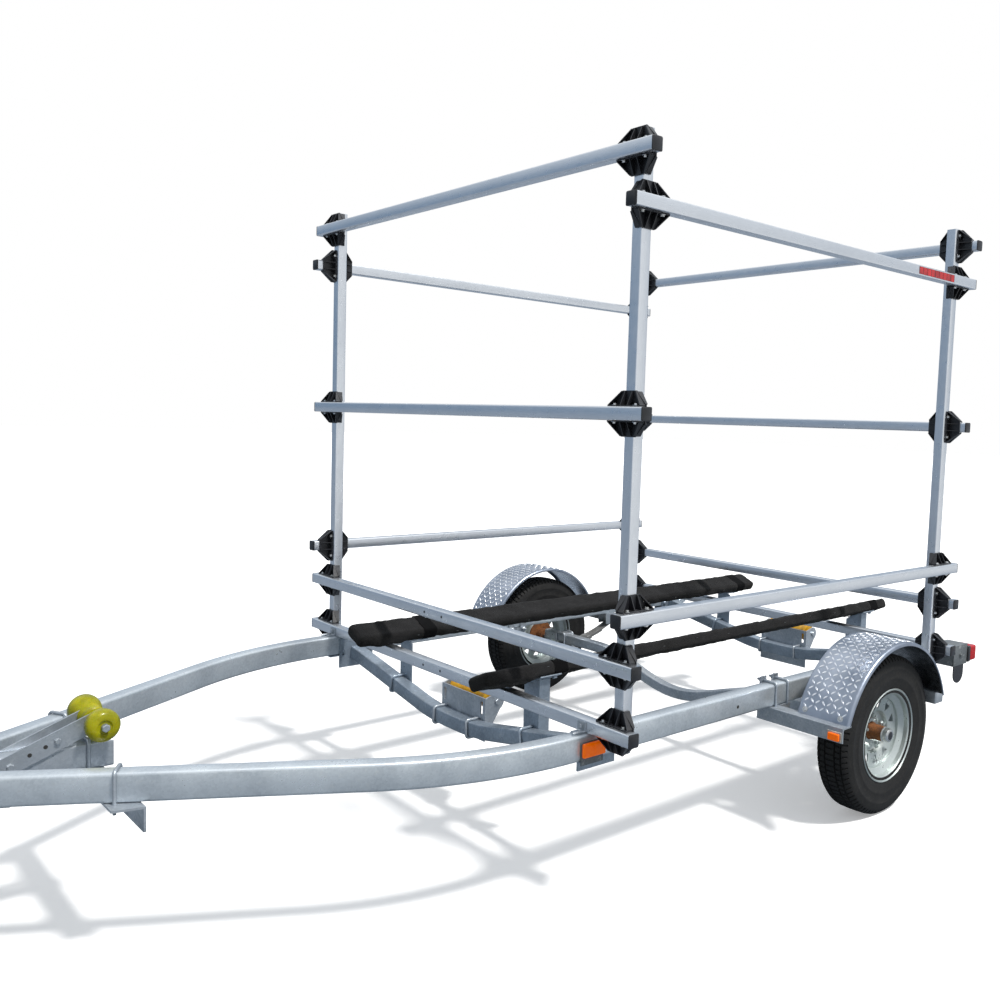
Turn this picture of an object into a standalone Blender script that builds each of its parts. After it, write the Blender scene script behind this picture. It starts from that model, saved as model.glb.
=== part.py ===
"""Road trailer for small sailing boats, with a tube rack above a galvanised frame.

Metres, +Z up. The trailer points along -X and stands on z = 0. The origin lies midway between
its front and rear ends, which is also the plane of the two front posts. The near side is -Y.
"""

import math

import bmesh
import bpy
from mathutils import Matrix, Vector

# Clearances
GAP = 0.0003
BITE = 0.0006
RUNNING_GAP = 0.0005

# Overall stations along the trailer
HALF_LENGTH = 2.147
COUPLER_FRONT_X = -HALF_LENGTH
BUNK_REAR_X = 2.145
RAIL_REAR_X = 2.050
AXLE_X = 1.190
WHEEL_Y = 0.933

# Rack tubes and posts
RACK_TUBE = 0.0381
RACK_CORNER = 0.005
REAR_POST_X = 1.750
POST_Y = 0.831
POST_TOP_Z = 2.150
CROSS_BAR_LENGTH = 1.829
SIDE_BAR_LENGTH = 1.920
LOWER_CROSS_BAR_Z = 0.679
MIDDLE_CROSS_BAR_Z = 1.383
TOP_CROSS_BAR_Z = 2.086
LOW_SIDE_BAR_Z = 0.819
TOP_SIDE_BAR_Z = 1.945

# Octagonal brackets at the rack's crossings
BRACKET_WIDTH = 0.127
BRACKET_PLATE = 0.004
BRACKET_FLANGE = 0.0035
BRACKET_DEPTH = 0.024
BRACKET_RIB = 0.0035

# Side rails and tongue, box tube
BOX_WIDTH = 0.0508
BOX_HEIGHT = 0.0762
BOX_CORNER = 0.006
BOX_WALL = 0.0032
RAIL_TOP_Z = 0.4721
RAIL_Y = 0.7315
RAIL_BEND_X = -0.090
RAIL_BEND_RADIUS = 1.130
RAIL_BEND_ANGLE = math.radians(30.5)
TONGUE_REAR_X = -1.120
TONGUE_FRONT_X = COUPLER_FRONT_X + 0.110
OPEN_END_DEPTH = 0.040

# Front gusset plate and the angle crosspiece under the rails
GUSSET_PLATE = 0.006
GUSSET_LENGTH = 0.240
GUSSET_X = -1.500
CROSSPIECE_X = -1.180
CROSSPIECE_HALF_LENGTH = 0.400
CROSSPIECE_FLANGE = 0.076
CROSSPIECE_WALL = 0.006

# Bowed cross members
MEMBER_TUBE = 0.0508
MEMBER_CORNER = 0.005
MEMBER_CENTRE_Z = 0.297
MEMBER_SLOPE = math.radians(10.5)
MEMBER_BEND_Y = 0.130
MEMBER_BEND_RADIUS = 1.000
FRONT_MEMBER_X = 0.0254
REAR_MEMBER_X = 1.930
END_PLATE = 0.006
END_PLATE_WIDTH = 0.150
END_PLATE_TOP_Z = 0.462
END_PLATE_BOTTOM_Z = 0.345

# U-bolts and nuts
U_BOLT = 0.0095
U_BOLT_BEND = 0.006
NUT_HEIGHT = 0.008
NUT_WIDTH = 0.016
THREAD_END = 0.012
STRAP_WIDTH = 0.034
STRAP_END = 0.012

# Bunk boards and their uprights
BUNK_LENGTH = 2.320
BUNK_WIDTH = 0.100
BUNK_THICKNESS = 0.044
BUNK_TILT = math.radians(24)
BUNK_FACE_Y = 0.366
BUNK_CORNER = 0.008
UPRIGHT_Y = 0.372
UPRIGHT_WIDTH = 0.076
UPRIGHT_WALL = 0.005
UPRIGHT_FLANGE = 0.045
SADDLE_LENGTH = 0.090

# Keel rollers and their brackets
KEEL_ROLLER_LENGTH = 0.215
KEEL_ROLLER_END_RADIUS = 0.040
KEEL_ROLLER_WAIST_RADIUS = 0.026
KEEL_ROLLER_Z = 0.384
KEEL_ROLLER_BORE = 0.0085
KEEL_BRACKET_WIDTH = 0.256
KEEL_BRACKET_WALL = 0.005
KEEL_BRACKET_TOP_Z = 0.402
KEEL_PIN_SETBACK = 0.052
EAR_RADIUS = 0.030

# Bow roller
BOW_ROLLER_X = -1.164
BOW_ROLLER_Z = 0.529
BOW_ARM_FOOT_X = -1.380
BOW_ARM_FOOT_Z = 0.447
BOW_ARM_WIDTH = 0.050
BOW_ARM_WALL = 0.006
BOW_BELL_RADIUS = 0.0435
BOW_BELL_LENGTH = 0.072
BOW_SPOOL_RADIUS = 0.034
BOW_PIN_RADIUS = 0.0095

# Axle, hubs and springs
AXLE_TUBE = 0.044
AXLE_CORNER = 0.007
AXLE_END_Z = 0.305
AXLE_DROP = 0.100
AXLE_STRAIGHT_Y = 0.500
AXLE_TUBE_END_Y = 0.852
SPINDLE_RADIUS = 0.0135
SPINDLE_END_Y = 0.975
SPRING_WIDTH = 0.045
LEAF = 0.006
LEAF_HALF_LENGTHS = (0.300, 0.235, 0.165, 0.095)
SPRING_RISE = 0.072
SPRING_SEAT = 0.024
SPRING_EYE_RADIUS = 0.0145
SPRING_BOLT_RADIUS = 0.006
HANGER_WALL = 0.005
SPRING_PLATE = 0.008

# Wheels
WHEEL_RADIUS = 0.285
TYRE_HALF_WIDTH = 0.0625
TYRE_WALL = 0.009
RIM_RADIUS = 0.1505
RIM_FLANGE = 0.0135
RIM_HALF_WIDTH = 0.0555
RIM_WALL = 0.0035
DROP_CENTRE_DEPTH = 0.020
DISC_WALL = 0.004
DISC_FACE_OFFSET = -0.012
LUG_COUNT = 5
LUG_CIRCLE_RADIUS = 0.05715
LUG_RADIUS = 0.006
WINDOW_COUNT = 10
WINDOW_RADIUS = 0.098
WINDOW_SIZE = 0.017
HUB_FLANGE_RADIUS = 0.070
HUB_FLANGE = 0.008
HUB_BARREL_RADIUS = 0.032
HUB_BARREL_OUTER = 0.040
DUST_CAP_RADIUS = 0.0245
DUST_CAP_LENGTH = 0.024

# Fenders and their mounts
FENDER_X = 1.166
FENDER_RADIUS = 0.345
FENDER_SHEET = 0.003
FENDER_TRIM_ANGLE = math.radians(3)
FENDER_INNER_Y = 0.840
FENDER_OUTER_Y = 1.040
FENDER_LIP = 0.032
FENDER_LIP_RADIUS = 0.014
MOUNT_OUTER_Y = 1.040
MOUNT_FLANGE = 0.050
MOUNT_WALL = 0.0055
MOUNT_FRONT_X = 0.806
MOUNT_BOLT_X = 0.831
REAR_MOUNT_X = 1.481
REAR_MOUNT_LENGTH = 0.060
LAMP_WIDTH = 0.050
LAMP_HEIGHT = 0.030
LAMP_DEPTH = 0.016
HANGER_BOLT_X = 0.899

# Tail lamps
TAIL_FRONT_X = 1.950
TAIL_BOX_LENGTH = 0.120
TAIL_BOX_HEIGHT = 0.085
TAIL_BOX_DEPTH = 0.090
TAIL_LENS_LENGTH = 0.055
TAIL_HOUSING_LENGTH = 0.022
TAIL_SHIELD_DROP = 0.075
TAIL_WALL = 0.004

# Coupler
COUPLER_WALL = 0.004
BALL_RADIUS = 0.0238
SOCKET_CLEARANCE = 0.0007
BALL_X = COUPLER_FRONT_X + 0.036
BALL_Z = 0.428
COUPLER_REAR_X = COUPLER_FRONT_X + 0.245
COUPLER_SIDE_DROP = 0.068
LATCH_PIVOT_X = COUPLER_FRONT_X + 0.092
LATCH_LENGTH = 0.115
LATCH_WIDTH = 0.024
LATCH_PIN_RADIUS = 0.004

# Swivel jack
JACK_X = COUPLER_FRONT_X + 0.292
JACK_TUBE_RADIUS = 0.0254
JACK_LEG_RADIUS = 0.0225
JACK_BOTTOM_Z = 0.372
JACK_TOP_Z = 0.680
JACK_TRAVEL = 0.200
JACK_PLATE = 0.006
JACK_FLANGE_RADIUS = 0.040
JACK_SWIVEL_LENGTH = 0.012
CRANK_BELOW_TOP = 0.032
CRANK_ARM = 0.125
CRANK_KNOB_LENGTH = 0.085
CASTER_RADIUS = 0.075
CASTER_WIDTH = 0.038
CASTER_TRAIL = 0.028
CASTER_FORK_WALL = 0.004
CASTER_PIN_RADIUS = 0.006

# Places that follow from the sizes above
RAIL_CENTRE_Z = RAIL_TOP_Z - BOX_HEIGHT / 2
RAIL_BOTTOM_Z = RAIL_TOP_Z - BOX_HEIGHT
RAIL_OUTER_Y = RAIL_Y + BOX_WIDTH / 2
RAIL_INNER_Y = RAIL_Y - BOX_WIDTH / 2
LOWEST_CROSS_BAR_Z = RAIL_TOP_Z + GAP + RACK_TUBE / 2
BUNK_FACE_Z = (RAIL_TOP_Z + RACK_TUBE + 2 * GAP + BUNK_WIDTH / 2 * math.sin(BUNK_TILT)
               + BUNK_THICKNESS * math.cos(BUNK_TILT))
POST_BOTTOM_Z = LOWEST_CROSS_BAR_Z - BRACKET_WIDTH / 2 + 0.002
BAR_OFFSET = RACK_TUBE + BRACKET_PLATE + GAP
CROSS_BAR_HEIGHTS = {
    "lowest": LOWEST_CROSS_BAR_Z,
    "lower": LOWER_CROSS_BAR_Z,
    "middle": MIDDLE_CROSS_BAR_Z,
    "top": TOP_CROSS_BAR_Z,
}
SIDE_BAR_HEIGHTS = {"low": LOW_SIDE_BAR_Z, "top": TOP_SIDE_BAR_Z}
AXLE_LOW_Z = AXLE_END_Z - AXLE_TUBE / 2
SPRING_TOP_Z = AXLE_LOW_Z - GAP
SPRING_ARC_RADIUS = (LEAF_HALF_LENGTHS[0] ** 2 + SPRING_RISE ** 2) / (2 * SPRING_RISE)
SPRING_EYE_X = AXLE_X - LEAF_HALF_LENGTHS[0]
SPRING_EYE_Z = SPRING_TOP_Z + SPRING_RISE + SPRING_EYE_RADIUS - LEAF / 2
SIDES = {"near": -1, "far": 1}

for leftover in list(bpy.data.objects):
    bpy.data.objects.remove(leftover)

PARTS = bpy.data.collections.new("boat_trailer")
WORK = bpy.data.collections.new("construction")
bpy.context.scene.collection.children.link(PARTS)
bpy.context.scene.collection.children.link(WORK)


# Modelling helpers

def bake(temporary, weld=1e-6):
    """Take the evaluated mesh of a temporary object, weld and orient it, and drop the object."""
    bpy.context.view_layer.update()
    depsgraph = bpy.context.evaluated_depsgraph_get()
    mesh = bpy.data.meshes.new_from_object(temporary.evaluated_get(depsgraph))
    mesh.transform(temporary.matrix_world)
    bpy.data.objects.remove(temporary)
    shape = bmesh.new()
    shape.from_mesh(mesh)
    bmesh.ops.remove_doubles(shape, verts=shape.verts, dist=weld)
    bmesh.ops.recalc_face_normals(shape, faces=shape.faces)
    shape.to_mesh(mesh)
    shape.free()
    mesh.materials.clear()
    return mesh


def temporary_object(name, data):
    """Link a construction object that no one sees."""
    made = bpy.data.objects.new(name, data)
    made.hide_render = True
    WORK.objects.link(made)
    return made


def box(low, high, bevel=0.0):
    """A block between two corners, with its edges rounded where a bevel is given."""
    size = Vector(high) - Vector(low)
    centre = (Vector(high) + Vector(low)) / 2
    shape = bmesh.new()
    bmesh.ops.create_cube(shape, size=1.0)
    bmesh.ops.scale(shape, vec=size, verts=shape.verts)
    bmesh.ops.translate(shape, vec=centre, verts=shape.verts)
    mesh = bpy.data.meshes.new("block")
    shape.to_mesh(mesh)
    shape.free()
    if not bevel:
        return mesh
    made = temporary_object("block", mesh)
    rounding = made.modifiers.new("rounding", "BEVEL")
    rounding.width = bevel
    rounding.segments = 2
    return bake(made)


def cylinder(radius, length, sides=20, top_radius=None):
    """A cylinder or cone along Z with its base at z = 0."""
    shape = bmesh.new()
    bmesh.ops.create_cone(shape, cap_ends=True, segments=sides, radius1=radius,
                          radius2=radius if top_radius is None else top_radius, depth=length)
    bmesh.ops.translate(shape, vec=(0, 0, length / 2), verts=shape.verts)
    mesh = bpy.data.meshes.new("cylinder")
    shape.to_mesh(mesh)
    shape.free()
    return mesh


def sphere(radius, centre, sides=20):
    """A ball about a point."""
    shape = bmesh.new()
    bmesh.ops.create_uvsphere(shape, u_segments=sides, v_segments=sides // 2, radius=radius)
    bmesh.ops.translate(shape, vec=centre, verts=shape.verts)
    mesh = bpy.data.meshes.new("ball")
    shape.to_mesh(mesh)
    shape.free()
    return mesh


def curve_data(points, dimensions, cyclic):
    """A curve with one straight-sided spline through the points."""
    curve = bpy.data.curves.new("path", "CURVE")
    curve.dimensions = dimensions
    add_spline(curve, points, cyclic)
    return curve


def add_spline(curve, points, cyclic):
    """Add a straight-sided spline to a curve."""
    spline = curve.splines.new("POLY")
    spline.points.add(len(points) - 1)
    for place, point in zip(spline.points, points):
        flat = tuple(point) + (0.0,) * (3 - len(point))
        place.co = flat + (1.0,)
    spline.use_cyclic_u = cyclic


def plate(outline, thickness, holes=()):
    """A flat sheet in XY, centred on z = 0, with holes."""
    curve = curve_data(outline, "2D", True)
    for hole in holes:
        add_spline(curve, hole, True)
    curve.fill_mode = "BOTH"
    curve.extrude = thickness / 2
    return bake(temporary_object("sheet", curve))


def rod(points, radius, fineness=1):
    """A round rod along a path."""
    curve = curve_data(points, "3D", False)
    curve.bevel_depth = radius
    curve.bevel_resolution = fineness
    curve.use_fill_caps = True
    return bake(temporary_object("rod", curve))


def swept(profile, points):
    """A tube of a given section along a path that stays level or nearly so."""
    section = temporary_object("section", curve_data(profile, "2D", True))
    curve = curve_data(points, "3D", False)
    curve.bevel_mode = "OBJECT"
    curve.bevel_object = section
    curve.use_fill_caps = True
    curve.twist_mode = "Z_UP"
    mesh = bake(temporary_object("sweep", curve))
    bpy.data.objects.remove(section)
    return mesh


def turned(profile, steps=32, closed=True):
    """Turn a profile of (radius, height) points about Z. An open one starts and ends at radius 0."""
    points = [(radius, 0.0, height) for radius, height in profile]
    mesh = bpy.data.meshes.new("profile")
    edges = [(index, index + 1) for index in range(len(points) - 1)]
    if closed:
        edges.append((len(points) - 1, 0))
    mesh.from_pydata(points, edges, [])
    made = temporary_object("turned", mesh)
    screw = made.modifiers.new("turn", "SCREW")
    screw.steps = steps
    screw.render_steps = steps
    screw.use_merge_vertices = True
    screw.merge_threshold = 1e-5
    return bake(made, 1e-5)


def moved(mesh, offset=(0, 0, 0), turn=None):
    """A copy of a mesh, turned and then shifted."""
    copy = mesh.copy()
    if turn is not None:
        copy.transform(turn)
    copy.transform(Matrix.Translation(offset))
    return copy


def about(axis, degrees):
    """A turn about one of the main axes."""
    return Matrix.Rotation(math.radians(degrees), 4, axis)


def mirrored(mesh, side):
    """The near side's mesh as it is, or mirrored for the far side."""
    copy = mesh.copy()
    if side > 0:
        copy.transform(Matrix.Scale(-1, 4, (0, 1, 0)))
        copy.flip_normals()
    return copy


def combine(mesh, others, operation="UNION", solver="EXACT"):
    """Join meshes to the first one, or cut them from it."""
    base = temporary_object("base", mesh)
    tools = []
    for other in others:
        tool = temporary_object("tool", other)
        tool.display_type = "WIRE"
        step = base.modifiers.new("step", "BOOLEAN")
        step.operation = operation
        step.solver = solver
        step.object = tool
        tools.append(tool)
    result = bake(base)
    for tool in tools:
        bpy.data.objects.remove(tool)
    tidy = bmesh.new()
    tidy.from_mesh(result)
    bmesh.ops.dissolve_limit(tidy, angle_limit=math.radians(0.05), verts=tidy.verts, edges=tidy.edges)
    tidy.to_mesh(result)
    tidy.free()
    return result


def cut(mesh, *others):
    """Cut the other meshes from the first."""
    return combine(mesh, others, "DIFFERENCE")


def rounded_rectangle(width, height, radius, steps=2):
    """Outline of a rectangle with round corners, centred on the origin."""
    points = []
    for corner in range(4):
        start = math.pi / 2 * corner
        x = (width / 2 - radius) * (1 if corner in (0, 3) else -1)
        y = (height / 2 - radius) * (1 if corner in (0, 1) else -1)
        for step in range(steps + 1):
            angle = start + math.pi / 2 * step / steps
            points.append((x + radius * math.cos(angle), y + radius * math.sin(angle)))
    return points


def slot(width, length, steps=3):
    """Outline of a slot along its second axis, with round ends."""
    reach = (length - width) / 2
    points = []
    for end in (1, -1):
        for step in range(steps + 1):
            angle = math.pi * step / steps + (0 if end > 0 else math.pi)
            points.append((width / 2 * math.cos(angle), end * reach + width / 2 * math.sin(angle)))
    return points


def circle(radius, x=0.0, y=0.0, sides=12):
    """Points round a circle."""
    turn = 2 * math.pi / sides
    return [(x + radius * math.cos(turn * i), y + radius * math.sin(turn * i)) for i in range(sides)]


def rounded_path(corners, radius, steps=4):
    """A path through corner points with each inner corner rounded to a radius."""
    corners = [Vector(corner) for corner in corners]
    path = [corners[0]]
    for before, corner, after in zip(corners, corners[1:], corners[2:]):
        into = (corner - before).normalized()
        out = (after - corner).normalized()
        bend = into.angle(out)
        reach = radius * math.tan(bend / 2)
        start = corner - into * reach
        centre_way = (out - into).normalized()
        centre = corner + centre_way * (radius / math.cos(bend / 2))
        axis = into.cross(out).normalized()
        arm = start - centre
        for step in range(steps + 1):
            path.append(centre + Matrix.Rotation(bend * step / steps, 3, axis) @ arm)
    path.append(corners[-1])
    return path


def material(name, colour, roughness, metallic=0.0):
    """A plain surface of one colour."""
    made = bpy.data.materials.new(name)
    made.use_nodes = True
    shader = made.node_tree.nodes["Principled BSDF"]
    shader.inputs["Base Color"].default_value = (*colour, 1.0)
    shader.inputs["Roughness"].default_value = roughness
    shader.inputs["Metallic"].default_value = metallic
    return made


def part(name, mesh, surface, pivot=(0.0, 0.0, 0.0), smooth_angle=35):
    """Name a finished piece and put its origin on its pivot."""
    mesh.name = name
    mesh.transform(Matrix.Translation(-Vector(pivot)))
    mesh.materials.append(surface)
    made = bpy.data.objects.new(name, mesh)
    made.location = pivot
    PARTS.objects.link(made)
    mesh.shade_smooth()
    mesh.set_sharp_from_angle(angle=math.radians(smooth_angle))
    return made


def hex_nut(width=NUT_WIDTH, height=NUT_HEIGHT):
    """A six-sided nut or bolt head along Z, on z = 0."""
    return cylinder(width / 2 / math.cos(math.pi / 6), height, 6)


# Turns a flat sheet so that its first axis runs along Y, its second along Z and its thickness along X
SHEET_ACROSS = Matrix(((0, 0, 1, 0), (1, 0, 0, 0), (0, 1, 0, 0), (0, 0, 0, 1)))

GALVANISED = material("galvanised_steel", (0.62, 0.65, 0.68), 0.42, 0.85)
ALUMINIUM = material("rack_aluminium", (0.72, 0.73, 0.75), 0.32, 0.9)
TREAD_PLATE = material("tread_plate", (0.80, 0.81, 0.83), 0.25, 1.0)
BLACK_PLASTIC = material("black_plastic", (0.02, 0.02, 0.022), 0.45)
CARPET = material("bunk_carpet", (0.018, 0.018, 0.02), 0.95)
URETHANE = material("yellow_urethane", (0.80, 0.66, 0.04), 0.25)
TYRE_RUBBER = material("tyre_rubber", (0.02, 0.02, 0.02), 0.8)
CAST_IRON = material("hub_iron", (0.36, 0.16, 0.06), 0.7, 0.6)
ZINC_PLATE = material("zinc_plate", (0.70, 0.71, 0.72), 0.25, 1.0)


# Rack: brackets, posts and bars

def octagon(width):
    """Eight-sided outline with a given width across its flats."""
    radius = width / 2 / math.cos(math.pi / 8)
    eighth = math.pi / 4
    return [(radius * math.cos(eighth * (i + 0.5)), radius * math.sin(eighth * (i + 0.5))) for i in range(8)]


def cross_bracket():
    """Bracket that joins a post to a bar on the post's -Y face, centred on the post's axis."""
    face_y = -RACK_TUBE / 2
    plate_y = face_y - BRACKET_PLATE
    base = plate(octagon(BRACKET_WIDTH), BRACKET_PLATE + BITE)
    base = moved(base, (0, face_y - BRACKET_PLATE / 2 + BITE / 2, 0), about("X", 90))
    flange_z = RACK_TUBE / 2 + GAP
    rib_root = plate_y + BITE
    rib_tip = plate_y - BRACKET_DEPTH
    pieces = []
    for way in (-1, 1):
        low, high = sorted((way * flange_z, way * (flange_z + BRACKET_FLANGE)))
        half = BRACKET_WIDTH / 2 - 0.004
        pieces.append(box((-half, rib_tip, low), (half, rib_root, high)))
        root_z = flange_z + BRACKET_FLANGE - BITE
        outline = [(rib_root, root_z), (rib_tip + 0.003, root_z), (rib_root, BRACKET_WIDTH / 2 - 0.003)]
        rib = plate([(y, way * z) for y, z in outline], BRACKET_RIB)
        pieces.append(moved(rib, turn=SHEET_ACROSS))
    return combine(base, pieces)


def rack_tube(length):
    """Square rack tube along Z, centred on the origin."""
    section = rounded_rectangle(RACK_TUBE, RACK_TUBE, RACK_CORNER)
    return plate(section, length)


def make_posts(bracket):
    """Four posts with the brackets that carry the bars."""
    for end, x, facing in (("front", 0.0, -1), ("rear", REAR_POST_X, 1)):
        for name, side in SIDES.items():
            post = rack_tube(POST_TOP_Z - POST_BOTTOM_Z)
            post = moved(post, (0, 0, (POST_TOP_Z + POST_BOTTOM_Z) / 2))
            brackets = []
            for height in CROSS_BAR_HEIGHTS.values():
                brackets.append(moved(bracket, (0, 0, height), about("Z", 90 * facing)))
            for height in SIDE_BAR_HEIGHTS.values():
                brackets.append(moved(bracket, (0, 0, height), about("Z", 0 if side < 0 else 180)))
            whole = combine(post, brackets)
            part(f"post_{end}_{name}", moved(whole, (x, side * POST_Y, 0)), ALUMINIUM)


def make_bars():
    """Eight bars across the trailer and four along it."""
    for end, x in (("front", -BAR_OFFSET), ("rear", REAR_POST_X + BAR_OFFSET)):
        for level, height in CROSS_BAR_HEIGHTS.items():
            bar = moved(rack_tube(CROSS_BAR_LENGTH), (x, 0, height), about("X", 90))
            part(f"cross_bar_{end}_{level}", bar, ALUMINIUM)
    for name, side in SIDES.items():
        for level, height in SIDE_BAR_HEIGHTS.items():
            place = (REAR_POST_X / 2, side * (POST_Y + BAR_OFFSET), height)
            bar = moved(rack_tube(SIDE_BAR_LENGTH), place, about("Y", 90))
            part(f"side_bar_{name}_{level}", bar, ALUMINIUM)


# Rails and tongue

def u_bolt(half_width, base_reach, leg_reach):
    """U-bolt round a tube along X: its base stands at -Y, and its legs run to +Y."""
    lift = half_width + GAP + U_BOLT / 2
    base_y = -base_reach - GAP - U_BOLT / 2
    corners = [(0, leg_reach, lift), (0, base_y, lift), (0, base_y, -lift), (0, leg_reach, -lift)]
    return rod(rounded_path(corners, U_BOLT_BEND, 1), U_BOLT / 2)


def rail_clamp(x):
    """U-bolt round the near rail, sunk a little into it, with its nuts on a strap inside."""
    lift = BOX_HEIGHT / 2 + U_BOLT / 2 - BITE
    base_y = -BOX_WIDTH / 2 - U_BOLT / 2 + BITE
    strap_back = BOX_WIDTH / 2 + END_PLATE - BITE
    leg_end = strap_back + NUT_HEIGHT + THREAD_END
    corners = [(0, leg_end, lift), (0, base_y, lift), (0, base_y, -lift), (0, leg_end, -lift)]
    pieces = [rod(rounded_path(corners, U_BOLT_BEND, 1), U_BOLT / 2)]
    pieces.append(box((-STRAP_WIDTH / 2, BOX_WIDTH / 2 - BITE, -lift - STRAP_END),
                      (STRAP_WIDTH / 2, strap_back, lift + STRAP_END)))
    for way in (-1, 1):
        pieces.append(moved(hex_nut(), (0, strap_back - BITE, way * lift), about("X", -90)))
    return [moved(piece, (x, -RAIL_Y, RAIL_CENTRE_Z)) for piece in pieces]


def rail_path():
    """Centre line of the near rail from its rear end to beyond the tongue."""
    bend = [Vector((RAIL_REAR_X, -RAIL_Y, RAIL_CENTRE_Z))]
    steps = 8
    for step in range(steps + 1):
        angle = RAIL_BEND_ANGLE * step / steps
        x = RAIL_BEND_X - RAIL_BEND_RADIUS * math.sin(angle)
        y = -RAIL_Y + RAIL_BEND_RADIUS * (1 - math.cos(angle))
        bend.append(Vector((x, y, RAIL_CENTRE_Z)))
    onward = Vector((-math.cos(RAIL_BEND_ANGLE), math.sin(RAIL_BEND_ANGLE), 0))
    bend.append(bend[-1] + onward * 1.25)
    return bend


def spring_hangers():
    """Front and rear hangers of the near spring, as solids and the cutters that open them."""
    y = -RAIL_Y
    half = SPRING_WIDTH / 2 + GAP + 0.0007
    low = SPRING_EYE_Z - SPRING_EYE_RADIUS - 0.004
    solids = []
    for way in (-1, 1):
        ear = sorted((y + way * half, y + way * (half + HANGER_WALL)))
        solids.append(box((SPRING_EYE_X - 0.024, ear[0], low),
                          (SPRING_EYE_X + 0.024, ear[1], RAIL_BOTTOM_Z + BITE)))
        rear_x = AXLE_X + LEAF_HALF_LENGTHS[0]
        solids.append(box((rear_x - 0.045, ear[0], low - 0.006), (rear_x + 0.020, ear[1], RAIL_BOTTOM_Z + BITE)))
    pin = cylinder(SPRING_BOLT_RADIUS, 2 * (half + HANGER_WALL) + 0.004, 12)
    pin_y = y - half - HANGER_WALL - 0.002
    solids.append(moved(pin, (SPRING_EYE_X, pin_y, SPRING_EYE_Z), about("X", -90)))
    head = hex_nut()
    for way in (-1, 1):
        head_y = y + way * (half + HANGER_WALL - BITE)
        solids.append(moved(head, (SPRING_EYE_X, head_y, SPRING_EYE_Z), about("X", -90 * way)))
    rear_x = AXLE_X + LEAF_HALF_LENGTHS[0]
    pad_z = SPRING_TOP_Z + SPRING_RISE + GAP
    pad = cylinder(0.030, 2 * half + BITE, 16)
    solids.append(moved(pad, (rear_x - 0.012, y - half - BITE / 2, pad_z + 0.030), about("X", -90)))
    return solids


def rear_fender_mount():
    """Arm that holds the near fender's rear end, welded to the rail's outer face."""
    top = RAIL_BOTTOM_Z - GAP
    arm = box((REAR_MOUNT_X, -MOUNT_OUTER_Y + 0.03, top - 0.045),
              (REAR_MOUNT_X + REAR_MOUNT_LENGTH, -RAIL_OUTER_Y + 0.0005, top), 0.003)
    lug = box((REAR_MOUNT_X + 0.004, -RAIL_OUTER_Y - 0.008, top - 0.040),
              (REAR_MOUNT_X + REAR_MOUNT_LENGTH - 0.004, -RAIL_OUTER_Y + BITE, RAIL_TOP_Z - 0.012))
    return [arm, lug]


def rack_clip(x, way):
    """Clip on the rail's top that holds the lowest bar, with its bolt head."""
    inner = x + way * (RACK_TUBE / 2 + GAP)
    span = sorted((inner, inner + way * 0.030))
    foot = box((span[0], -RAIL_Y - 0.016, RAIL_TOP_Z - BITE), (span[1], -RAIL_Y + 0.016, RAIL_TOP_Z + 0.004))
    span = sorted((inner, inner + way * 0.004))
    leg = box((span[0], -RAIL_Y - 0.016, RAIL_TOP_Z), (span[1], -RAIL_Y + 0.016, RAIL_TOP_Z + 0.030))
    head = moved(hex_nut(0.013, 0.006), (inner + way * 0.0035, -RAIL_Y, RAIL_TOP_Z + 0.018), about("Y", 90 * way))
    return [foot, leg, head]


def make_rails():
    """Near and far side rails."""
    section = rounded_rectangle(BOX_WIDTH, BOX_HEIGHT, BOX_CORNER)
    rail = swept(section, rail_path())
    beyond = box((-3.0, -BOX_WIDTH / 2 - GAP, 0), (-1.0, 1.0, 1.0))
    hollow = rounded_rectangle(BOX_WIDTH - 2 * BOX_WALL, BOX_HEIGHT - 2 * BOX_WALL, BOX_CORNER - BOX_WALL)
    recess = moved(plate(hollow, 2 * OPEN_END_DEPTH), (RAIL_REAR_X, -RAIL_Y, RAIL_CENTRE_Z),
                   SHEET_ACROSS)
    rail = cut(rail, beyond, recess)
    extras = spring_hangers() + rear_fender_mount()
    extras += rack_clip(-BAR_OFFSET, -1) + rack_clip(REAR_POST_X + BAR_OFFSET, 1)
    extras += rail_clamp(HANGER_BOLT_X)
    rail = combine(rail, extras, solver="MANIFOLD")
    for name, side in SIDES.items():
        part(f"rail_{name}", mirrored(rail, side), GALVANISED)


def make_tongue():
    """Tongue tube with the plate and stub that the jack swivels on."""
    section = rounded_rectangle(BOX_WIDTH, BOX_HEIGHT, BOX_CORNER)
    tube = swept(section, [(TONGUE_REAR_X, 0, RAIL_CENTRE_Z), (TONGUE_FRONT_X, 0, RAIL_CENTRE_Z)])
    hollow = rounded_rectangle(BOX_WIDTH - 2 * BOX_WALL, BOX_HEIGHT - 2 * BOX_WALL, BOX_CORNER - BOX_WALL)
    recess = moved(plate(hollow, 2 * OPEN_END_DEPTH), (TONGUE_REAR_X, 0, RAIL_CENTRE_Z),
                   SHEET_ACROSS)
    tube = cut(tube, recess)
    face = -BOX_WIDTH / 2
    pad = box((JACK_X - 0.046, face - JACK_PLATE, RAIL_CENTRE_Z - 0.042),
              (JACK_X + 0.046, face + BITE, RAIL_CENTRE_Z + 0.042))
    stub = moved(cylinder(0.024, JACK_SWIVEL_LENGTH + BITE, 24),
                 (JACK_X, face - JACK_PLATE + BITE, RAIL_CENTRE_Z), about("X", 90))
    heads = []
    for x_way in (-1, 1):
        for z_way in (-1, 1):
            place = (JACK_X + x_way * 0.034, face - JACK_PLATE + BITE, RAIL_CENTRE_Z + z_way * 0.030)
            heads.append(moved(hex_nut(0.014, 0.006), place, about("X", 90)))
    part("tongue_tube", combine(tube, [pad, stub] + heads), GALVANISED)


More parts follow.
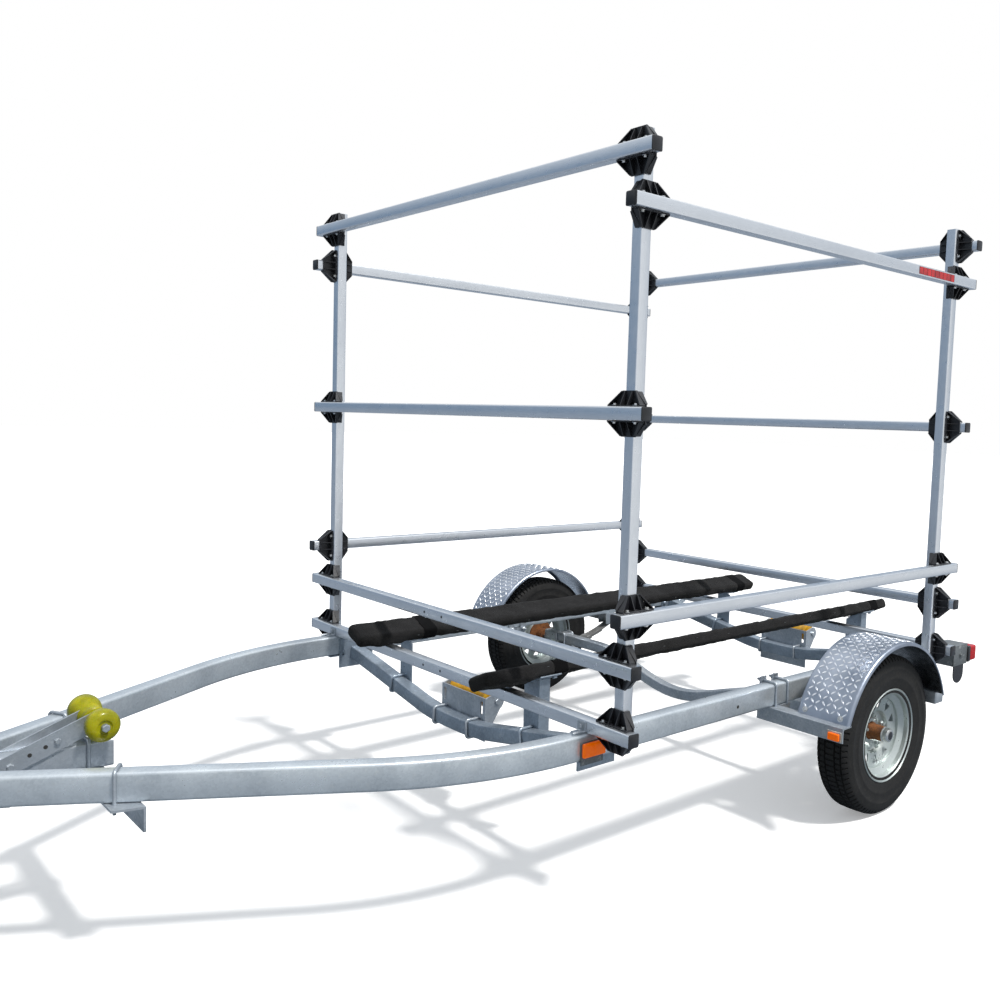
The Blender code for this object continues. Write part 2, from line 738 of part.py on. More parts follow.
def make_gusset():
    """Plate under the rails and the tongue where they meet, with its bolts."""
    slope = math.tan(RAIL_BEND_ANGLE)
    half = GUSSET_LENGTH / 2
    rear = BOX_WIDTH + half * slope
    outline = [(-half, -BOX_WIDTH * 1.1), (half, -rear - 0.030), (half, rear + 0.030), (-half, BOX_WIDTH * 1.1)]
    sheet = moved(plate(outline, GUSSET_PLATE), (GUSSET_X, 0, RAIL_BOTTOM_Z - GAP - GUSSET_PLATE / 2))
    heads = []
    for x_way, reach in ((-1, 0.0), (1, 0.0), (-0.25, 0.052), (-0.25, -0.052), (0.75, 0.110), (0.75, -0.110)):
        place = (GUSSET_X + x_way * half * 0.8, reach, RAIL_BOTTOM_Z - GAP - GUSSET_PLATE + BITE)
        heads.append(moved(hex_nut(0.019, 0.008), place, about("X", 180)))
    part("tongue_gusset", combine(sheet, heads), GALVANISED)


def make_crosspiece():
    """Angle under the rails and the tongue, held to each by a U-bolt over the top."""
    top = RAIL_BOTTOM_Z - GAP
    wall = CROSSPIECE_WALL
    half = CROSSPIECE_FLANGE / 2
    slope = math.tan(RAIL_BEND_ANGLE)
    reach = CROSSPIECE_HALF_LENGTH
    ends = [(-half, -reach), (half, -reach - 2 * half * slope * 0.4), (half, reach + 2 * half * slope * 0.4),
            (-half, reach)]
    flat = moved(plate(ends, wall), (CROSSPIECE_X, 0, top - wall / 2))
    hang = box((CROSSPIECE_X + half - wall, -reach, top - CROSSPIECE_FLANGE),
               (CROSSPIECE_X + half, reach, top - BITE))
    pieces = [hang]
    lift = BOX_HEIGHT / 2 + GAP + U_BOLT / 2
    spread = BOX_WIDTH / 2 + GAP + U_BOLT / 2
    foot = -BOX_HEIGHT / 2 - wall - NUT_HEIGHT - THREAD_END
    corners = [(0, -spread, foot), (0, -spread, lift), (0, spread, lift), (0, spread, foot)]
    hoop = rod(rounded_path(corners, U_BOLT_BEND, 1), U_BOLT / 2)
    nut = moved(hex_nut(), (0, 0, -BOX_HEIGHT / 2 - GAP - wall + BITE), about("X", 180))
    clamp = combine(hoop, [moved(nut, (0, -spread, 0)), moved(nut, (0, spread, 0))], solver="MANIFOLD")
    pieces.append(moved(clamp, (CROSSPIECE_X - 0.004, 0, RAIL_CENTRE_Z)))
    end = rail_path()[-2]
    for side in (-1, 1):
        run = (end.x - CROSSPIECE_X + 0.004) * slope
        place = (CROSSPIECE_X - 0.004, side * (-end.y - run), RAIL_CENTRE_Z)
        turn = about("Z", side * math.degrees(RAIL_BEND_ANGLE))
        pieces.append(moved(clamp, place, turn))
    part("tongue_crosspiece", combine(flat, pieces, solver="MANIFOLD"), GALVANISED)


# Cross members with what stands on them

def member_path():
    """Centre line of a cross member in the YZ plane."""
    reach = RAIL_INNER_Y - GAP - END_PLATE + BITE
    rise = (reach - MEMBER_BEND_Y) * math.tan(MEMBER_SLOPE)
    corners = [(0, -reach, MEMBER_CENTRE_Z + rise), (0, -MEMBER_BEND_Y, MEMBER_CENTRE_Z),
               (0, MEMBER_BEND_Y, MEMBER_CENTRE_Z), (0, reach, MEMBER_CENTRE_Z + rise)]
    return rounded_path(corners, MEMBER_BEND_RADIUS, 3)


def member_line(y):
    """Height and slope of the cross member's centre line at a distance from the middle."""
    path = member_path()
    for before, after in zip(path, path[1:]):
        if y <= after[1]:
            break
    slope = (after[2] - before[2]) / (after[1] - before[1])
    return before[2] + (y - before[1]) * slope, math.degrees(math.atan(slope))


def end_plate(side, with_lamp):
    """Slotted plate against a rail's inner face, with its bolts and any marker lamp's bracket."""
    inner = -RAIL_INNER_Y + GAP
    holes = []
    for x in (-END_PLATE_WIDTH / 2 + 0.016, END_PLATE_WIDTH / 2 - 0.016):
        holes.append([(x + u, 0.006 + v) for u, v in slot(0.009, 0.030)])
    centre_z = (END_PLATE_TOP_Z + END_PLATE_BOTTOM_Z) / 2
    height = END_PLATE_TOP_Z - END_PLATE_BOTTOM_Z
    sheet = plate(rounded_rectangle(END_PLATE_WIDTH, height, 0.008, 2), END_PLATE, holes)
    sheet = moved(sheet, (0, inner + END_PLATE / 2, centre_z), about("X", 90))
    pieces = []
    if with_lamp:
        x_low, x_high = -END_PLATE_WIDTH / 2 - 0.040, -END_PLATE_WIDTH / 2 + 0.047
        outer = -RAIL_OUTER_Y - GAP
        under = RAIL_BOTTOM_Z - GAP
        pieces.append(box((x_low, outer - 0.004, under - 0.036), (x_high, outer, RAIL_TOP_Z - 0.020)))
        pieces.append(box((x_low, outer - 0.001, under - 0.004), (x_high, inner + END_PLATE, under)))
        pieces.append(box((x_low, outer - 0.004 - 0.018, under + 0.013),
                          (x_high, outer - 0.004 + BITE, under + 0.055), 0.004))
    return mirrored(combine(sheet, pieces, solver="MANIFOLD") if pieces else sheet, side)


def make_cross_member(name, x, with_lamp):
    """Bowed tube between two end plates."""
    section = rounded_rectangle(MEMBER_TUBE, MEMBER_TUBE, MEMBER_CORNER, 1)
    tube = swept(section, member_path())
    whole = combine(tube, [end_plate(side, with_lamp) for side in SIDES.values()], solver="MANIFOLD")
    part(name, moved(whole, (x, 0, 0)), GALVANISED)


def member_clamp(y):
    """U-bolt round a cross member, its base ahead of the tube and its nuts behind the web."""
    web_back = MEMBER_TUBE / 2 + GAP + UPRIGHT_WALL
    leg_reach = web_back + NUT_HEIGHT + THREAD_END
    bolt = moved(u_bolt(MEMBER_TUBE / 2, MEMBER_TUBE / 2, leg_reach), (0, 0, 0), about("Z", -90))
    lift = MEMBER_TUBE / 2 + GAP + U_BOLT / 2
    nuts = [moved(hex_nut(), (web_back - BITE, 0, way * lift), about("Y", 90)) for way in (-1, 1)]
    height, slope = member_line(y)
    return [moved(piece, (0, y, height), about("X", slope)) for piece in [bolt] + nuts]


def make_bunk_upright(name, x, side):
    """Angle that stands on a cross member, with a saddle under the bunk."""
    web_x = MEMBER_TUBE / 2 + GAP
    inner_y = UPRIGHT_Y - UPRIGHT_WIDTH / 2
    outer_y = UPRIGHT_Y + UPRIGHT_WIDTH / 2
    foot_z = member_line(UPRIGHT_Y)[0] - MEMBER_TUBE / 2 - 0.022
    slope = math.tan(BUNK_TILT)
    drop = (BUNK_THICKNESS + GAP) / math.cos(BUNK_TILT)

    def under_bunk(y):
        return BUNK_FACE_Z + (y - BUNK_FACE_Y) * slope - drop

    top_trim = 0.002
    outline = [(inner_y, foot_z), (outer_y, foot_z), (outer_y, under_bunk(outer_y) - top_trim),
               (inner_y, under_bunk(inner_y) - top_trim)]
    web = plate(outline, UPRIGHT_WALL)
    web = moved(web, (web_x + UPRIGHT_WALL / 2, 0, 0), SHEET_ACROSS)
    flange = box((web_x + BITE, outer_y - UPRIGHT_WALL, foot_z),
                 (web_x + UPRIGHT_FLANGE, outer_y, under_bunk(outer_y) - 0.006))
    saddle = box((-0.010, -BUNK_WIDTH / 2 + 0.006, -UPRIGHT_WALL), (SADDLE_LENGTH - 0.010, BUNK_WIDTH / 2 - 0.006, 0))
    bolts = [moved(hex_nut(0.014, 0.006), (SADDLE_LENGTH - 0.032, way * 0.030, -UPRIGHT_WALL + BITE),
                   about("X", 180)) for way in (-1, 1)]
    saddle = combine(saddle, bolts)
    centre_y = BUNK_FACE_Y + (BUNK_THICKNESS + GAP) * math.sin(BUNK_TILT)
    centre_z = BUNK_FACE_Z - (BUNK_THICKNESS + GAP) * math.cos(BUNK_TILT)
    saddle = moved(saddle, (web_x, centre_y, centre_z), about("X", math.degrees(BUNK_TILT)))
    clamp = member_clamp(UPRIGHT_Y + 0.014)
    whole = combine(web, [flange, saddle] + clamp, solver="MANIFOLD")
    whole = mirrored(moved(whole, (x, 0, 0)), -side)
    part(name, whole, GALVANISED)


def make_bunks():
    """Two carpeted boards that lean inwards."""
    front_x = BUNK_REAR_X - BUNK_LENGTH
    for name, side in SIDES.items():
        board = box((front_x, -BUNK_WIDTH / 2, -BUNK_THICKNESS), (BUNK_REAR_X, BUNK_WIDTH / 2, 0), BUNK_CORNER)
        board = moved(board, (0, BUNK_FACE_Y, BUNK_FACE_Z), about("X", math.degrees(BUNK_TILT)))
        part(f"bunk_{name}", mirrored(board, -side), CARPET)


def make_keel_roller(name, member_x, below):
    """Folded bracket behind a cross member, and the roller that turns in it."""
    web_x = MEMBER_TUBE / 2 + GAP
    half = KEEL_BRACKET_WIDTH / 2
    wall = KEEL_BRACKET_WALL
    pin_x = web_x + KEEL_PIN_SETBACK
    foot_z = MEMBER_CENTRE_Z - MEMBER_TUBE / 2 - 0.020 - below
    centre_z = (KEEL_BRACKET_TOP_Z + foot_z) / 2
    height = KEEL_BRACKET_TOP_Z - foot_z
    slots = []
    for way in (-1, 1):
        middle_y = way * (half - 0.020)
        slots.append([(middle_y + u, KEEL_BRACKET_TOP_Z - centre_z - 0.036 + v) for u, v in slot(0.008, 0.045)])
    web = moved(plate(rounded_rectangle(KEEL_BRACKET_WIDTH, height, 0.006, 1), wall, slots),
                (web_x + wall / 2, 0, centre_z), SHEET_ACROSS)
    pieces = []
    ear_low = MEMBER_CENTRE_Z + 0.008
    ear = [(web_x + BITE, ear_low), (web_x + KEEL_PIN_SETBACK * 0.6, ear_low)]
    for step in range(6):
        angle = math.radians(-60 + 150 * step / 5)
        ear.append((pin_x + EAR_RADIUS * math.cos(angle), KEEL_ROLLER_Z + EAR_RADIUS * math.sin(angle)))
    ear.append((web_x + BITE, KEEL_ROLLER_Z + EAR_RADIUS * 0.7))
    for way in (-1, 1):
        pieces.append(moved(plate(ear, wall), (0, way * (half - wall / 2), 0), about("X", 90)))
        head = moved(hex_nut(0.019, 0.007), (pin_x, way * (half - BITE), KEEL_ROLLER_Z), about("X", -90 * way))
        pieces.append(head)
        pieces += member_clamp(way * (half - 0.030))
    pin = moved(cylinder(KEEL_ROLLER_BORE - RUNNING_GAP, KEEL_BRACKET_WIDTH - wall, 16),
                (pin_x, -half + wall / 2, KEEL_ROLLER_Z), about("X", -90))
    bracket = combine(web, pieces + [pin], solver="MANIFOLD")
    part(f"keel_bracket_{name}", moved(bracket, (member_x, 0, 0)), GALVANISED)

    length = KEEL_ROLLER_LENGTH / 2
    end = KEEL_ROLLER_END_RADIUS
    waist = KEEL_ROLLER_WAIST_RADIUS
    profile = [(KEEL_ROLLER_BORE, -length), (end * 0.8, -length), (end, -length + 0.006), (end, -length + 0.016)]
    for step in range(5):
        share = -1 + 2 * step / 4
        profile.append((waist + (end - 0.004 - waist) * share ** 2, share * (length - 0.026)))
    profile += [(end, length - 0.016), (end, length - 0.006), (end * 0.8, length), (KEEL_ROLLER_BORE, length)]
    pivot = (member_x + pin_x, 0, KEEL_ROLLER_Z)
    roller = moved(turned(profile, 16), pivot, about("X", 90))
    part(f"keel_roller_{name}", roller, URETHANE, pivot)


# Bow roller

def make_bow_roller():
    """Two arms with their bolts, a spool between them and a bell outside each."""
    pivot = (BOW_ROLLER_X, 0, BOW_ROLLER_Z)
    arm_way = Vector((BOW_ROLLER_X - BOW_ARM_FOOT_X, BOW_ROLLER_Z - BOW_ARM_FOOT_Z))
    length = arm_way.length
    lean = math.degrees(math.atan2(arm_way.y, arm_way.x))
    half = BOW_ARM_WIDTH / 2
    outline = [(-half * 0.6, -half), (length, -half)]
    for step in range(1, 6):
        angle = math.radians(-90 + 180 * step / 6)
        outline.append((length + half * math.cos(angle), half * math.sin(angle)))
    outline += [(length, half), (-half * 0.6, half)]
    holes = [circle(0.005, length * share, 0, 8) for share in (0.26, 0.43)]
    inner = BOX_WIDTH / 2 + GAP
    arms = []
    for side in (-1, 1):
        arm = moved(plate(outline, BOW_ARM_WALL, holes), turn=about("X", 90))
        arm = moved(arm, turn=about("Y", -lean))
        arms.append(moved(arm, (BOW_ARM_FOOT_X, side * (inner + BOW_ARM_WALL / 2), BOW_ARM_FOOT_Z)))
    reach = inner + BOW_ARM_WALL + BOW_BELL_LENGTH + GAP
    pin = moved(cylinder(BOW_PIN_RADIUS, 2 * reach + 0.006, 16), (pivot[0], -reach - 0.003, pivot[2]), about("X", -90))
    spacer_at = (BOW_ARM_FOOT_X + arm_way.x * 0.56, BOW_ARM_FOOT_Z + arm_way.y * 0.56)
    spacer_reach = inner + BOW_ARM_WALL + 0.001
    spacer_z = max(spacer_at[1], RAIL_TOP_Z + 0.007)
    spacer = moved(cylinder(0.005, 2 * spacer_reach, 12), (spacer_at[0], -spacer_reach, spacer_z), about("X", -90))
    pieces = [arms[1], pin, spacer]
    for side in (-1, 1):
        pieces.append(moved(hex_nut(0.024, 0.007), (pivot[0], side * (reach + GAP), pivot[2]),
                            about("X", -90 * side)))
        spacer_y = side * (inner + BOW_ARM_WALL - BITE)
        pieces.append(moved(hex_nut(0.014, 0.006), (spacer_at[0], spacer_y, spacer_z), about("X", -90 * side)))
        foot_y = side * (inner + BOW_ARM_WALL - BITE)
        pieces.append(moved(hex_nut(0.016, 0.007), (BOW_ARM_FOOT_X + 0.012, foot_y, BOW_ARM_FOOT_Z),
                            about("X", -90 * side)))
    part("bow_roller_arms", combine(arms[0], pieces, solver="MANIFOLD"), GALVANISED)

    bore = BOW_PIN_RADIUS + RUNNING_GAP
    spool_half = inner - 2 * GAP
    spool = [(bore, -spool_half), (BOW_SPOOL_RADIUS * 0.9, -spool_half)]
    for step in range(5):
        share = -1 + 2 * step / 4
        radius = BOW_SPOOL_RADIUS * (0.80 + 0.20 * share ** 2)
        spool.append((radius, share * (spool_half - 0.003)))
    spool += [(BOW_SPOOL_RADIUS * 0.9, spool_half), (bore, spool_half)]
    part("bow_roller_spool", moved(turned(spool, 16), pivot, about("X", 90)), URETHANE, pivot)

    big = BOW_BELL_RADIUS
    full = BOW_BELL_LENGTH
    bell = [(bore, 0), (big * 0.50, 0), (big * 0.58, full * 0.14), (big * 0.90, full * 0.40), (big, full * 0.58),
            (big * 0.96, full * 0.76), (big * 0.66, full), (bore, full)]
    start = inner + BOW_ARM_WALL + GAP
    for name, side in SIDES.items():
        shape = moved(turned(bell, 16), (BOW_ROLLER_X, side * start, BOW_ROLLER_Z), about("X", -90 * side))
        part(f"bow_roller_bell_{name}", shape, URETHANE, pivot)


# Axle, springs and wheels

def axle_height(y):
    """Height of the axle's centre line."""
    share = min(1.0, abs(y) / AXLE_STRAIGHT_Y)
    return AXLE_END_Z - AXLE_DROP * math.cos(math.pi / 2 * share) ** 2


def make_axle():
    """Bent square axle with round spindles, spring plates and U-bolts."""
    path = [(AXLE_X, -AXLE_TUBE_END_Y, AXLE_END_Z)]
    steps = 12
    for step in range(steps + 1):
        y = AXLE_STRAIGHT_Y * (2 * step / steps - 1)
        path.append((AXLE_X, y, axle_height(y)))
    path.append((AXLE_X, AXLE_TUBE_END_Y, AXLE_END_Z))
    beam = swept(rounded_rectangle(AXLE_TUBE, AXLE_TUBE, AXLE_CORNER, 1), path)
    spring_depth = LEAF * len(LEAF_HALF_LENGTHS)
    plate_top = SPRING_TOP_Z - spring_depth - GAP
    pieces = []
    for side in SIDES.values():
        spindle = cylinder(SPINDLE_RADIUS, SPINDLE_END_Y - AXLE_TUBE_END_Y + 0.03, 20)
        spindle = moved(spindle, (AXLE_X, side * (AXLE_TUBE_END_Y - 0.03), WHEEL_RADIUS), about("X", -90 * side))
        pieces.append(spindle)
        y = side * RAIL_Y
        pieces.append(box((AXLE_X - 0.050, y - 0.050, plate_top - SPRING_PLATE), (AXLE_X + 0.050, y + 0.050, plate_top)))
        spread = SPRING_WIDTH / 2 + GAP + U_BOLT / 2 + 0.002
        for way in (-1, 1):
            crest = AXLE_END_Z + AXLE_TUBE / 2 + U_BOLT / 2 + GAP
            foot = plate_top - SPRING_PLATE - NUT_HEIGHT - THREAD_END
            leg_x = AXLE_X + way * (AXLE_TUBE / 2 + U_BOLT / 2 + GAP)
            corners = [(leg_x, y - spread, foot), (leg_x, y - spread, crest),
                       (leg_x, y + spread, crest), (leg_x, y + spread, foot)]
            pieces.append(rod(rounded_path(corners, U_BOLT_BEND, 1), U_BOLT / 2))
            for edge in (-1, 1):
                place = (leg_x, y + edge * spread, plate_top - SPRING_PLATE + BITE)
                pieces.append(moved(hex_nut(), place, about("X", 180)))
        bridge = box((AXLE_X - AXLE_TUBE / 2 - U_BOLT * 0.7, y - spread * 0.5, AXLE_END_Z + AXLE_TUBE / 2 - BITE),
                     (AXLE_X + AXLE_TUBE / 2 + U_BOLT * 0.7, y + spread * 0.5, AXLE_END_Z + AXLE_TUBE / 2 + U_BOLT * 0.6))
        pieces.append(bridge)
    part("axle", combine(beam, pieces, solver="MANIFOLD"), GALVANISED, (AXLE_X, 0, AXLE_END_Z))


def leaf_arc(start, stop, depth, steps):
    """Points of an arc between two distances from the axle, at a depth below the main leaf's top."""
    radius = SPRING_ARC_RADIUS + depth
    centre_z = SPRING_TOP_Z + math.sqrt(SPRING_ARC_RADIUS ** 2 - SPRING_SEAT ** 2)
    first = math.asin(start / radius)
    last = math.asin(stop / radius)
    points = []
    for step in range(steps + 1):
        angle = first + (last - first) * step / steps
        points.append((AXLE_X + radius * math.sin(angle), centre_z - radius * math.cos(angle)))
    return points


def make_springs():
    """Leaf springs with a front eye and a rear end that slides under its hanger."""
    full = LEAF_HALF_LENGTHS[0]
    ends = list(LEAF_HALF_LENGTHS) + [SPRING_SEAT]
    outline = leaf_arc(-full, -SPRING_SEAT, 0.0, 6) + leaf_arc(SPRING_SEAT, full, 0.0, 6)
    rear_steps = []
    for index in range(len(LEAF_HALF_LENGTHS)):
        rear_steps += leaf_arc(ends[index], ends[index + 1], LEAF * (index + 1), 2)
    front_steps = [(2 * AXLE_X - x, z) for x, z in reversed(rear_steps)]
    outline += rear_steps + front_steps
    pack = moved(plate(outline, SPRING_WIDTH), (0, 0, 0), about("X", 90))
    eye = moved(cylinder(SPRING_EYE_RADIUS, SPRING_WIDTH - 2 * GAP, 16),
                (SPRING_EYE_X, SPRING_WIDTH / 2 - GAP, SPRING_EYE_Z), about("X", 90))
    bore = moved(cylinder(SPRING_BOLT_RADIUS + GAP, SPRING_WIDTH * 1.2, 12),
                 (SPRING_EYE_X, SPRING_WIDTH * 0.6, SPRING_EYE_Z), about("X", 90))
    spring = cut(combine(pack, [eye]), bore)
    for name, side in SIDES.items():
        part(f"leaf_spring_{name}", moved(spring, (0, side * RAIL_Y, 0)), GALVANISED)


def tyre_profile():
    """Closed section of the casing, as (radius, offset from the wheel's middle)."""
    bead = RIM_RADIUS + GAP + 0.0004
    wide = TYRE_HALF_WIDTH
    at_flange = RIM_HALF_WIDTH - 2 * GAP
    outer = [(bead, 0.036), (bead, at_flange), (RIM_RADIUS + RIM_FLANGE + 0.001, at_flange), (0.186, wide - 0.002),
             (0.256, wide), (0.276, wide - 0.012), (WHEEL_RADIUS, 0.030)]
    inner = [(WHEEL_RADIUS - 0.016, 0.030), (0.222, wide - TYRE_WALL), (0.164, 0.040)]
    right = outer
    left = [(radius, -offset) for radius, offset in reversed(outer)]
    hollow_left = [(radius, -offset) for radius, offset in inner]
    hollow_right = list(reversed(inner))
    return right + left + hollow_left[::-1] + hollow_right[::-1]


def rim_profile():
    """Closed section of the rim's barrel."""
    half = RIM_HALF_WIDTH
    well = RIM_RADIUS - DROP_CENTRE_DEPTH
    seat = RIM_RADIUS
    lip = RIM_RADIUS + RIM_FLANGE
    wall = RIM_WALL
    face = [(lip, half + wall + 0.002), (lip, half), (seat, half), (seat, 0.034), (well, 0.022)]
    back = [(well - wall, 0.022 + wall * 0.6), (seat - wall, 0.034 + wall * 0.7), (seat - wall, half + wall)]
    outside = face + [(radius, -offset) for radius, offset in reversed(face)]
    inside = [(radius, -offset) for radius, offset in reversed(back)] + back
    return outside + inside


def make_wheel(name, side):
    """Hub, rim and tyre of one wheel, on the spindle's axis."""
    pivot = (AXLE_X, side * WHEEL_Y, WHEEL_RADIUS)
    outward = about("X", -90 * side)

    def placed(mesh):
        return moved(mesh, pivot, outward)

    facets = 2 * WINDOW_COUNT
    half_facet = 180 / facets
    part(f"tyre_{name}", placed(turned(tyre_profile(), facets)), TYRE_RUBBER, pivot)

    barrel = turned(rim_profile(), facets)
    face = DISC_FACE_OFFSET
    well = RIM_RADIUS - DROP_CENTRE_DEPTH - RIM_WALL
    bore = HUB_BARREL_RADIUS + GAP + 0.0005
    disc = [(bore, face), (0.070, face), (0.080, face + 0.010), (well + BITE, face + 0.024),
            (well + BITE, face + 0.024 - DISC_WALL * 1.3), (0.080, face + 0.010 - DISC_WALL),
            (0.070, face - DISC_WALL), (bore, face - DISC_WALL)]
    cutters = []
    for index in range(WINDOW_COUNT):
        angle = 360 / WINDOW_COUNT * (index + 0.5) + half_facet
        size = WINDOW_SIZE
        window = plate([(WINDOW_RADIUS - size * 0.8, 0), (WINDOW_RADIUS + size * 0.8, -size * 0.62),
                        (WINDOW_RADIUS + size * 0.8, size * 0.62)], 0.08)
        cutters.append(moved(window, turn=about("Z", angle)))
    for index in range(LUG_COUNT):
        angle = 2 * math.pi / LUG_COUNT * index + math.radians(half_facet)
        place = (LUG_CIRCLE_RADIUS * math.cos(angle), LUG_CIRCLE_RADIUS * math.sin(angle), face - 0.02)
        cutters.append(moved(cylinder(LUG_RADIUS + 2 * GAP, 0.04, 8), place))
    pierced = cut(turned(disc, facets), *cutters)
    part(f"rim_{name}", placed(combine(barrel, [pierced])), GALVANISED, pivot)

    back = face - DISC_WALL - GAP
    inboard = AXLE_TUBE_END_Y + 0.0015 - WHEEL_Y
    spindle = SPINDLE_RADIUS + RUNNING_GAP
    tip = SPINDLE_END_Y - WHEEL_Y + 0.002
    cap_end = HUB_BARREL_OUTER + DUST_CAP_LENGTH
    hub = [(spindle, inboard), (0.034, inboard), (0.034, back - HUB_FLANGE), (HUB_FLANGE_RADIUS, back - HUB_FLANGE),
           (HUB_FLANGE_RADIUS, back), (HUB_BARREL_RADIUS, back), (HUB_BARREL_RADIUS, HUB_BARREL_OUTER),
           (DUST_CAP_RADIUS, HUB_BARREL_OUTER), (DUST_CAP_RADIUS, cap_end - 0.003),
           (DUST_CAP_RADIUS - 0.003, cap_end), (0, cap_end), (0, tip), (spindle, tip)]
    pieces = []
    for index in range(LUG_COUNT):
        angle = 2 * math.pi / LUG_COUNT * index + math.radians(half_facet)
        x, y = LUG_CIRCLE_RADIUS * math.cos(angle), LUG_CIRCLE_RADIUS * math.sin(angle)
        pieces.append(moved(cylinder(LUG_RADIUS, 0.026, 8), (x, y, back - 0.002)))
        pieces.append(moved(hex_nut(0.019, 0.014), (x, y, face + GAP)))
    part(f"hub_{name}", placed(combine(turned(hub, 16), pieces)), CAST_IRON, pivot)


# Fenders and their front mounts

def make_fender(name, side):
    """Rolled tread plate over the wheel, with a lip along its outer edge."""
    seat = RAIL_BOTTOM_Z
    angle = math.asin((seat - WHEEL_RADIUS) / FENDER_RADIUS) - FENDER_TRIM_ANGLE
    sweep = math.pi - 2 * angle
    inner_y = FENDER_INNER_Y
    outer_y = FENDER_OUTER_Y
    round_r = FENDER_LIP_RADIUS
    outline = [(inner_y, FENDER_RADIUS)]
    for step in range(4):
        turn = math.pi / 2 * step / 3
        outline.append((outer_y - round_r + round_r * math.sin(turn), FENDER_RADIUS - round_r + round_r * math.cos(turn)))
    outline.append((outer_y, FENDER_RADIUS - FENDER_LIP))
    thick = FENDER_SHEET
    inside = [(outer_y - thick, FENDER_RADIUS - FENDER_LIP)]
    for step in range(3, -1, -1):
        turn = math.pi / 2 * step / 3
        inside.append((outer_y - round_r + (round_r - thick) * math.sin(turn),
                       FENDER_RADIUS - round_r + (round_r - thick) * math.cos(turn)))
    inside.append((inner_y, FENDER_RADIUS - thick))
    loop = outline + inside
    path = bmesh.new()
    ring = [path.verts.new((radius * math.cos(angle), -y, radius * math.sin(angle))) for y, radius in loop]
    face = path.faces.new(ring)
    bmesh.ops.spin(path, geom=[face], cent=(0, 0, 0), axis=(0, -1, 0), angle=sweep, steps=18,
                   use_duplicate=False)
    mesh = bpy.data.meshes.new("fender")
    bmesh.ops.recalc_face_normals(path, faces=path.faces)
    path.to_mesh(mesh)
    path.free()
    under = box((FENDER_X - 1, -1.5, 0), (FENDER_X + 1, 0, seat))
    shell = cut(moved(mesh, (FENDER_X, 0, WHEEL_RADIUS)), under)
    part(f"fender_{name}", mirrored(shell, side), TREAD_PLATE)


def make_fender_mount(name, side):
    """Angle under the rail that carries the fender's front end and a marker lamp."""
    top = RAIL_BOTTOM_Z - GAP
    x = MOUNT_FRONT_X
    inner_y = -RAIL_INNER_Y + 0.004
    flat = box((x, -MOUNT_OUTER_Y, top - MOUNT_WALL), (x + MOUNT_FLANGE, inner_y, top))
    hang = box((x, -MOUNT_OUTER_Y, top - MOUNT_FLANGE), (x + MOUNT_WALL, -RAIL_INNER_Y, top - BITE))
    lamp = box((x - LAMP_DEPTH, -MOUNT_OUTER_Y + 0.004, top - MOUNT_FLANGE + 0.004),
               (x + BITE, -MOUNT_OUTER_Y + 0.004 + LAMP_WIDTH, top - MOUNT_FLANGE + 0.004 + LAMP_HEIGHT), 0.003)
    lift = BOX_HEIGHT / 2 + GAP + U_BOLT / 2
    lower = lift + MOUNT_WALL
    reach = BOX_WIDTH / 2 + END_PLATE + NUT_HEIGHT + THREAD_END
    base_y = -BOX_WIDTH / 2 - GAP - U_BOLT / 2
    corners = [(0, reach, lift), (0, base_y, lift), (0, base_y, -lower), (0, reach, -lower)]
    bolt = moved(rod(rounded_path(corners, U_BOLT_BEND, 1), U_BOLT / 2), (MOUNT_BOLT_X, -RAIL_Y, RAIL_CENTRE_Z))
    notch = box((MOUNT_BOLT_X - U_BOLT, -RAIL_OUTER_Y - U_BOLT - 2 * GAP, top - MOUNT_WALL * 2),
                (MOUNT_BOLT_X + U_BOLT, -RAIL_OUTER_Y, top + 0.01))
    strap_low = (MOUNT_BOLT_X - 0.017, -RAIL_INNER_Y + GAP, RAIL_CENTRE_Z - lower - 0.012)
    strap_high = (MOUNT_BOLT_X + 0.017, -RAIL_INNER_Y + GAP + END_PLATE, RAIL_CENTRE_Z + lift + 0.012)
    pieces = [hang, lamp, bolt, box(strap_low, strap_high)]
    nut_y = -RAIL_INNER_Y + GAP + END_PLATE - BITE
    for height in (lift, -lower):
        pieces.append(moved(hex_nut(), (MOUNT_BOLT_X, nut_y, RAIL_CENTRE_Z + height), about("X", -90)))
    whole = combine(cut(flat, notch), pieces, solver="MANIFOLD")
    part(f"fender_mount_{name}", mirrored(whole, side), GALVANISED)


# Tail lamps

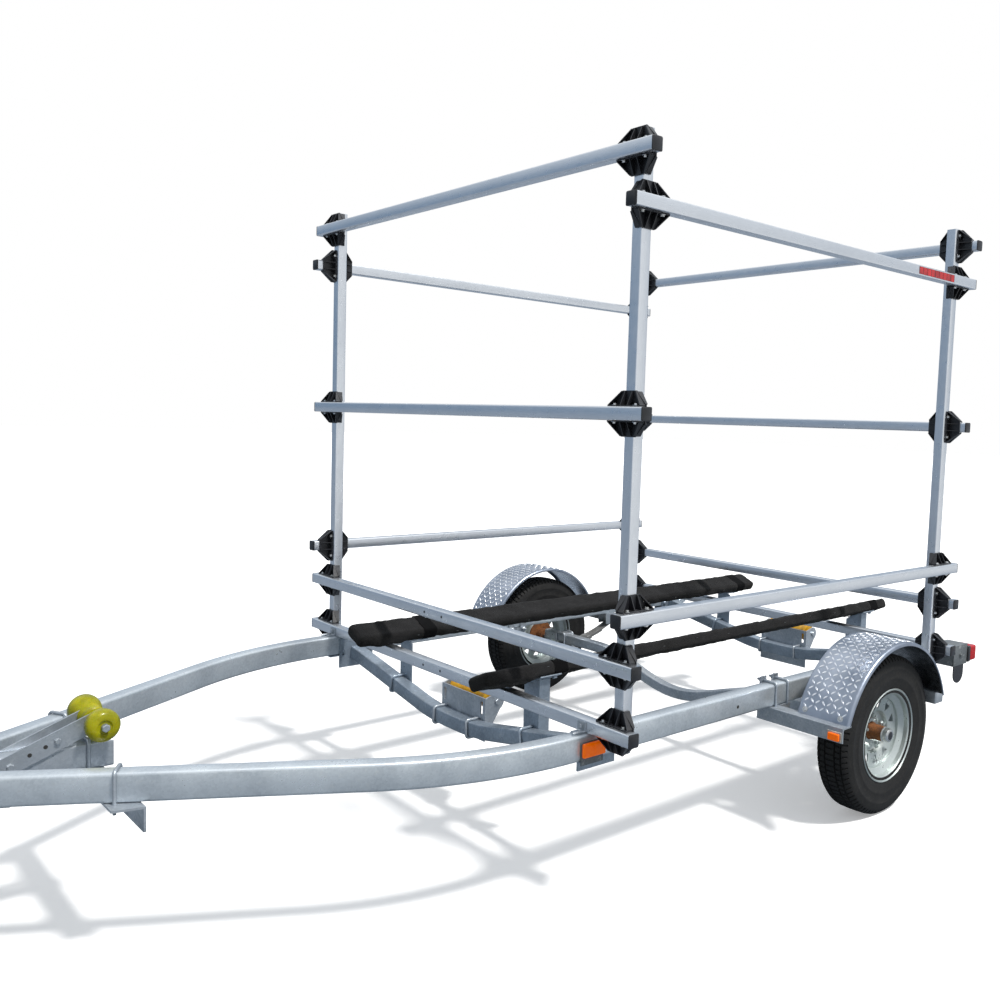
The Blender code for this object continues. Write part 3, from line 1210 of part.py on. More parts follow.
def make_tail_lamp(name, side):
    """Box bracket on the rail's outer face with its lamp behind and a round shield below."""
    y_in = -RAIL_OUTER_Y - GAP
    y_out = y_in - TAIL_BOX_DEPTH
    top = RAIL_TOP_Z
    low = top - TAIL_BOX_HEIGHT
    x_end = TAIL_FRONT_X + TAIL_BOX_LENGTH
    shell = box((TAIL_FRONT_X, y_out, low), (x_end, y_in, top))
    hollow = box((TAIL_FRONT_X + TAIL_WALL, y_out + TAIL_WALL, low - 0.01), (x_end - TAIL_WALL, y_in - TAIL_WALL, top - TAIL_WALL))
    shell = cut(shell, hollow)
    middle = (low + top) / 2 - 0.004
    housing = box((x_end - BITE, y_out - 0.006, middle - 0.034), (x_end + TAIL_HOUSING_LENGTH, y_in - 0.012, middle + 0.034))
    lens = box((x_end + TAIL_HOUSING_LENGTH - BITE, y_out - 0.004, middle - 0.032),
               (x_end + TAIL_HOUSING_LENGTH + TAIL_LENS_LENGTH, y_in - 0.014, middle + 0.032))
    shield_half = TAIL_BOX_LENGTH * 0.36
    outline = [(-shield_half, 0.010), (-shield_half, -TAIL_SHIELD_DROP + shield_half)]
    for step in range(1, 10):
        angle = math.radians(180 + 180 * step / 10)
        outline.append((shield_half * math.cos(angle), -TAIL_SHIELD_DROP + shield_half + shield_half * math.sin(angle)))
    outline += [(shield_half, -TAIL_SHIELD_DROP + shield_half), (shield_half, 0.010)]
    shield = moved(plate(outline, 0.004), ((TAIL_FRONT_X + x_end) / 2 - 0.010, y_out + TAIL_WALL / 2 + 0.0004, low),
                   about("X", 90))
    bolt = moved(hex_nut(0.014, 0.006), ((TAIL_FRONT_X + x_end) / 2, y_out + BITE, (low + top) / 2), about("X", 90))
    part(f"tail_lamp_{name}", mirrored(combine(shell, [housing, lens, shield, bolt]), side), BLACK_PLASTIC)


# Coupler and its latch

def make_coupler():
    """Pressed coupler over the tongue's end, with a ball socket that opens downwards."""
    wall = COUPLER_WALL
    half = BOX_WIDTH / 2 + GAP
    top = RAIL_TOP_Z + GAP
    low = top - COUPLER_SIDE_DROP
    neck_x = TONGUE_FRONT_X - 0.012
    outer = box((neck_x, -half - wall, low), (COUPLER_REAR_X, half + wall, top + wall))
    inner = box((neck_x + wall, -half, low - 0.02), (COUPLER_REAR_X + 0.02, half, top))
    socket = BALL_RADIUS + SOCKET_CLEARANCE
    shell_radius = BALL_X - COUPLER_FRONT_X
    dome = sphere(shell_radius, (BALL_X, 0, BALL_Z), 16)
    skirt = moved(cylinder(shell_radius, 0.018, 16), (BALL_X, 0, BALL_Z - 0.018))
    neck = box((BALL_X, -half + 0.002, BALL_Z - 0.010), (neck_x + wall - BITE, half - 0.002, top + wall - 0.002))
    body = combine(outer, [dome, skirt, neck])
    ball_space = sphere(socket, (BALL_X, 0, BALL_Z), 16)
    mouth = moved(cylinder(socket, 0.04, 16), (BALL_X, 0, BALL_Z - 0.04))
    body = cut(body, inner, ball_space, mouth)
    ears = []
    ear_z = top + wall + 0.012
    for way in (-1, 1):
        span = sorted((way * (LATCH_WIDTH / 2 + RUNNING_GAP), way * (LATCH_WIDTH / 2 + RUNNING_GAP + 0.004)))
        ears.append(box((LATCH_PIVOT_X - 0.011, span[0], top + wall - 0.006), (LATCH_PIVOT_X + 0.011, span[1], ear_z + 0.009)))
    pin = moved(cylinder(LATCH_PIN_RADIUS, LATCH_WIDTH + 0.009, 12), (LATCH_PIVOT_X, -LATCH_WIDTH / 2 - 0.0045, ear_z), about("X", -90))
    bolts = []
    for x in (COUPLER_REAR_X - 0.030, COUPLER_REAR_X - 0.095):
        for way in (-1, 1):
            bolts.append(moved(hex_nut(0.019, 0.008), (x, way * (half + wall - BITE), RAIL_CENTRE_Z), about("X", -90 * way)))
    part("coupler_body", combine(body, ears + [pin] + bolts), ZINC_PLATE)

    pivot = (LATCH_PIVOT_X, 0, ear_z)
    outline = [(-0.009, -0.006)]
    for step in range(7):
        angle = math.radians(200 - 110 * step / 6)
        outline.append((0.010 * math.cos(angle), 0.010 * math.sin(angle)))
    outline += [(LATCH_LENGTH * 0.45, 0.012), (LATCH_LENGTH * 0.8, 0.020), (LATCH_LENGTH, 0.026), (LATCH_LENGTH, 0.020),
                (LATCH_LENGTH * 0.78, 0.010), (LATCH_LENGTH * 0.4, -0.004), (0.0, -0.010)]
    lever = moved(plate(outline, LATCH_WIDTH), pivot, about("X", 90))
    hole = moved(cylinder(LATCH_PIN_RADIUS + GAP, LATCH_WIDTH * 1.4, 16), (pivot[0], -LATCH_WIDTH * 0.7, pivot[2]), about("X", -90))
    part("coupler_latch", cut(lever, hole), ZINC_PLATE, pivot)


# Swivel jack

def make_jack():
    """Outer tube on its swivel, sliding leg, side crank, caster fork and wheel."""
    flange_y = -BOX_WIDTH / 2 - JACK_PLATE - JACK_SWIVEL_LENGTH - GAP
    centre_y = flange_y - JACK_PLATE - JACK_TUBE_RADIUS - 0.004
    swivel = (JACK_X, flange_y, RAIL_CENTRE_Z)
    tube = moved(cylinder(JACK_TUBE_RADIUS, JACK_TOP_Z - JACK_BOTTOM_Z, 20), (JACK_X, centre_y, JACK_BOTTOM_Z))
    bore_top = JACK_TOP_Z - 0.018
    bore = moved(cylinder(JACK_LEG_RADIUS + GAP, bore_top - JACK_BOTTOM_Z + 0.02, 20), (JACK_X, centre_y, JACK_BOTTOM_Z - 0.02))
    disc = moved(cylinder(JACK_FLANGE_RADIUS, JACK_PLATE, 20), swivel, about("X", 90))
    saddle = box((JACK_X - 0.020, centre_y, RAIL_CENTRE_Z - 0.030), (JACK_X + 0.020, flange_y - JACK_PLATE + BITE, RAIL_CENTRE_Z + 0.030))
    crank_z = JACK_TOP_Z - CRANK_BELOW_TOP
    boss_y = centre_y - JACK_TUBE_RADIUS - 0.010
    boss = moved(cylinder(0.016, 0.016, 20), (JACK_X, boss_y + 0.016, crank_z), about("X", 90))
    cap = moved(cylinder(JACK_TUBE_RADIUS + 0.003, 0.012, 20, JACK_TUBE_RADIUS - 0.004), (JACK_X, centre_y, JACK_TOP_Z - BITE))
    gearbox = moved(cylinder(JACK_TUBE_RADIUS + 0.003, 0.050, 20), (JACK_X, centre_y, JACK_TOP_Z - 0.050))
    outer = cut(combine(tube, [disc, saddle, gearbox, cap, boss]), bore)
    part("jack_tube", outer, ZINC_PLATE, swivel)

    leg_top = bore_top - JACK_TRAVEL - 0.004
    leg_foot = JACK_BOTTOM_Z - JACK_TRAVEL - 0.006
    leg = moved(cylinder(JACK_LEG_RADIUS, leg_top - leg_foot, 20), (JACK_X, centre_y, leg_foot))
    foot = moved(cylinder(JACK_LEG_RADIUS + 0.003, 0.005, 20), (JACK_X, centre_y, leg_foot - 0.005 + BITE))
    king = moved(cylinder(0.008, 0.014, 16), (JACK_X, centre_y, leg_foot - 0.016))
    part("jack_leg", combine(leg, [foot, king]), ZINC_PLATE, (JACK_X, centre_y, leg_foot))

    crank_at = (JACK_X, boss_y - GAP, crank_z)
    hub = moved(cylinder(0.013, 0.014, 20), crank_at, about("X", 90))
    arm = box((JACK_X - 0.010, boss_y - 0.011, crank_z - CRANK_ARM), (JACK_X + 0.010, boss_y - 0.005, crank_z), 0.002)
    knob = [(0, 0), (0.009, 0), (0.012, 0.006), (0.011, 0.030), (0.013, CRANK_KNOB_LENGTH - 0.010),
            (0.009, CRANK_KNOB_LENGTH), (0, CRANK_KNOB_LENGTH)]
    grip = moved(turned(knob, 16, False), (JACK_X, boss_y - 0.010, crank_z - CRANK_ARM + 0.010), about("X", 90))
    part("jack_crank", combine(hub, [arm, grip]), ZINC_PLATE, crank_at)

    fork_top = leg_foot - 0.005 - GAP
    wheel_x = JACK_X + CASTER_TRAIL
    half = CASTER_WIDTH / 2 + 0.003
    crown = box((JACK_X - 0.022, centre_y - half - CASTER_FORK_WALL, fork_top - CASTER_FORK_WALL),
                (JACK_X + 0.030, centre_y + half + CASTER_FORK_WALL, fork_top))
    hole = moved(cylinder(0.008 + RUNNING_GAP, 0.03, 16), (JACK_X, centre_y, fork_top - 0.02))
    cheeks = []
    for way in (-1, 1):
        outline = [(-0.020, fork_top), (0.030, fork_top), (CASTER_TRAIL + 0.016, CASTER_RADIUS), (CASTER_TRAIL, CASTER_RADIUS - 0.016),
                   (CASTER_TRAIL - 0.016, CASTER_RADIUS)]
        cheek = plate(outline, CASTER_FORK_WALL)
        cheeks.append(moved(cheek, (JACK_X, centre_y + way * (half + CASTER_FORK_WALL / 2), 0), about("X", 90)))
        head = moved(hex_nut(), (wheel_x, centre_y + way * (half + CASTER_FORK_WALL - BITE), CASTER_RADIUS), about("X", -90 * way))
        cheeks.append(head)
    pin = moved(cylinder(CASTER_PIN_RADIUS, 2 * half + CASTER_FORK_WALL, 16),
                (wheel_x, centre_y - half - CASTER_FORK_WALL / 2, CASTER_RADIUS), about("X", -90))
    part("caster_fork", combine(cut(crown, hole), cheeks + [pin], solver="MANIFOLD"), ZINC_PLATE, (JACK_X, centre_y, fork_top))

    bore_radius = CASTER_PIN_RADIUS + RUNNING_GAP
    width = CASTER_WIDTH / 2
    tread = [(bore_radius, -width), (0.018, -width), (0.020, -width + 0.008), (0.052, -width + 0.008),
             (0.056, -width), (CASTER_RADIUS - 0.004, -width), (CASTER_RADIUS, -width + 0.006)]
    profile = tread + [(radius, -offset) for radius, offset in reversed(tread)]
    wheel_at = (wheel_x, centre_y, CASTER_RADIUS)
    part("caster_wheel", moved(turned(profile, 20), wheel_at, about("X", 90)), BLACK_PLASTIC, wheel_at)


make_posts(cross_bracket())
make_bars()
make_rails()
make_tongue()
make_gusset()
make_crosspiece()
make_cross_member("cross_member_front", FRONT_MEMBER_X, True)
make_cross_member("cross_member_rear", REAR_MEMBER_X, False)
for end_name, member_x in (("front", FRONT_MEMBER_X), ("rear", REAR_MEMBER_X)):
    for side_name, side_way in SIDES.items():
        make_bunk_upright(f"bunk_upright_{end_name}_{side_name}", member_x, side_way)
make_bunks()
make_keel_roller("front", FRONT_MEMBER_X, 0.0)
make_keel_roller("rear", REAR_MEMBER_X, 0.025)
make_bow_roller()
make_axle()
make_springs()
for side_name, side_way in SIDES.items():
    make_wheel(side_name, side_way)
    make_fender(side_name, side_way)
    make_fender_mount(side_name, side_way)
    make_tail_lamp(side_name, side_way)
make_coupler()
make_jack()
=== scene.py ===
"""Looks of a road trailer for small sailing boats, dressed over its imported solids.

Metres, +Z up, in the frame of the solids: the coupler points along -X and the near side is -Y.
"""

import math

import bmesh
import bpy
from mathutils import Matrix, Vector, noise


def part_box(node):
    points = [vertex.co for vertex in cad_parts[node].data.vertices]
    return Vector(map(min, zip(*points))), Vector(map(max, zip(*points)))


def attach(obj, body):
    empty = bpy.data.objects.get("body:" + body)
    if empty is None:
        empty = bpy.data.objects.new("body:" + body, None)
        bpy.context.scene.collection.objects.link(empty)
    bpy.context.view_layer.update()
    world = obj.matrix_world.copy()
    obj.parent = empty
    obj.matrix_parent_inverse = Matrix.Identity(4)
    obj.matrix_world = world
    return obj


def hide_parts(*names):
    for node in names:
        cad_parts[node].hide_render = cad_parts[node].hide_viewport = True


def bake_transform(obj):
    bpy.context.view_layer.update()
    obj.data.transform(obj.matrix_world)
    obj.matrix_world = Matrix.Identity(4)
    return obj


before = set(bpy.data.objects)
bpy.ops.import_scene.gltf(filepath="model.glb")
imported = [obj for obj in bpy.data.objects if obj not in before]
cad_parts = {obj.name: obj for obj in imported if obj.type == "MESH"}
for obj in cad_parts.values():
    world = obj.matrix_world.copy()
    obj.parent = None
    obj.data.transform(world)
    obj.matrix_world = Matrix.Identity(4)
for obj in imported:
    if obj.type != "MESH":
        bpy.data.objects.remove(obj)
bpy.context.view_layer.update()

# Camera
# It stands off the near front corner of the tongue, 1.36 m above the ground, and looks across the
# rack towards the far rear wheel, tipped slightly clockwise.
CAMERA_PLACE = Vector((-1.906, -2.669, 1.357))
CAMERA_AZIMUTH = math.radians(41.58)
CAMERA_ELEVATION = math.radians(-4.49)
CAMERA_ROLL = math.radians(1.87)
FOCAL_PIXELS = 955
IMAGE_PIXELS = 1000
AXIS_PIXEL = (557, 496)

forward = Vector((math.sin(CAMERA_AZIMUTH) * math.cos(CAMERA_ELEVATION),
                  math.cos(CAMERA_AZIMUTH) * math.cos(CAMERA_ELEVATION), math.sin(CAMERA_ELEVATION)))
level_right = forward.cross(Vector((0, 0, 1))).normalized()
level_up = level_right.cross(forward)
camera_right = level_right * math.cos(CAMERA_ROLL) + level_up * math.sin(CAMERA_ROLL)
camera_up = level_up * math.cos(CAMERA_ROLL) - level_right * math.sin(CAMERA_ROLL)
lens = bpy.data.cameras.new("camera")
lens.sensor_width = 36
lens.lens = lens.sensor_width * FOCAL_PIXELS / IMAGE_PIXELS
lens.shift_x = 0.5 - AXIS_PIXEL[0] / IMAGE_PIXELS
lens.shift_y = AXIS_PIXEL[1] / IMAGE_PIXELS - 0.5
lens.clip_end = 200
camera = bpy.data.objects.new("camera", lens)
camera.matrix_world = (Matrix.Translation(CAMERA_PLACE)
                       @ Matrix((camera_right, camera_up, -forward)).transposed().to_4x4())
bpy.context.scene.collection.objects.link(camera)
bpy.context.scene.camera = camera
bpy.context.scene.view_settings.view_transform = "Standard"


# Floor, sky and sun
# A white floor and backdrop for the camera. What the metal mirrors is duller: grey ground, a blue
# horizon that is lighter towards the near side, and a pale sky overhead, with one soft sun.
SKY_LIGHT = 0.52
HORIZON_AWAY = (0.20, 0.29, 0.41)
HORIZON_NEAR = (0.80, 0.83, 0.86)
SKY_ABOVE = (0.90, 0.95, 1.0)
WHITE = (1.0, 1.0, 1.0)
SUN_WAY = Vector((0.14, -0.46, 0.88))
SUN_POWER = 3.5
SUN_COLOUR = (1.0, 0.975, 0.94)
SUN_WIDTH = math.radians(7)
FLOOR_SIZE = 60
FLOOR_SEEN = (0.93, 0.93, 0.93)
GROUND_AWAY = (0.235, 0.275, 0.33)
GROUND_NEAR = (0.60, 0.62, 0.64)
FLOOR_BOUNCE = (0.20, 0.21, 0.19)
FLOOR_LIFT = 0.30


def node(tree, kind, settings=(), sockets=()):
    """Add a shader node, with its settings, and each socket set to a value or fed by another node."""
    made = tree.nodes.new(kind)
    for name, value in dict(settings).items():
        setattr(made, name, value)
    for name, value in dict(sockets).items():
        if isinstance(value, bpy.types.NodeSocket):
            tree.links.new(value, made.inputs[name])
        else:
            made.inputs[name].default_value = value
    return made


def math_node(tree, operation, first, second=0.0, clamp=False):
    """The result of a sum on one or two values."""
    return node(tree, "ShaderNodeMath", {"operation": operation, "use_clamp": clamp},
                {0: first, 1: second}).outputs[0]


def mix_colours(tree, share, *pair):
    """A colour between two, by a share from 0 to 1. Each is a socket, or its red, green and blue."""
    first, second = ((*colour, 1) if isinstance(colour, tuple) else colour for colour in pair)
    return node(tree, "ShaderNodeMix", {"data_type": "RGBA"}, {0: share, 6: first, 7: second}).outputs[2]


def ranged(tree, value, low, high, to_low=0.0, to_high=1.0):
    """A value stretched from one range to another, and held to its ends."""
    return node(tree, "ShaderNodeMapRange", {}, {"Value": value, "From Min": low, "From Max": high,
                                                 "To Min": to_low, "To Max": to_high}).outputs[0]


def parted(tree, vector, axis):
    """One part of a vector."""
    return node(tree, "ShaderNodeSeparateXYZ", {}, {0: vector}).outputs[axis]


def object_place(tree):
    """The place on the piece, in the piece's own space."""
    return node(tree, "ShaderNodeTexCoord").outputs["Object"]


sky = bpy.data.worlds.new("sky")
sky.use_nodes = True
sky_tree = sky.node_tree
sky_tree.nodes.clear()
direction = node(sky_tree, "ShaderNodeTexCoord").outputs["Generated"]
horizon = mix_colours(sky_tree, ranged(sky_tree, parted(sky_tree, direction, "Y"), 0.15, -0.75),
                      HORIZON_AWAY, HORIZON_NEAR)
sky_colour = mix_colours(sky_tree, ranged(sky_tree, parted(sky_tree, direction, "Z"), 0.12, 0.62),
                         horizon, SKY_ABOVE)
ray = node(sky_tree, "ShaderNodeLightPath").outputs
backdrop = mix_colours(sky_tree, ray["Is Camera Ray"], sky_colour, WHITE)
mirrored = math_node(sky_tree, "MAXIMUM", ray["Is Camera Ray"],
                     math_node(sky_tree, "MAXIMUM", ray["Is Glossy Ray"], ray["Is Transmission Ray"]))
glow = node(sky_tree, "ShaderNodeBackground", {},
            {"Color": backdrop, "Strength": ranged(sky_tree, mirrored, 0, 1, SKY_LIGHT, 1.0)})
node(sky_tree, "ShaderNodeOutputWorld", {}, {"Surface": glow.outputs[0]})
bpy.context.scene.world = sky

sun_lamp = bpy.data.lights.new("sun", "SUN")
sun_lamp.energy = SUN_POWER
sun_lamp.angle = SUN_WIDTH
sun_lamp.color = SUN_COLOUR
sun = bpy.data.objects.new("sun", sun_lamp)
sun.rotation_euler = SUN_WAY.to_track_quat("Z", "Y").to_euler()
bpy.context.scene.collection.objects.link(sun)

ground = bmesh.new()
bmesh.ops.create_grid(ground, x_segments=1, y_segments=1, size=FLOOR_SIZE)
floor_mesh = bpy.data.meshes.new("floor")
ground.to_mesh(floor_mesh)
ground.free()
floor_finish = bpy.data.materials.new("floor")
floor_finish.use_nodes = True
floor_tree = floor_finish.node_tree
floor_tree.nodes.clear()
floor_ray = node(floor_tree, "ShaderNodeLightPath").outputs
camera_sees = floor_ray["Is Camera Ray"]
across_floor = parted(floor_tree, object_place(floor_tree), "Y")
mirrored_ground = mix_colours(floor_tree, ranged(floor_tree, across_floor, -1.6, -3.4), GROUND_AWAY,
                              GROUND_NEAR)
unseen = mix_colours(floor_tree, floor_ray["Is Glossy Ray"], FLOOR_BOUNCE, mirrored_ground)
matt = node(floor_tree, "ShaderNodeBsdfDiffuse", {},
            {"Color": mix_colours(floor_tree, camera_sees, unseen, FLOOR_SEEN)})
lift = node(floor_tree, "ShaderNodeEmission", {},
            {"Color": (*WHITE, 1), "Strength": math_node(floor_tree, "MULTIPLY", camera_sees, FLOOR_LIFT)})
both = node(floor_tree, "ShaderNodeAddShader", {}, {0: matt.outputs[0], 1: lift.outputs[0]})
node(floor_tree, "ShaderNodeOutputMaterial", {}, {"Surface": both.outputs[0]})
floor_mesh.materials.append(floor_finish)
floor = bpy.data.objects.new("floor", floor_mesh)
bpy.context.scene.collection.objects.link(floor)


# Rack tubes
# Square aluminium tube, extruded and left bare. It has fine lines along its length, a satin
# shine, a few dull blotches and round corners. The posts' bores lie behind thin end faces.
RACK_TUBE = 0.0381
RACK_CORNER = 0.0045
RACK_WALL = 0.0030
POST_BORE_ABOVE, POST_BORE_BELOW = 0.25, 0.10
ROOT = "trailer_frame"
SIDES = {"near": -1, "far": 1}
HEADINGS = {"x": Vector((1, 0, 0)), "y": Vector((0, 1, 0))}
CROSS_LEVELS = ("lowest", "lower", "middle", "top")
SIDE_LEVELS = ("low", "top")
POSTS = [(end, side) for end in ("front", "rear") for side in SIDES]


def group(name, inputs, outputs, fill):
    """A shader node group: inputs with their defaults, outputs, and a function that fills it."""
    tree = bpy.data.node_groups.new(name, "ShaderNodeTree")
    for label, value in inputs.items():
        kind = "NodeSocketVector" if isinstance(value, tuple) else "NodeSocketFloat"
        tree.interface.new_socket(label, in_out="INPUT", socket_type=kind).default_value = value
    for label in outputs:
        tree.interface.new_socket(label, in_out="OUTPUT", socket_type="NodeSocketFloat")
    entry = tree.nodes.new("NodeGroupInput").outputs
    leave = tree.nodes.new("NodeGroupOutput")
    for label, socket in zip(outputs, fill(tree, entry)):
        tree.links.new(socket, leave.inputs[label])
    return tree


def pattern(tree, kind, place, output, **sockets):
    """The output of a noise or cell texture at a place."""
    return node(tree, f"ShaderNodeTex{kind}", {}, {"Vector": place, **sockets}).outputs[output]


def drawn_out(tree, place, stretch):
    """A place, stretched so that a pattern runs along an axis."""
    return node(tree, "ShaderNodeVectorMath", {"operation": "MULTIPLY"}, {0: place, 1: stretch}).outputs[0]


def fill_stretched_noise(tree, entry):
    """Noise that may be drawn out along an axis: a coarse one and a fine one."""
    drawn = drawn_out(tree, object_place(tree), entry["Stretch"])
    finer = math_node(tree, "MULTIPLY", entry["Scale"], 9.0)
    return (pattern(tree, "Noise", drawn, "Fac", Scale=entry["Scale"], Detail=3.0),
            pattern(tree, "Noise", drawn, "Fac", Scale=finer, Detail=2.0))


STRETCHED_NOISE = group("stretched_noise", {"Scale": 20.0, "Stretch": (1.0, 1.0, 1.0)}, ("Coarse", "Fine"),
                        fill_stretched_noise)


def fill_settled_dust(tree, entry):
    """Dust: most on faces that look up, least below, broken up by noise."""
    up = parted(tree, node(tree, "ShaderNodeNewGeometry").outputs["Normal"], "Z")
    patches = pattern(tree, "Noise", object_place(tree), "Fac", Scale=entry["Scale"], Detail=6.0,
                      Roughness=0.65)
    lying = ranged(tree, up, -0.4, 1.0, 0.1, 0.75)
    return (math_node(tree, "MULTIPLY", lying, ranged(tree, patches, 0.42, 0.72), True),)


SETTLED_DUST = group("settled_dust", {"Scale": 12.0}, ("Mask",), fill_settled_dust)


def new_finish(name, roughness, metallic=0.0, **fixed):
    """A material with its plain sockets set, and its node tree."""
    made = bpy.data.materials.new(name)
    made.use_nodes = True
    sockets = made.node_tree.nodes["Principled BSDF"].inputs
    for label, value in {"Roughness": roughness, "Metallic": metallic, **fixed}.items():
        sockets[label.replace("_", " ")].default_value = value
    return made, made.node_tree


def complete(finish, height=None, strength=0.0, distance=0.001, **fed):
    """Feed a material's sockets, raise its surface by a height, and return it."""
    tree = finish.node_tree
    sockets = tree.nodes["Principled BSDF"].inputs
    for label, source in fed.items():
        tree.links.new(source, sockets[label.replace("_", " ")])
    if height is not None:
        bump = node(tree, "ShaderNodeBump", {},
                    {"Height": height, "Strength": strength, "Distance": distance})
        tree.links.new(bump.outputs[0], sockets["Normal"])
    return finish


def use_group(tree, shared, **values):
    """Place a shared group in a material, with its own values."""
    made = node(tree, "ShaderNodeGroup", {"node_tree": shared})
    for label, value in values.items():
        made.inputs[label].default_value = value
    return made.outputs


def dusted(tree, colour, scale, share, dust_colour):
    """A colour with a share of settled dust over it, and the dust's mask."""
    mask = use_group(tree, SETTLED_DUST, Scale=scale)["Mask"]
    return mix_colours(tree, math_node(tree, "MULTIPLY", mask, share), colour, dust_colour), mask


def aluminium_finish(name, stretch):
    """Bare extruded aluminium with its die lines along one axis."""
    made, tree = new_finish(name, 0.3, 1.0)
    lines = use_group(tree, STRETCHED_NOISE, Scale=9.0, Stretch=stretch)
    clouds = use_group(tree, STRETCHED_NOISE, Scale=5.0)
    bare = mix_colours(tree, ranged(tree, lines["Fine"], 0.35, 0.65), (0.70, 0.72, 0.75), (0.78, 0.80, 0.83))
    blotches = ranged(tree, clouds["Coarse"], 0.45, 0.75, 0.0, 0.5)
    dusty, dust = dusted(tree, mix_colours(tree, blotches, bare, (0.64, 0.665, 0.70)), 14.0, 0.12,
                         (0.36, 0.35, 0.33))
    rough = math_node(tree, "ADD", ranged(tree, clouds["Fine"], 0.3, 0.7, 0.26, 0.34),
                      math_node(tree, "MULTIPLY", dust, 0.10))
    return complete(made, lines["Fine"], 0.05, Base_Color=dusty, Roughness=rough)


TUBE_FINISHES = {axis: aluminium_finish(f"aluminium_along_{axis}", stretch) for axis, stretch in
                 {"x": (0.4, 14.0, 14.0), "y": (14.0, 0.4, 14.0), "z": (14.0, 14.0, 0.4)}.items()}


def heading_frame(place, way, up=Vector((0, 0, 1))):
    """A frame at a place whose Z runs along a heading, and whose Y is as near up as it can be."""
    z = Vector(way).normalized()
    if abs(z.dot(up)) > 0.99:
        up = Vector((1, 0, 0))
    x = up.cross(z).normalized()
    return Matrix.Translation(place) @ Matrix((x, z.cross(x), z)).transposed().to_4x4()


def box_section(width, height, corner, rounding=3):
    """A function that lays a rectangle with round corners across a heading."""
    def lay(shape, place):
        verts = bmesh.ops.create_grid(shape, x_segments=1, y_segments=1, size=0.5)["verts"]
        bmesh.ops.transform(shape, matrix=place @ Matrix.Diagonal((width, height, 1, 1)), verts=verts)
        corners = bmesh.ops.bevel(shape, geom=verts, offset=corner, offset_type="OFFSET", segments=rounding,
                                  profile=0.5, affect="VERTICES", material=-1)
        return max(corners["verts"][0].link_faces, key=lambda face: face.calc_area())
    return lay


def extruded(shape, face, run, shut=False):
    """Extrude a face along a vector, and return the new end's vertices and face.

    The old face stays if nothing joins it, or if it is to shut the new length off.
    """
    moved = bmesh.ops.extrude_face_region(shape, geom=[face] if shut else [face, *face.edges])["geom"]
    verts = [part for part in moved if isinstance(part, bmesh.types.BMVert)]
    bmesh.ops.translate(shape, vec=run, verts=verts)
    return verts, next(part for part in moved if isinstance(part, bmesh.types.BMFace))


def feed(shape, section, place, way, moves, up=Vector((0, 0, 1))):
    """Carry a section along runs and bends, as tube goes through a bender, and return both end faces.

    A move is a length to run, or a bend as (angle, radius, axis, steps).
    """
    place, way = Vector(place), Vector(way).normalized()
    start = face = section(shape, heading_frame(place, way, up))
    for move in moves:
        if isinstance(move, (int, float)):
            _, face = extruded(shape, face, way * move)
            place = place + way * move
            continue
        angle, radius, axis, steps = move
        axis = Vector(axis)
        centre = place + axis.cross(way).normalized() * radius
        last = bmesh.ops.spin(shape, geom=[face, *face.edges], cent=centre, axis=axis, angle=angle,
                              steps=steps, use_duplicate=False)["geom_last"]
        face = next(part for part in last if isinstance(part, bmesh.types.BMFace))
        turn = Matrix.Rotation(angle, 3, axis)
        place = centre + turn @ (place - centre)
        way = turn @ way
    return start, face


def hollow(shape, face, wall, depth):
    """Sink a tube's bore behind its end face, which stays as a thin cover."""
    shape.normal_update()
    inward = -face.normal.copy()
    bmesh.ops.inset_region(shape, faces=[face], thickness=wall, use_even_offset=True)
    extruded(shape, face, inward * depth, True)


def solid_object(shape, name):
    """An object in the scene from a shape, with its normals outward."""
    bmesh.ops.recalc_face_normals(shape, faces=shape.faces)
    mesh = bpy.data.meshes.new(name)
    shape.to_mesh(mesh)
    shape.free()
    made = bpy.data.objects.new(name, mesh)
    bpy.context.scene.collection.objects.link(made)
    return made


def finished(shape, name, body, finish, stands_for=(), sharp=32):
    """Turn a shape into a piece that rides on a body, wears a finish and stands for some solids."""
    piece = solid_object(shape, name)
    piece.data.materials.append(finish)
    piece.data.shade_smooth()
    piece.data.set_sharp_from_angle(angle=math.radians(sharp))
    if body:
        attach(piece, body)
    if stands_for:
        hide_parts(*stands_for)
    return piece


bars = {f"cross_bar_{end}_{level}": "y" for end in ("front", "rear") for level in CROSS_LEVELS}
bars.update({f"side_bar_{side}_{level}": "x" for side in SIDES for level in SIDE_LEVELS})


def bar_run(bar):
    """A bar's middle, heading and length."""
    low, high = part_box(bar)
    along = HEADINGS[bars[bar]]
    return (low + high) / 2, along, (high - low).dot(along)


tube_section = box_section(RACK_TUBE, RACK_TUBE, RACK_CORNER)
for bar, axis in bars.items():
    middle, along, length = bar_run(bar)
    tube = bmesh.new()
    feed(tube, tube_section, middle - along * length / 2, along, [length])
    finished(tube, bar + "_tube", ROOT, TUBE_FINISHES[axis], [bar])

for end, side in POSTS:
    post = f"post_{end}_{side}"
    low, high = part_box(post)
    tube = bmesh.new()
    foot, top = feed(tube, tube_section, ((low.x + high.x) / 2, (low.y + high.y) / 2, low.z), (0, 0, 1),
                     [high.z - low.z])
    hollow(tube, top, RACK_WALL, POST_BORE_ABOVE)
    hollow(tube, foot, RACK_WALL, POST_BORE_BELOW)
    finished(tube, post + "_tube", ROOT, TUBE_FINISHES["z"], [post])


# End caps
# Black plastic plugs pressed into the open ends of the twelve bars: a square rim as wide as the
# tube, with a slightly domed face.
CAP_RIM = 0.0045
CAP_DOME = 0.0016
CAP_FACE = 0.88
CAP_PROUD = 0.0003
CAP_GAP = 0.0002


def scaled(colour, factor):
    """A colour made lighter or darker."""
    return tuple(part * factor for part in colour)


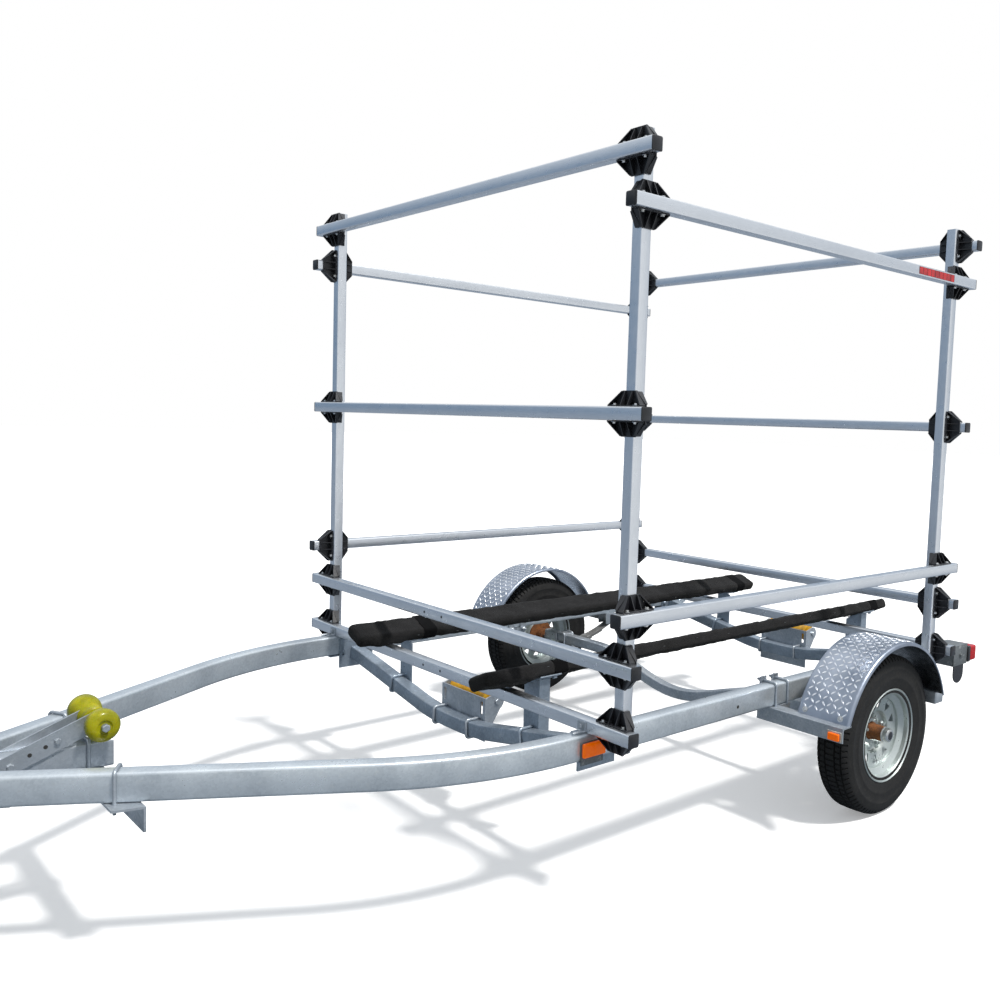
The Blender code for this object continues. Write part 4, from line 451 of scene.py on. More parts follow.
def moulded_finish(name, colour, dust_colour, roughness=0.42):
    """Moulded plastic with a fine grain, a little bleached and dusty on top."""
    made, tree = new_finish(name, roughness)
    patches = use_group(tree, STRETCHED_NOISE, Scale=26.0)
    varied = mix_colours(tree, ranged(tree, patches["Coarse"], 0.35, 0.65), colour, scaled(colour, 1.9))
    dusty, dust = dusted(tree, varied, 30.0, 0.14, dust_colour)
    uneven = ranged(tree, patches["Fine"], 0.3, 0.7, roughness - 0.08, roughness + 0.10)
    rough = math_node(tree, "ADD", uneven, math_node(tree, "MULTIPLY", dust, 0.3))
    grain = pattern(tree, "Voronoi", object_place(tree), "Distance", Scale=1400.0)
    return complete(made, grain, 0.18, 0.0004, Base_Color=dusty, Roughness=rough)


BLACK_MOULDING = moulded_finish("black_moulding", (0.0075, 0.0080, 0.0105), (0.10, 0.095, 0.09), 0.36)
cap_section = box_section(RACK_TUBE + 2 * CAP_PROUD, RACK_TUBE + 2 * CAP_PROUD, RACK_CORNER)
for bar in bars:
    middle, along, length = bar_run(bar)
    caps = bmesh.new()
    for out in (-along, along):
        rim_start = middle + out * (length / 2 + CAP_GAP)
        _, face = feed(caps, cap_section, rim_start, out, [CAP_RIM - CAP_DOME])
        verts, _ = extruded(caps, face, out * CAP_DOME)
        centre = rim_start + out * CAP_RIM
        bmesh.ops.scale(caps, vec=(CAP_FACE, CAP_FACE, CAP_FACE), space=Matrix.Translation(-centre),
                        verts=verts)
    finished(caps, bar + "_caps", ROOT, BLACK_MOULDING)


# Octagonal brackets
# Black moulded brackets join every bar to its post: an eight-sided plate between the two, a
# channel for the bar on one face, a channel for the post on the other, and ribs that stiffen
# both. Zinc bolts pass through the channels' flanges.
BRACKET_WIDTH = 0.127
BRACKET_PLATE = 0.0038
BRACKET_BOLT_X = 0.040
BRACKET_BOLT = (0.011, 0.0045, 0.0012)
CHANNEL_DEPTH = 0.024
CHANNEL_WALL = 0.0034
CHANNEL_GAP = 0.0003
BOLT_SHARE = 0.58
RIB_WALL = 0.0028
RIB_TIP = 0.004
INNER_RIB_X = 0.0135
# A frame of which X lies along another's Y, Y along its Z, and Z along its X
TURNED_ON = Matrix(((0, 0, 1), (1, 0, 0), (0, 1, 0))).to_4x4()


def sheet(shape, outline, thickness, place):
    """A flat sheet: its outline is given in a frame's X and Y, and it is centred on that plane."""
    verts = [shape.verts.new(place @ Vector((x, y, -thickness / 2))) for x, y in outline]
    upper, _ = extruded(shape, shape.faces.new(verts), place.to_3x3() @ Vector((0, 0, thickness)))
    return verts + upper


def edges_of(verts):
    """The edges that meet some vertices, each once and in a fixed order."""
    return list(dict.fromkeys(edge for vert in verts for edge in vert.link_edges))


def rounded(shape, edges, radius, segments):
    """Bevel edges to a radius."""
    bmesh.ops.bevel(shape, geom=edges, offset=radius, offset_type="OFFSET", segments=segments, profile=0.5,
                    affect="EDGES", material=-1)


def block(shape, corner, opposite, radius=0.0, segments=2, place=Matrix()):
    """A block between two opposite corners, in a frame, with its edges rounded."""
    low, high = Vector(map(min, corner, opposite)), Vector(map(max, corner, opposite))
    verts = bmesh.ops.create_cube(shape, size=1.0)["verts"]
    size = Matrix.Diagonal((*(high - low), 1))
    bmesh.ops.transform(shape, matrix=place @ Matrix.Translation((low + high) / 2) @ size, verts=verts)
    if radius:
        rounded(shape, edges_of(verts), radius, segments)


def channel(shape, place):
    """One side of a bracket: two flanges along the frame's X, and tapered ribs behind each."""
    half = BRACKET_WIDTH / 2
    edge = half - 0.002
    straight = half * math.tan(math.pi / 8)
    seat = RACK_TUBE / 2 + CHANNEL_GAP
    back = seat + CHANNEL_WALL
    low_rib = CHANNEL_DEPTH - 0.002
    for way in (-1, 1):
        block(shape, (-edge, way * seat, 0), (edge, way * back, CHANNEL_DEPTH), 0.0009, 1, place)
        for x in (-INNER_RIB_X, INNER_RIB_X):
            across = place @ Matrix.Translation((x, 0, 0)) @ Matrix.Rotation(math.pi / 2, 4, "Y")
            sheet(shape, [(0, way * edge), (-RIB_TIP, way * edge), (-low_rib, way * back), (0, way * back)],
                  RIB_WALL, across)
        for side in (-1, 1):
            foot = Vector((side * (half - 0.003), way * back, 0))
            run = Vector((side * straight, way * edge, 0)) - foot
            sheet(shape, [(0, 0), (low_rib, 0), (RIB_TIP, run.length), (0, run.length)], RIB_WALL,
                  place @ heading_frame(foot, run) @ TURNED_ON)


def disc(shape, place, way, radii, depth, sides):
    """A short bar or cone that starts at a place, round or with flat sides."""
    return bmesh.ops.create_cone(shape, cap_ends=True, segments=sides, radius1=radii[0], radius2=radii[-1],
                                 depth=depth, matrix=heading_frame(place + way * depth / 2, way))["verts"]


def fastener(shape, seat, way, across, head, washer=0.0, stud=0.0):
    """A hexagon bolt head or nut on its seat, with a washer below it and the thread's end above."""
    way, seat = Vector(way).normalized(), Vector(seat)
    if washer:
        disc(shape, seat, way, [across * 0.62 + 0.003], washer, 20)
        seat = seat + way * washer
    body = disc(shape, seat, way, [across / 2 / math.cos(math.pi / 6)], head, 6)
    top = [vert for vert in body if (vert.co - seat).dot(way) > head / 2]
    rim = [edge for edge in edges_of(top) if all(vert in top for vert in edge.verts)]
    rounded(shape, rim, head * 0.16, 1)
    if stud:
        disc(shape, seat + way * head, way, [across * 0.30, across * 0.28], stud, 12)


def zinc_finish(name, light, dark):
    """Bright zinc plate with a faint yellow and blue cast that wanders over it."""
    made, tree = new_finish(name, 0.28, 1.0)
    patches = use_group(tree, STRETCHED_NOISE, Scale=60.0)
    plated = mix_colours(tree, ranged(tree, patches["Coarse"], 0.38, 0.62), light, dark)
    dusty, _ = dusted(tree, plated, 40.0, 0.3, (0.35, 0.33, 0.30))
    return complete(made, patches["Fine"], 0.10, 0.0005, Base_Color=dusty,
                    Roughness=ranged(tree, patches["Fine"], 0.3, 0.7, 0.18, 0.38))


BRIGHT_ZINC = zinc_finish("bright_zinc", (0.66, 0.67, 0.68), (0.48, 0.48, 0.46))


def bracket(mould, bolts, centre, out):
    """A bracket at a point on a post's axis, with its bar's channel facing out."""
    up = Vector((0, 0, 1))
    bar_side = (Matrix.Translation(Vector(centre) + out * RACK_TUBE / 2)
                @ Matrix((up.cross(out), up, out)).transposed().to_4x4())
    post_side = bar_side @ Matrix(((0, 1, 0), (1, 0, 0), (0, 0, -1))).to_4x4()
    corner = BRACKET_WIDTH / 2 / math.cos(math.pi / 8)
    octagon = [(corner * math.cos(math.pi / 4 * (i + 0.5)), corner * math.sin(math.pi / 4 * (i + 0.5)))
               for i in range(8)]
    sheet(mould, octagon, BRACKET_PLATE, bar_side @ Matrix.Translation((0, 0, BRACKET_PLATE / 2 + 0.0001)))
    channel(mould, bar_side @ Matrix.Translation((0, 0, BRACKET_PLATE)))
    channel(mould, post_side)
    back = RACK_TUBE / 2 + CHANNEL_WALL
    for face_at, floor_z in ((bar_side, BRACKET_PLATE), (post_side, 0)):
        for x in (-BRACKET_BOLT_X, BRACKET_BOLT_X):
            for way in (-1, 1):
                seat = face_at @ Vector((x, way * back, floor_z + CHANNEL_DEPTH * BOLT_SHARE))
                fastener(bolts, seat, face_at.to_3x3() @ Vector((0, way, 0)), *BRACKET_BOLT)


for end, side in POSTS:
    low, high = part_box(f"post_{end}_{side}")
    post_axis = (low + high) / 2
    mould, bolts = bmesh.new(), bmesh.new()
    for bar in [f"cross_bar_{end}_{level}" for level in CROSS_LEVELS] + [f"side_bar_{side}_{level}"
                                                                        for level in SIDE_LEVELS]:
        middle, along, _ = bar_run(bar)
        across = HEADINGS["x" if bars[bar] == "y" else "y"]
        out = across * math.copysign(1, (middle - post_axis).dot(across))
        bracket(mould, bolts, (post_axis.x, post_axis.y, middle.z), out)
    finished(mould, f"post_{end}_{side}_brackets", ROOT, BLACK_MOULDING, sharp=25)
    finished(bolts, f"post_{end}_{side}_bolts", ROOT, BRIGHT_ZINC, sharp=25)


# Side rails
# Two lengths of 2 x 3 inch galvanised box tube. Each runs straight from the rear, bends inwards
# near the front posts and ends against the tongue, where it is cut to lie on the tongue's side.
BOX_WIDTH = 0.0508
BOX_HEIGHT = 0.0762
BOX_CORNER = 0.0090
BOX_WALL = 0.0032
FIT = 0.0003
RAIL_Y = 0.7315
RAIL_TOP = 0.4721
RAIL_MIDDLE = RAIL_TOP - BOX_HEIGHT / 2
RAIL_BOTTOM = RAIL_TOP - BOX_HEIGHT
UNDER_RAIL = RAIL_BOTTOM - FIT
RAIL_REAR_X = 2.050
RAIL_BORE = 0.30
BEND_X = -0.090
BEND_RADIUS = 1.130
BEND_ANGLE = math.radians(30.5)
FRONT_RUN = 1.25
TONGUE_PLANE = 0.0257


def fill_spangle(tree, entry):
    """The flecks of zinc that freezes on steel, the clouds between them, and fine runs."""
    place = object_place(tree)
    flecks = pattern(tree, "Voronoi", place, "Color", Scale=entry["Scale"])
    return (node(tree, "ShaderNodeSeparateColor", {}, {0: flecks}).outputs[0],
            pattern(tree, "Noise", place, "Fac", Scale=7.0, Detail=5.0, Roughness=0.62),
            pattern(tree, "Noise", place, "Fac", Scale=48.0, Detail=3.0))


SPANGLE = group("spangle", {"Scale": 160.0}, ("Flecks", "Clouds", "Runs"), fill_spangle)


def galvanised_finish(name, light, dark, metallic=0.62, roughness=0.36, bump=0.16, rust=0.35):
    """Hot-dip galvanised steel: grey with a blue cast, flecked and cloudy, with a little white rust."""
    made, tree = new_finish(name, roughness, metallic)
    zinc = use_group(tree, SPANGLE)
    cloudy = ranged(tree, zinc["Clouds"], 0.36, 0.64)
    share = math_node(tree, "ADD", math_node(tree, "MULTIPLY", cloudy, 0.65),
                      math_node(tree, "MULTIPLY", zinc["Flecks"], 0.35))
    rusting = ranged(tree, zinc["Runs"], 0.60, 0.72, 0.0, rust)
    white_rust = mix_colours(tree, rusting, mix_colours(tree, share, light, dark), (0.66, 0.69, 0.70))
    dusty, _ = dusted(tree, white_rust, 9.0, 0.22, (0.40, 0.39, 0.36))
    rough = math_node(tree, "ADD", ranged(tree, zinc["Flecks"], 0.0, 1.0, roughness - 0.07, roughness + 0.06),
                      ranged(tree, zinc["Clouds"], 0.35, 0.65, -0.03, 0.06))
    height = math_node(tree, "ADD", zinc["Runs"], math_node(tree, "MULTIPLY", zinc["Flecks"], 0.3))
    return complete(made, height, bump, 0.0012, Base_Color=dusty, Roughness=rough)


GALVANISED = galvanised_finish("galvanised", (0.53, 0.57, 0.615), (0.32, 0.36, 0.405))
# A lighter copy of the galvanised finish for the rails: painted light standing for the sun on their sides and
# tops.
SUNLIT_RAIL_GALVANISED = galvanised_finish("sunlit_rail_galvanised", (0.70, 0.755, 0.80), (0.45, 0.50, 0.55))
# A darker, bluer copy of the galvanised finish: painted shade and painted sky reflection on faces that turn
# away from the sun.
SHADED_BLUISH_GALVANISED = galvanised_finish("shaded_bluish_galvanised", (0.40, 0.47, 0.55), (0.235, 0.285, 0.345))
# Dark galvanised: worn zinc on the staples, the latch and the tail lamp brackets, and painted shade on the
# side marker plates, which lie in shadow below the rails.
DARK_GALVANISED = galvanised_finish("weathered_galvanised_and_painted_shade", (0.20, 0.22, 0.235), (0.12, 0.135, 0.145), 0.4,
                                    0.5)


def steel_piece(shape, name, stands_for=(), sharp=28, finish=GALVANISED):
    """A galvanised piece of the trailer's frame."""
    finished(shape, name, ROOT, finish, stands_for, sharp)


box_tube = box_section(BOX_WIDTH, BOX_HEIGHT, BOX_CORNER, 4)
for side, way in SIDES.items():
    rail = bmesh.new()
    rear_end, _ = feed(rail, box_tube, (RAIL_REAR_X, way * RAIL_Y, RAIL_MIDDLE), (-1, 0, 0),
                       [RAIL_REAR_X - BEND_X, (BEND_ANGLE, BEND_RADIUS, (0, 0, way), 24), FRONT_RUN])
    hollow(rail, rear_end, BOX_WALL, RAIL_BORE)
    trimmed = bmesh.ops.bisect_plane(rail, geom=rail.verts[:] + rail.edges[:] + rail.faces[:], dist=1e-6,
                                     plane_co=(0, way * TONGUE_PLANE, 0), plane_no=(0, -way, 0),
                                     clear_outer=True)
    rims = [part for part in trimmed["geom_cut"] if isinstance(part, bmesh.types.BMEdge)]
    bmesh.ops.edgeloop_fill(rail, edges=rims)
    # The rails wear the lighter galvanised, as painted sunlight.
    steel_piece(rail, f"rail_{side}_tube", [f"rail_{side}"], 32, SUNLIT_RAIL_GALVANISED)


# Fittings on the rails
# Welded and clamped to each rail: the spring's front hanger with its strap and U-bolt, the slipper
# hanger behind, the clips that hold the lowest rack bars down, and the arm of the fender's rear end.
AXLE_X = 1.190
EYE_X, EYE_Z = 0.890, 0.3662
EYE_RADIUS = 0.0145
HANGER_WALL = 0.005
SPRING_WIDTH = 0.045
SPRING_GAP = SPRING_WIDTH / 2 + 0.001
SLIPPER_X = AXLE_X + 0.300
SLIPPER_FOOT = 0.345
SPRING_PIN, SLIPPER_ROLLER = 0.006, 0.0298
HANGER_CLAMP_X = 0.899
BAR_X = {"front": -0.0424, "rear": 1.7924}
CLIP_WIDTH, CLIP_WALL = 0.032, 0.004
U_BOLT = 0.0095
NUT = (0.016, 0.008, 0.0018)
THREAD_PITCH = 0.0015
THREAD_ROOT = 0.86
STRAP_HALF, STRAP_WALL = 0.017, 0.006
ARM_LOW_X, ARM_HIGH_X = 1.481, 1.541
ARM_REACH, ARM_DROP = 0.2785, 0.0453
ARM_BOLT_X = (1.497, 1.525)


def turned(shape, profile, place, steps=32, closed=False):
    """Spin a profile of (radius, height) once round a frame's Z."""
    verts = [shape.verts.new(place @ Vector((radius, 0, height))) for radius, height in profile]
    edges = [shape.edges.new(pair) for pair in zip(verts, verts[1:])]
    if closed:
        edges.append(shape.edges.new((verts[-1], verts[0])))
    bmesh.ops.spin(shape, geom=verts + edges, cent=place.translation, axis=place.to_3x3() @ Vector((0, 0, 1)),
                   angle=2 * math.pi, steps=steps, use_merge=True, use_duplicate=False)
    poles = [vert for vert in shape.verts if (place.inverted() @ vert.co).xy.length < 1e-6]
    bmesh.ops.remove_doubles(shape, verts=poles, dist=1e-6)


def rod(shape, place, way, radius, length, steps=24):
    """A plain round bar that starts at a place."""
    turned(shape, [(0, 0), (radius, 0), (radius, length), (0, length)], heading_frame(place, way), steps)


def threaded(shape, place, way, radius, length):
    """The bare threaded end of a bolt."""
    crests = round(length / THREAD_PITCH)
    root = radius * THREAD_ROOT
    profile = [(0, 0), (root, 0)]
    for crest in range(crests):
        profile += [(radius, (crest + 0.5) * THREAD_PITCH), (root, (crest + 1) * THREAD_PITCH)]
    turned(shape, profile + [(0, crests * THREAD_PITCH)], heading_frame(place, way), 12)


def round_section(radius, sides):
    """A function that lays a disc across a heading."""
    def lay(shape, place):
        verts = bmesh.ops.create_circle(shape, cap_ends=True, segments=sides, radius=radius,
                                        matrix=place)["verts"]
        return verts[0].link_faces[0]
    return lay


def u_bolt(shape, place, lift, base, seat, tail=0.020, bend=0.012):
    """A U-bolt and its nuts. In its frame the legs stand at plus and minus lift in Z and run along Y,
    the base lies at -base, and the nuts sit at seat with the threaded tails beyond them."""
    along, axis = (place.to_3x3() @ Vector(way) for way in ((0, 1, 0), (1, 0, 0)))
    run = seat + base - bend
    feed(shape, round_section(U_BOLT / 2, 14), place @ Vector((0, seat, lift)), -along,
         [run, (math.pi / 2, bend, axis, 5), 2 * (lift - bend), (math.pi / 2, bend, axis, 5), run], axis)
    for way in (-1, 1):
        foot = place @ Vector((0, seat, way * lift))
        fastener(shape, foot, along, *NUT)
        threaded(shape, foot, along, U_BOLT / 2 * 0.96, tail)


def on_edge(y, x=0.0, z=0.0):
    """A frame of which X is the trailer's X and Y is up, some way across the trailer."""
    return Matrix.Translation((x, y, z)) @ Matrix.Rotation(math.pi / 2, 4, "X")


def rail_clamp(shape, x, way, strap_reach):
    """A U-bolt round a rail, with its strap and nuts on the rail's inboard side."""
    turn = Matrix.Rotation(0 if way < 0 else math.pi, 4, "Z")
    clamp_at = Matrix.Translation((x, way * RAIL_Y, RAIL_MIDDLE)) @ turn
    inner = BOX_WIDTH / 2 + FIT
    u_bolt(shape, clamp_at, BOX_HEIGHT / 2 + U_BOLT / 2 + 0.0002, BOX_WIDTH / 2 + U_BOLT / 2,
           inner + STRAP_WALL)
    block(shape, (-STRAP_HALF, inner, -strap_reach), (STRAP_HALF, inner + STRAP_WALL, strap_reach), 0.0015,
          place=clamp_at)


front_hanger = [(EYE_X - 0.030, RAIL_BOTTOM + 0.0004), (EYE_X - 0.018, EYE_Z - 0.014),
                (EYE_X - 0.009, EYE_Z - 0.0185), (EYE_X + 0.009, EYE_Z - 0.0185),
                (EYE_X + 0.018, EYE_Z - 0.014), (EYE_X + 0.030, RAIL_BOTTOM + 0.0004)]
slipper_hanger = [(SLIPPER_X - 0.050, RAIL_BOTTOM + 0.0004), (SLIPPER_X - 0.044, SLIPPER_FOOT),
                  (SLIPPER_X + 0.016, SLIPPER_FOOT), (SLIPPER_X + 0.024, RAIL_BOTTOM + 0.0004)]
for side, way in SIDES.items():
    fittings = bmesh.new()
    rail_y = way * RAIL_Y
    for edge in (-1, 1):
        ear_at = on_edge(rail_y + edge * (SPRING_GAP + HANGER_WALL / 2))
        sheet(fittings, front_hanger, HANGER_WALL, ear_at)
        sheet(fittings, slipper_hanger, HANGER_WALL, ear_at)
        fastener(fittings, (EYE_X, rail_y + edge * (SPRING_GAP + HANGER_WALL), EYE_Z), (0, edge, 0), *NUT)
    rod(fittings, (EYE_X, rail_y - SPRING_GAP, EYE_Z), (0, 1, 0), SPRING_PIN, 2 * SPRING_GAP, 20)
    rod(fittings, (SLIPPER_X - 0.012, rail_y - SPRING_GAP, 0.3850), (0, 1, 0), SLIPPER_ROLLER, 2 * SPRING_GAP,
        32)
    rail_clamp(fittings, HANGER_CLAMP_X, way, 0.055)
    for end, bar_x in BAR_X.items():
        out = -1 if end == "front" else 1
        face_x = bar_x + out * (RACK_TUBE / 2 + 0.0004)
        sheet(fittings, [(0, 0.0002), (out * 0.030, 0.0002), (out * 0.030, 0.0042), (out * 0.0075, 0.0042),
                         (out * 0.0042, 0.0075), (out * 0.0042, 0.031), (0, 0.031)], CLIP_WIDTH,
              on_edge(rail_y, face_x, RAIL_TOP))
        fastener(fittings, (face_x + out * 0.0042, rail_y, RAIL_TOP + 0.019), (out, 0, 0), 0.013, 0.006,
                 0.0012)
        turned(fittings, [(0, 0), (0.004, 0), (0.004, 0.040), (0.0035, 0.042), (0, 0.042)],
               heading_frame((face_x + out * CLIP_WALL, way * (RAIL_Y + 0.010), RAIL_TOP + 0.0055),
                             (out, 0, 0)), 14)
    outboard = Matrix.Translation((0, rail_y, 0)) @ Matrix.Diagonal((1, way, 1, 1))
    block(fittings, (ARM_LOW_X, 0.0262, RAIL_BOTTOM - ARM_DROP), (ARM_HIGH_X, ARM_REACH, UNDER_RAIL), 0.004,
          3, outboard)
    block(fittings, (ARM_LOW_X + 0.004, 0.0258, RAIL_BOTTOM - 0.040),
          (ARM_HIGH_X - 0.004, 0.0333, RAIL_TOP - 0.012), 0.0015, place=outboard)
    for x in ARM_BOLT_X:
        fastener(fittings, outboard @ Vector((x, 0.0333, RAIL_MIDDLE)), (0, way, 0), 0.014, 0.006, 0.0016)
    steel_piece(fittings, f"rail_{side}_fittings")


# Tongue
# Box tube from the coupler to the bow roller, with the plate that the jack swings on. A gusset
# below and an angle with three U-bolts tie it to the rails.
TONGUE_REAR_X, TONGUE_FRONT_X = -1.120, -2.037
TONGUE_BORE = 0.35
NEAR_FACE = -BOX_WIDTH / 2
JACK_X = -1.855
JACK_PLATE_HALF, JACK_PLATE_HIGH, JACK_PLATE_WALL = 0.046, 0.042, 0.006
GUSSET_X, GUSSET_HALF, GUSSET_WALL = -1.500, 0.120, 0.006
GUSSET_SLIM = BOX_WIDTH * 1.1
GUSSET_WIDE = BOX_WIDTH + GUSSET_HALF * math.tan(BEND_ANGLE) + 0.030
GUSSET_BOLTS = ((-0.096, 0), (0.096, 0), (-0.024, 0.052), (-0.024, -0.052), (0.072, 0.110), (0.072, -0.110))
CROSS_X, CROSS_HALF, CROSS_FLANGE, CROSS_WALL = -1.180, 0.330, 0.076, 0.006
CROSS_DROP = CROSS_FLANGE * 0.86
tongue = bmesh.new()
tongue_rear, _ = feed(tongue, box_tube, (TONGUE_REAR_X, 0, RAIL_MIDDLE), (-1, 0, 0),
                      [TONGUE_REAR_X - TONGUE_FRONT_X])
hollow(tongue, tongue_rear, BOX_WALL, TONGUE_BORE)
plate_face = NEAR_FACE - JACK_PLATE_WALL
block(tongue, (JACK_X - JACK_PLATE_HALF, plate_face, RAIL_MIDDLE - JACK_PLATE_HIGH),
      (JACK_X + JACK_PLATE_HALF, NEAR_FACE - 0.0002, RAIL_MIDDLE + JACK_PLATE_HIGH), 0.003)
turned(tongue, [(0, 0), (0.024, 0), (0.024, 0.0115), (0.0225, 0.0122), (0, 0.0122)],
       heading_frame((JACK_X, plate_face, RAIL_MIDDLE), (0, -1, 0)))
for x in (-0.034, 0.034):
    for z in (-0.030, 0.030):
        fastener(tongue, (JACK_X + x, plate_face, RAIL_MIDDLE + z), (0, -1, 0), 0.014, 0.006, 0.0012)
steel_piece(tongue, "tongue_tube_and_plate", ["tongue_tube"], 32)

gusset = bmesh.new()
gusset_half = [(-GUSSET_HALF, GUSSET_SLIM - 0.012), (-GUSSET_HALF + 0.012, GUSSET_SLIM),
               (GUSSET_HALF - 0.015, GUSSET_WIDE), (GUSSET_HALF, GUSSET_WIDE - 0.010)]
gusset_at = Matrix.Translation((GUSSET_X, 0, UNDER_RAIL - GUSSET_WALL / 2))
sheet(gusset, [(x, -y) for x, y in gusset_half] + gusset_half[::-1], GUSSET_WALL, gusset_at)
for x, y in GUSSET_BOLTS:
    fastener(gusset, gusset_at @ Vector((x, y, -GUSSET_WALL / 2)), (0, 0, -1), 0.019, 0.008, 0.002)
steel_piece(gusset, "tongue_gusset_plate", ["tongue_gusset"], 32)

crosspiece = bmesh.new()
half = CROSS_FLANGE / 2
reach = CROSS_HALF + CROSS_FLANGE * math.tan(BEND_ANGLE) * 0.4
sheet(crosspiece, [(-half, -CROSS_HALF), (half - CROSS_WALL, -reach), (half - CROSS_WALL, reach),
                   (-half, CROSS_HALF)], CROSS_WALL,
      Matrix.Translation((CROSS_X, 0, UNDER_RAIL - CROSS_WALL / 2)))
sheet(crosspiece, [(-reach, -0.0015), (-reach, -CROSS_DROP + 0.003), (-reach + 0.003, -CROSS_DROP),
                   (reach - 0.003, -CROSS_DROP), (reach, -CROSS_DROP + 0.003), (reach, -0.0015)], CROSS_WALL,
      Matrix.Translation((CROSS_X + half - CROSS_WALL / 2, 0, UNDER_RAIL)) @ TURNED_ON)
turn_x = BEND_X - BEND_RADIUS * math.sin(BEND_ANGLE)
turn_y = RAIL_Y - BEND_RADIUS * (1 - math.cos(BEND_ANGLE))
hoop_x = CROSS_X - 0.004
LEGS_DOWN = Matrix.Rotation(-math.pi / 2, 4, "X")
for across in (0, -1, 1):
    hoop_y = across * (turn_y - (turn_x - hoop_x) * math.tan(BEND_ANGLE))
    hoop_at = (Matrix.Translation((hoop_x, hoop_y, RAIL_MIDDLE))
               @ Matrix.Rotation(across * BEND_ANGLE, 4, "Z") @ LEGS_DOWN)
    u_bolt(crosspiece, hoop_at, BOX_WIDTH / 2 + U_BOLT / 2 + FIT, BOX_HEIGHT / 2 + U_BOLT / 2 + FIT,
           BOX_HEIGHT / 2 + FIT + CROSS_WALL)
steel_piece(crosspiece, "tongue_crosspiece_angle", ["tongue_crosspiece"])


# Cross members
# Square tube that dips between the rails, with a slotted plate against each. The front one also
# carries an amber side marker lamp outside each rail.
MEMBER_TUBE = 0.0508
MEMBER_CORNER = 0.006
MEMBER_X = {"front": 0.0254, "rear": 1.930}
MEMBER_MIDDLE = 0.297
MEMBER_SLOPE = math.radians(10.5)
MEMBER_BEND_Y = 0.130
MEMBER_BEND_RADIUS = 1.0
BEND_HALF = MEMBER_BEND_RADIUS * math.tan(MEMBER_SLOPE / 2)
PLATE_WIDTH, PLATE_WALL = 0.150, 0.006
PLATE_TOP, PLATE_LOW = 0.462, 0.345
PLATE_SLOTS, SLOT_WIDTH, SLOT_SPAN = (-0.059, 0.059), 0.009, (-0.009, 0.021)
PLATE_BOLT_Z = 0.412
MEMBER_REACH = RAIL_Y - BOX_WIDTH / 2 - FIT - PLATE_WALL
MARKER_FORE, MARKER_AFT = 0.040, 0.047
MARKER_SKIN = RAIL_Y + BOX_WIDTH / 2 + FIT


def lens_finish(name, bright, deep):
    """Clear coloured plastic over a reflector: lighter and darker bands, a gloss and a little glow."""
    made, tree = new_finish(name, 0.20, Coat_Weight=0.10, Specular_IOR_Level=0.25, Emission_Strength=0.34)
    place = object_place(tree)
    ribs = node(tree, "ShaderNodeTexWave", {"bands_direction": "Z"},
                {"Vector": place, "Scale": 90.0, "Distortion": 0.3}).outputs["Fac"]
    facets = pattern(tree, "Voronoi", place, "Distance", Scale=210.0)
    share = math_node(tree, "ADD", *(math_node(tree, "MULTIPLY", part, 0.5) for part in (ribs, facets)))
    colour = mix_colours(tree, share, deep, bright)
    return complete(made, ribs, 0.25, 0.0006, Base_Color=colour, Emission_Color=colour)


AMBER = lens_finish("amber_lens", (1.0, 0.190, 0.001), (0.78, 0.10, 0.001))
RED = lens_finish("red_lens", (0.50, 0.022, 0.028), (0.24, 0.006, 0.010))


def slotted_plate(shape, width, height, wall, slots, slot_width, slot_span, place):
    """A plate with upright slots, made of the webs between them and the strips above and below."""
    left, half, slit = -width / 2, height / 2, slot_width / 2
    for x in slots:
        block(shape, (left, -half, -wall / 2), (x - slit, half, wall / 2), place=place)
        for low, high in ((-half, slot_span[0]), (slot_span[1], half)):
            block(shape, (x - slit, low, -wall / 2), (x + slit, high, wall / 2), place=place)
        left = x + slit
    block(shape, (left, -half, -wall / 2), (width / 2, half, wall / 2), place=place)


def member_place(y):
    """Height and slope of a cross member's centre line at a distance from the middle."""
    bend_start = MEMBER_BEND_Y - BEND_HALF
    away = abs(y)
    if away <= bend_start:
        return MEMBER_MIDDLE, 0.0
    if away < MEMBER_BEND_Y + BEND_HALF * math.cos(MEMBER_SLOPE):
        angle = math.asin((away - bend_start) / MEMBER_BEND_RADIUS)
        return MEMBER_MIDDLE + MEMBER_BEND_RADIUS * (1 - math.cos(angle)), math.copysign(angle, y)
    return MEMBER_MIDDLE + (away - MEMBER_BEND_Y) * math.tan(MEMBER_SLOPE), math.copysign(MEMBER_SLOPE, y)


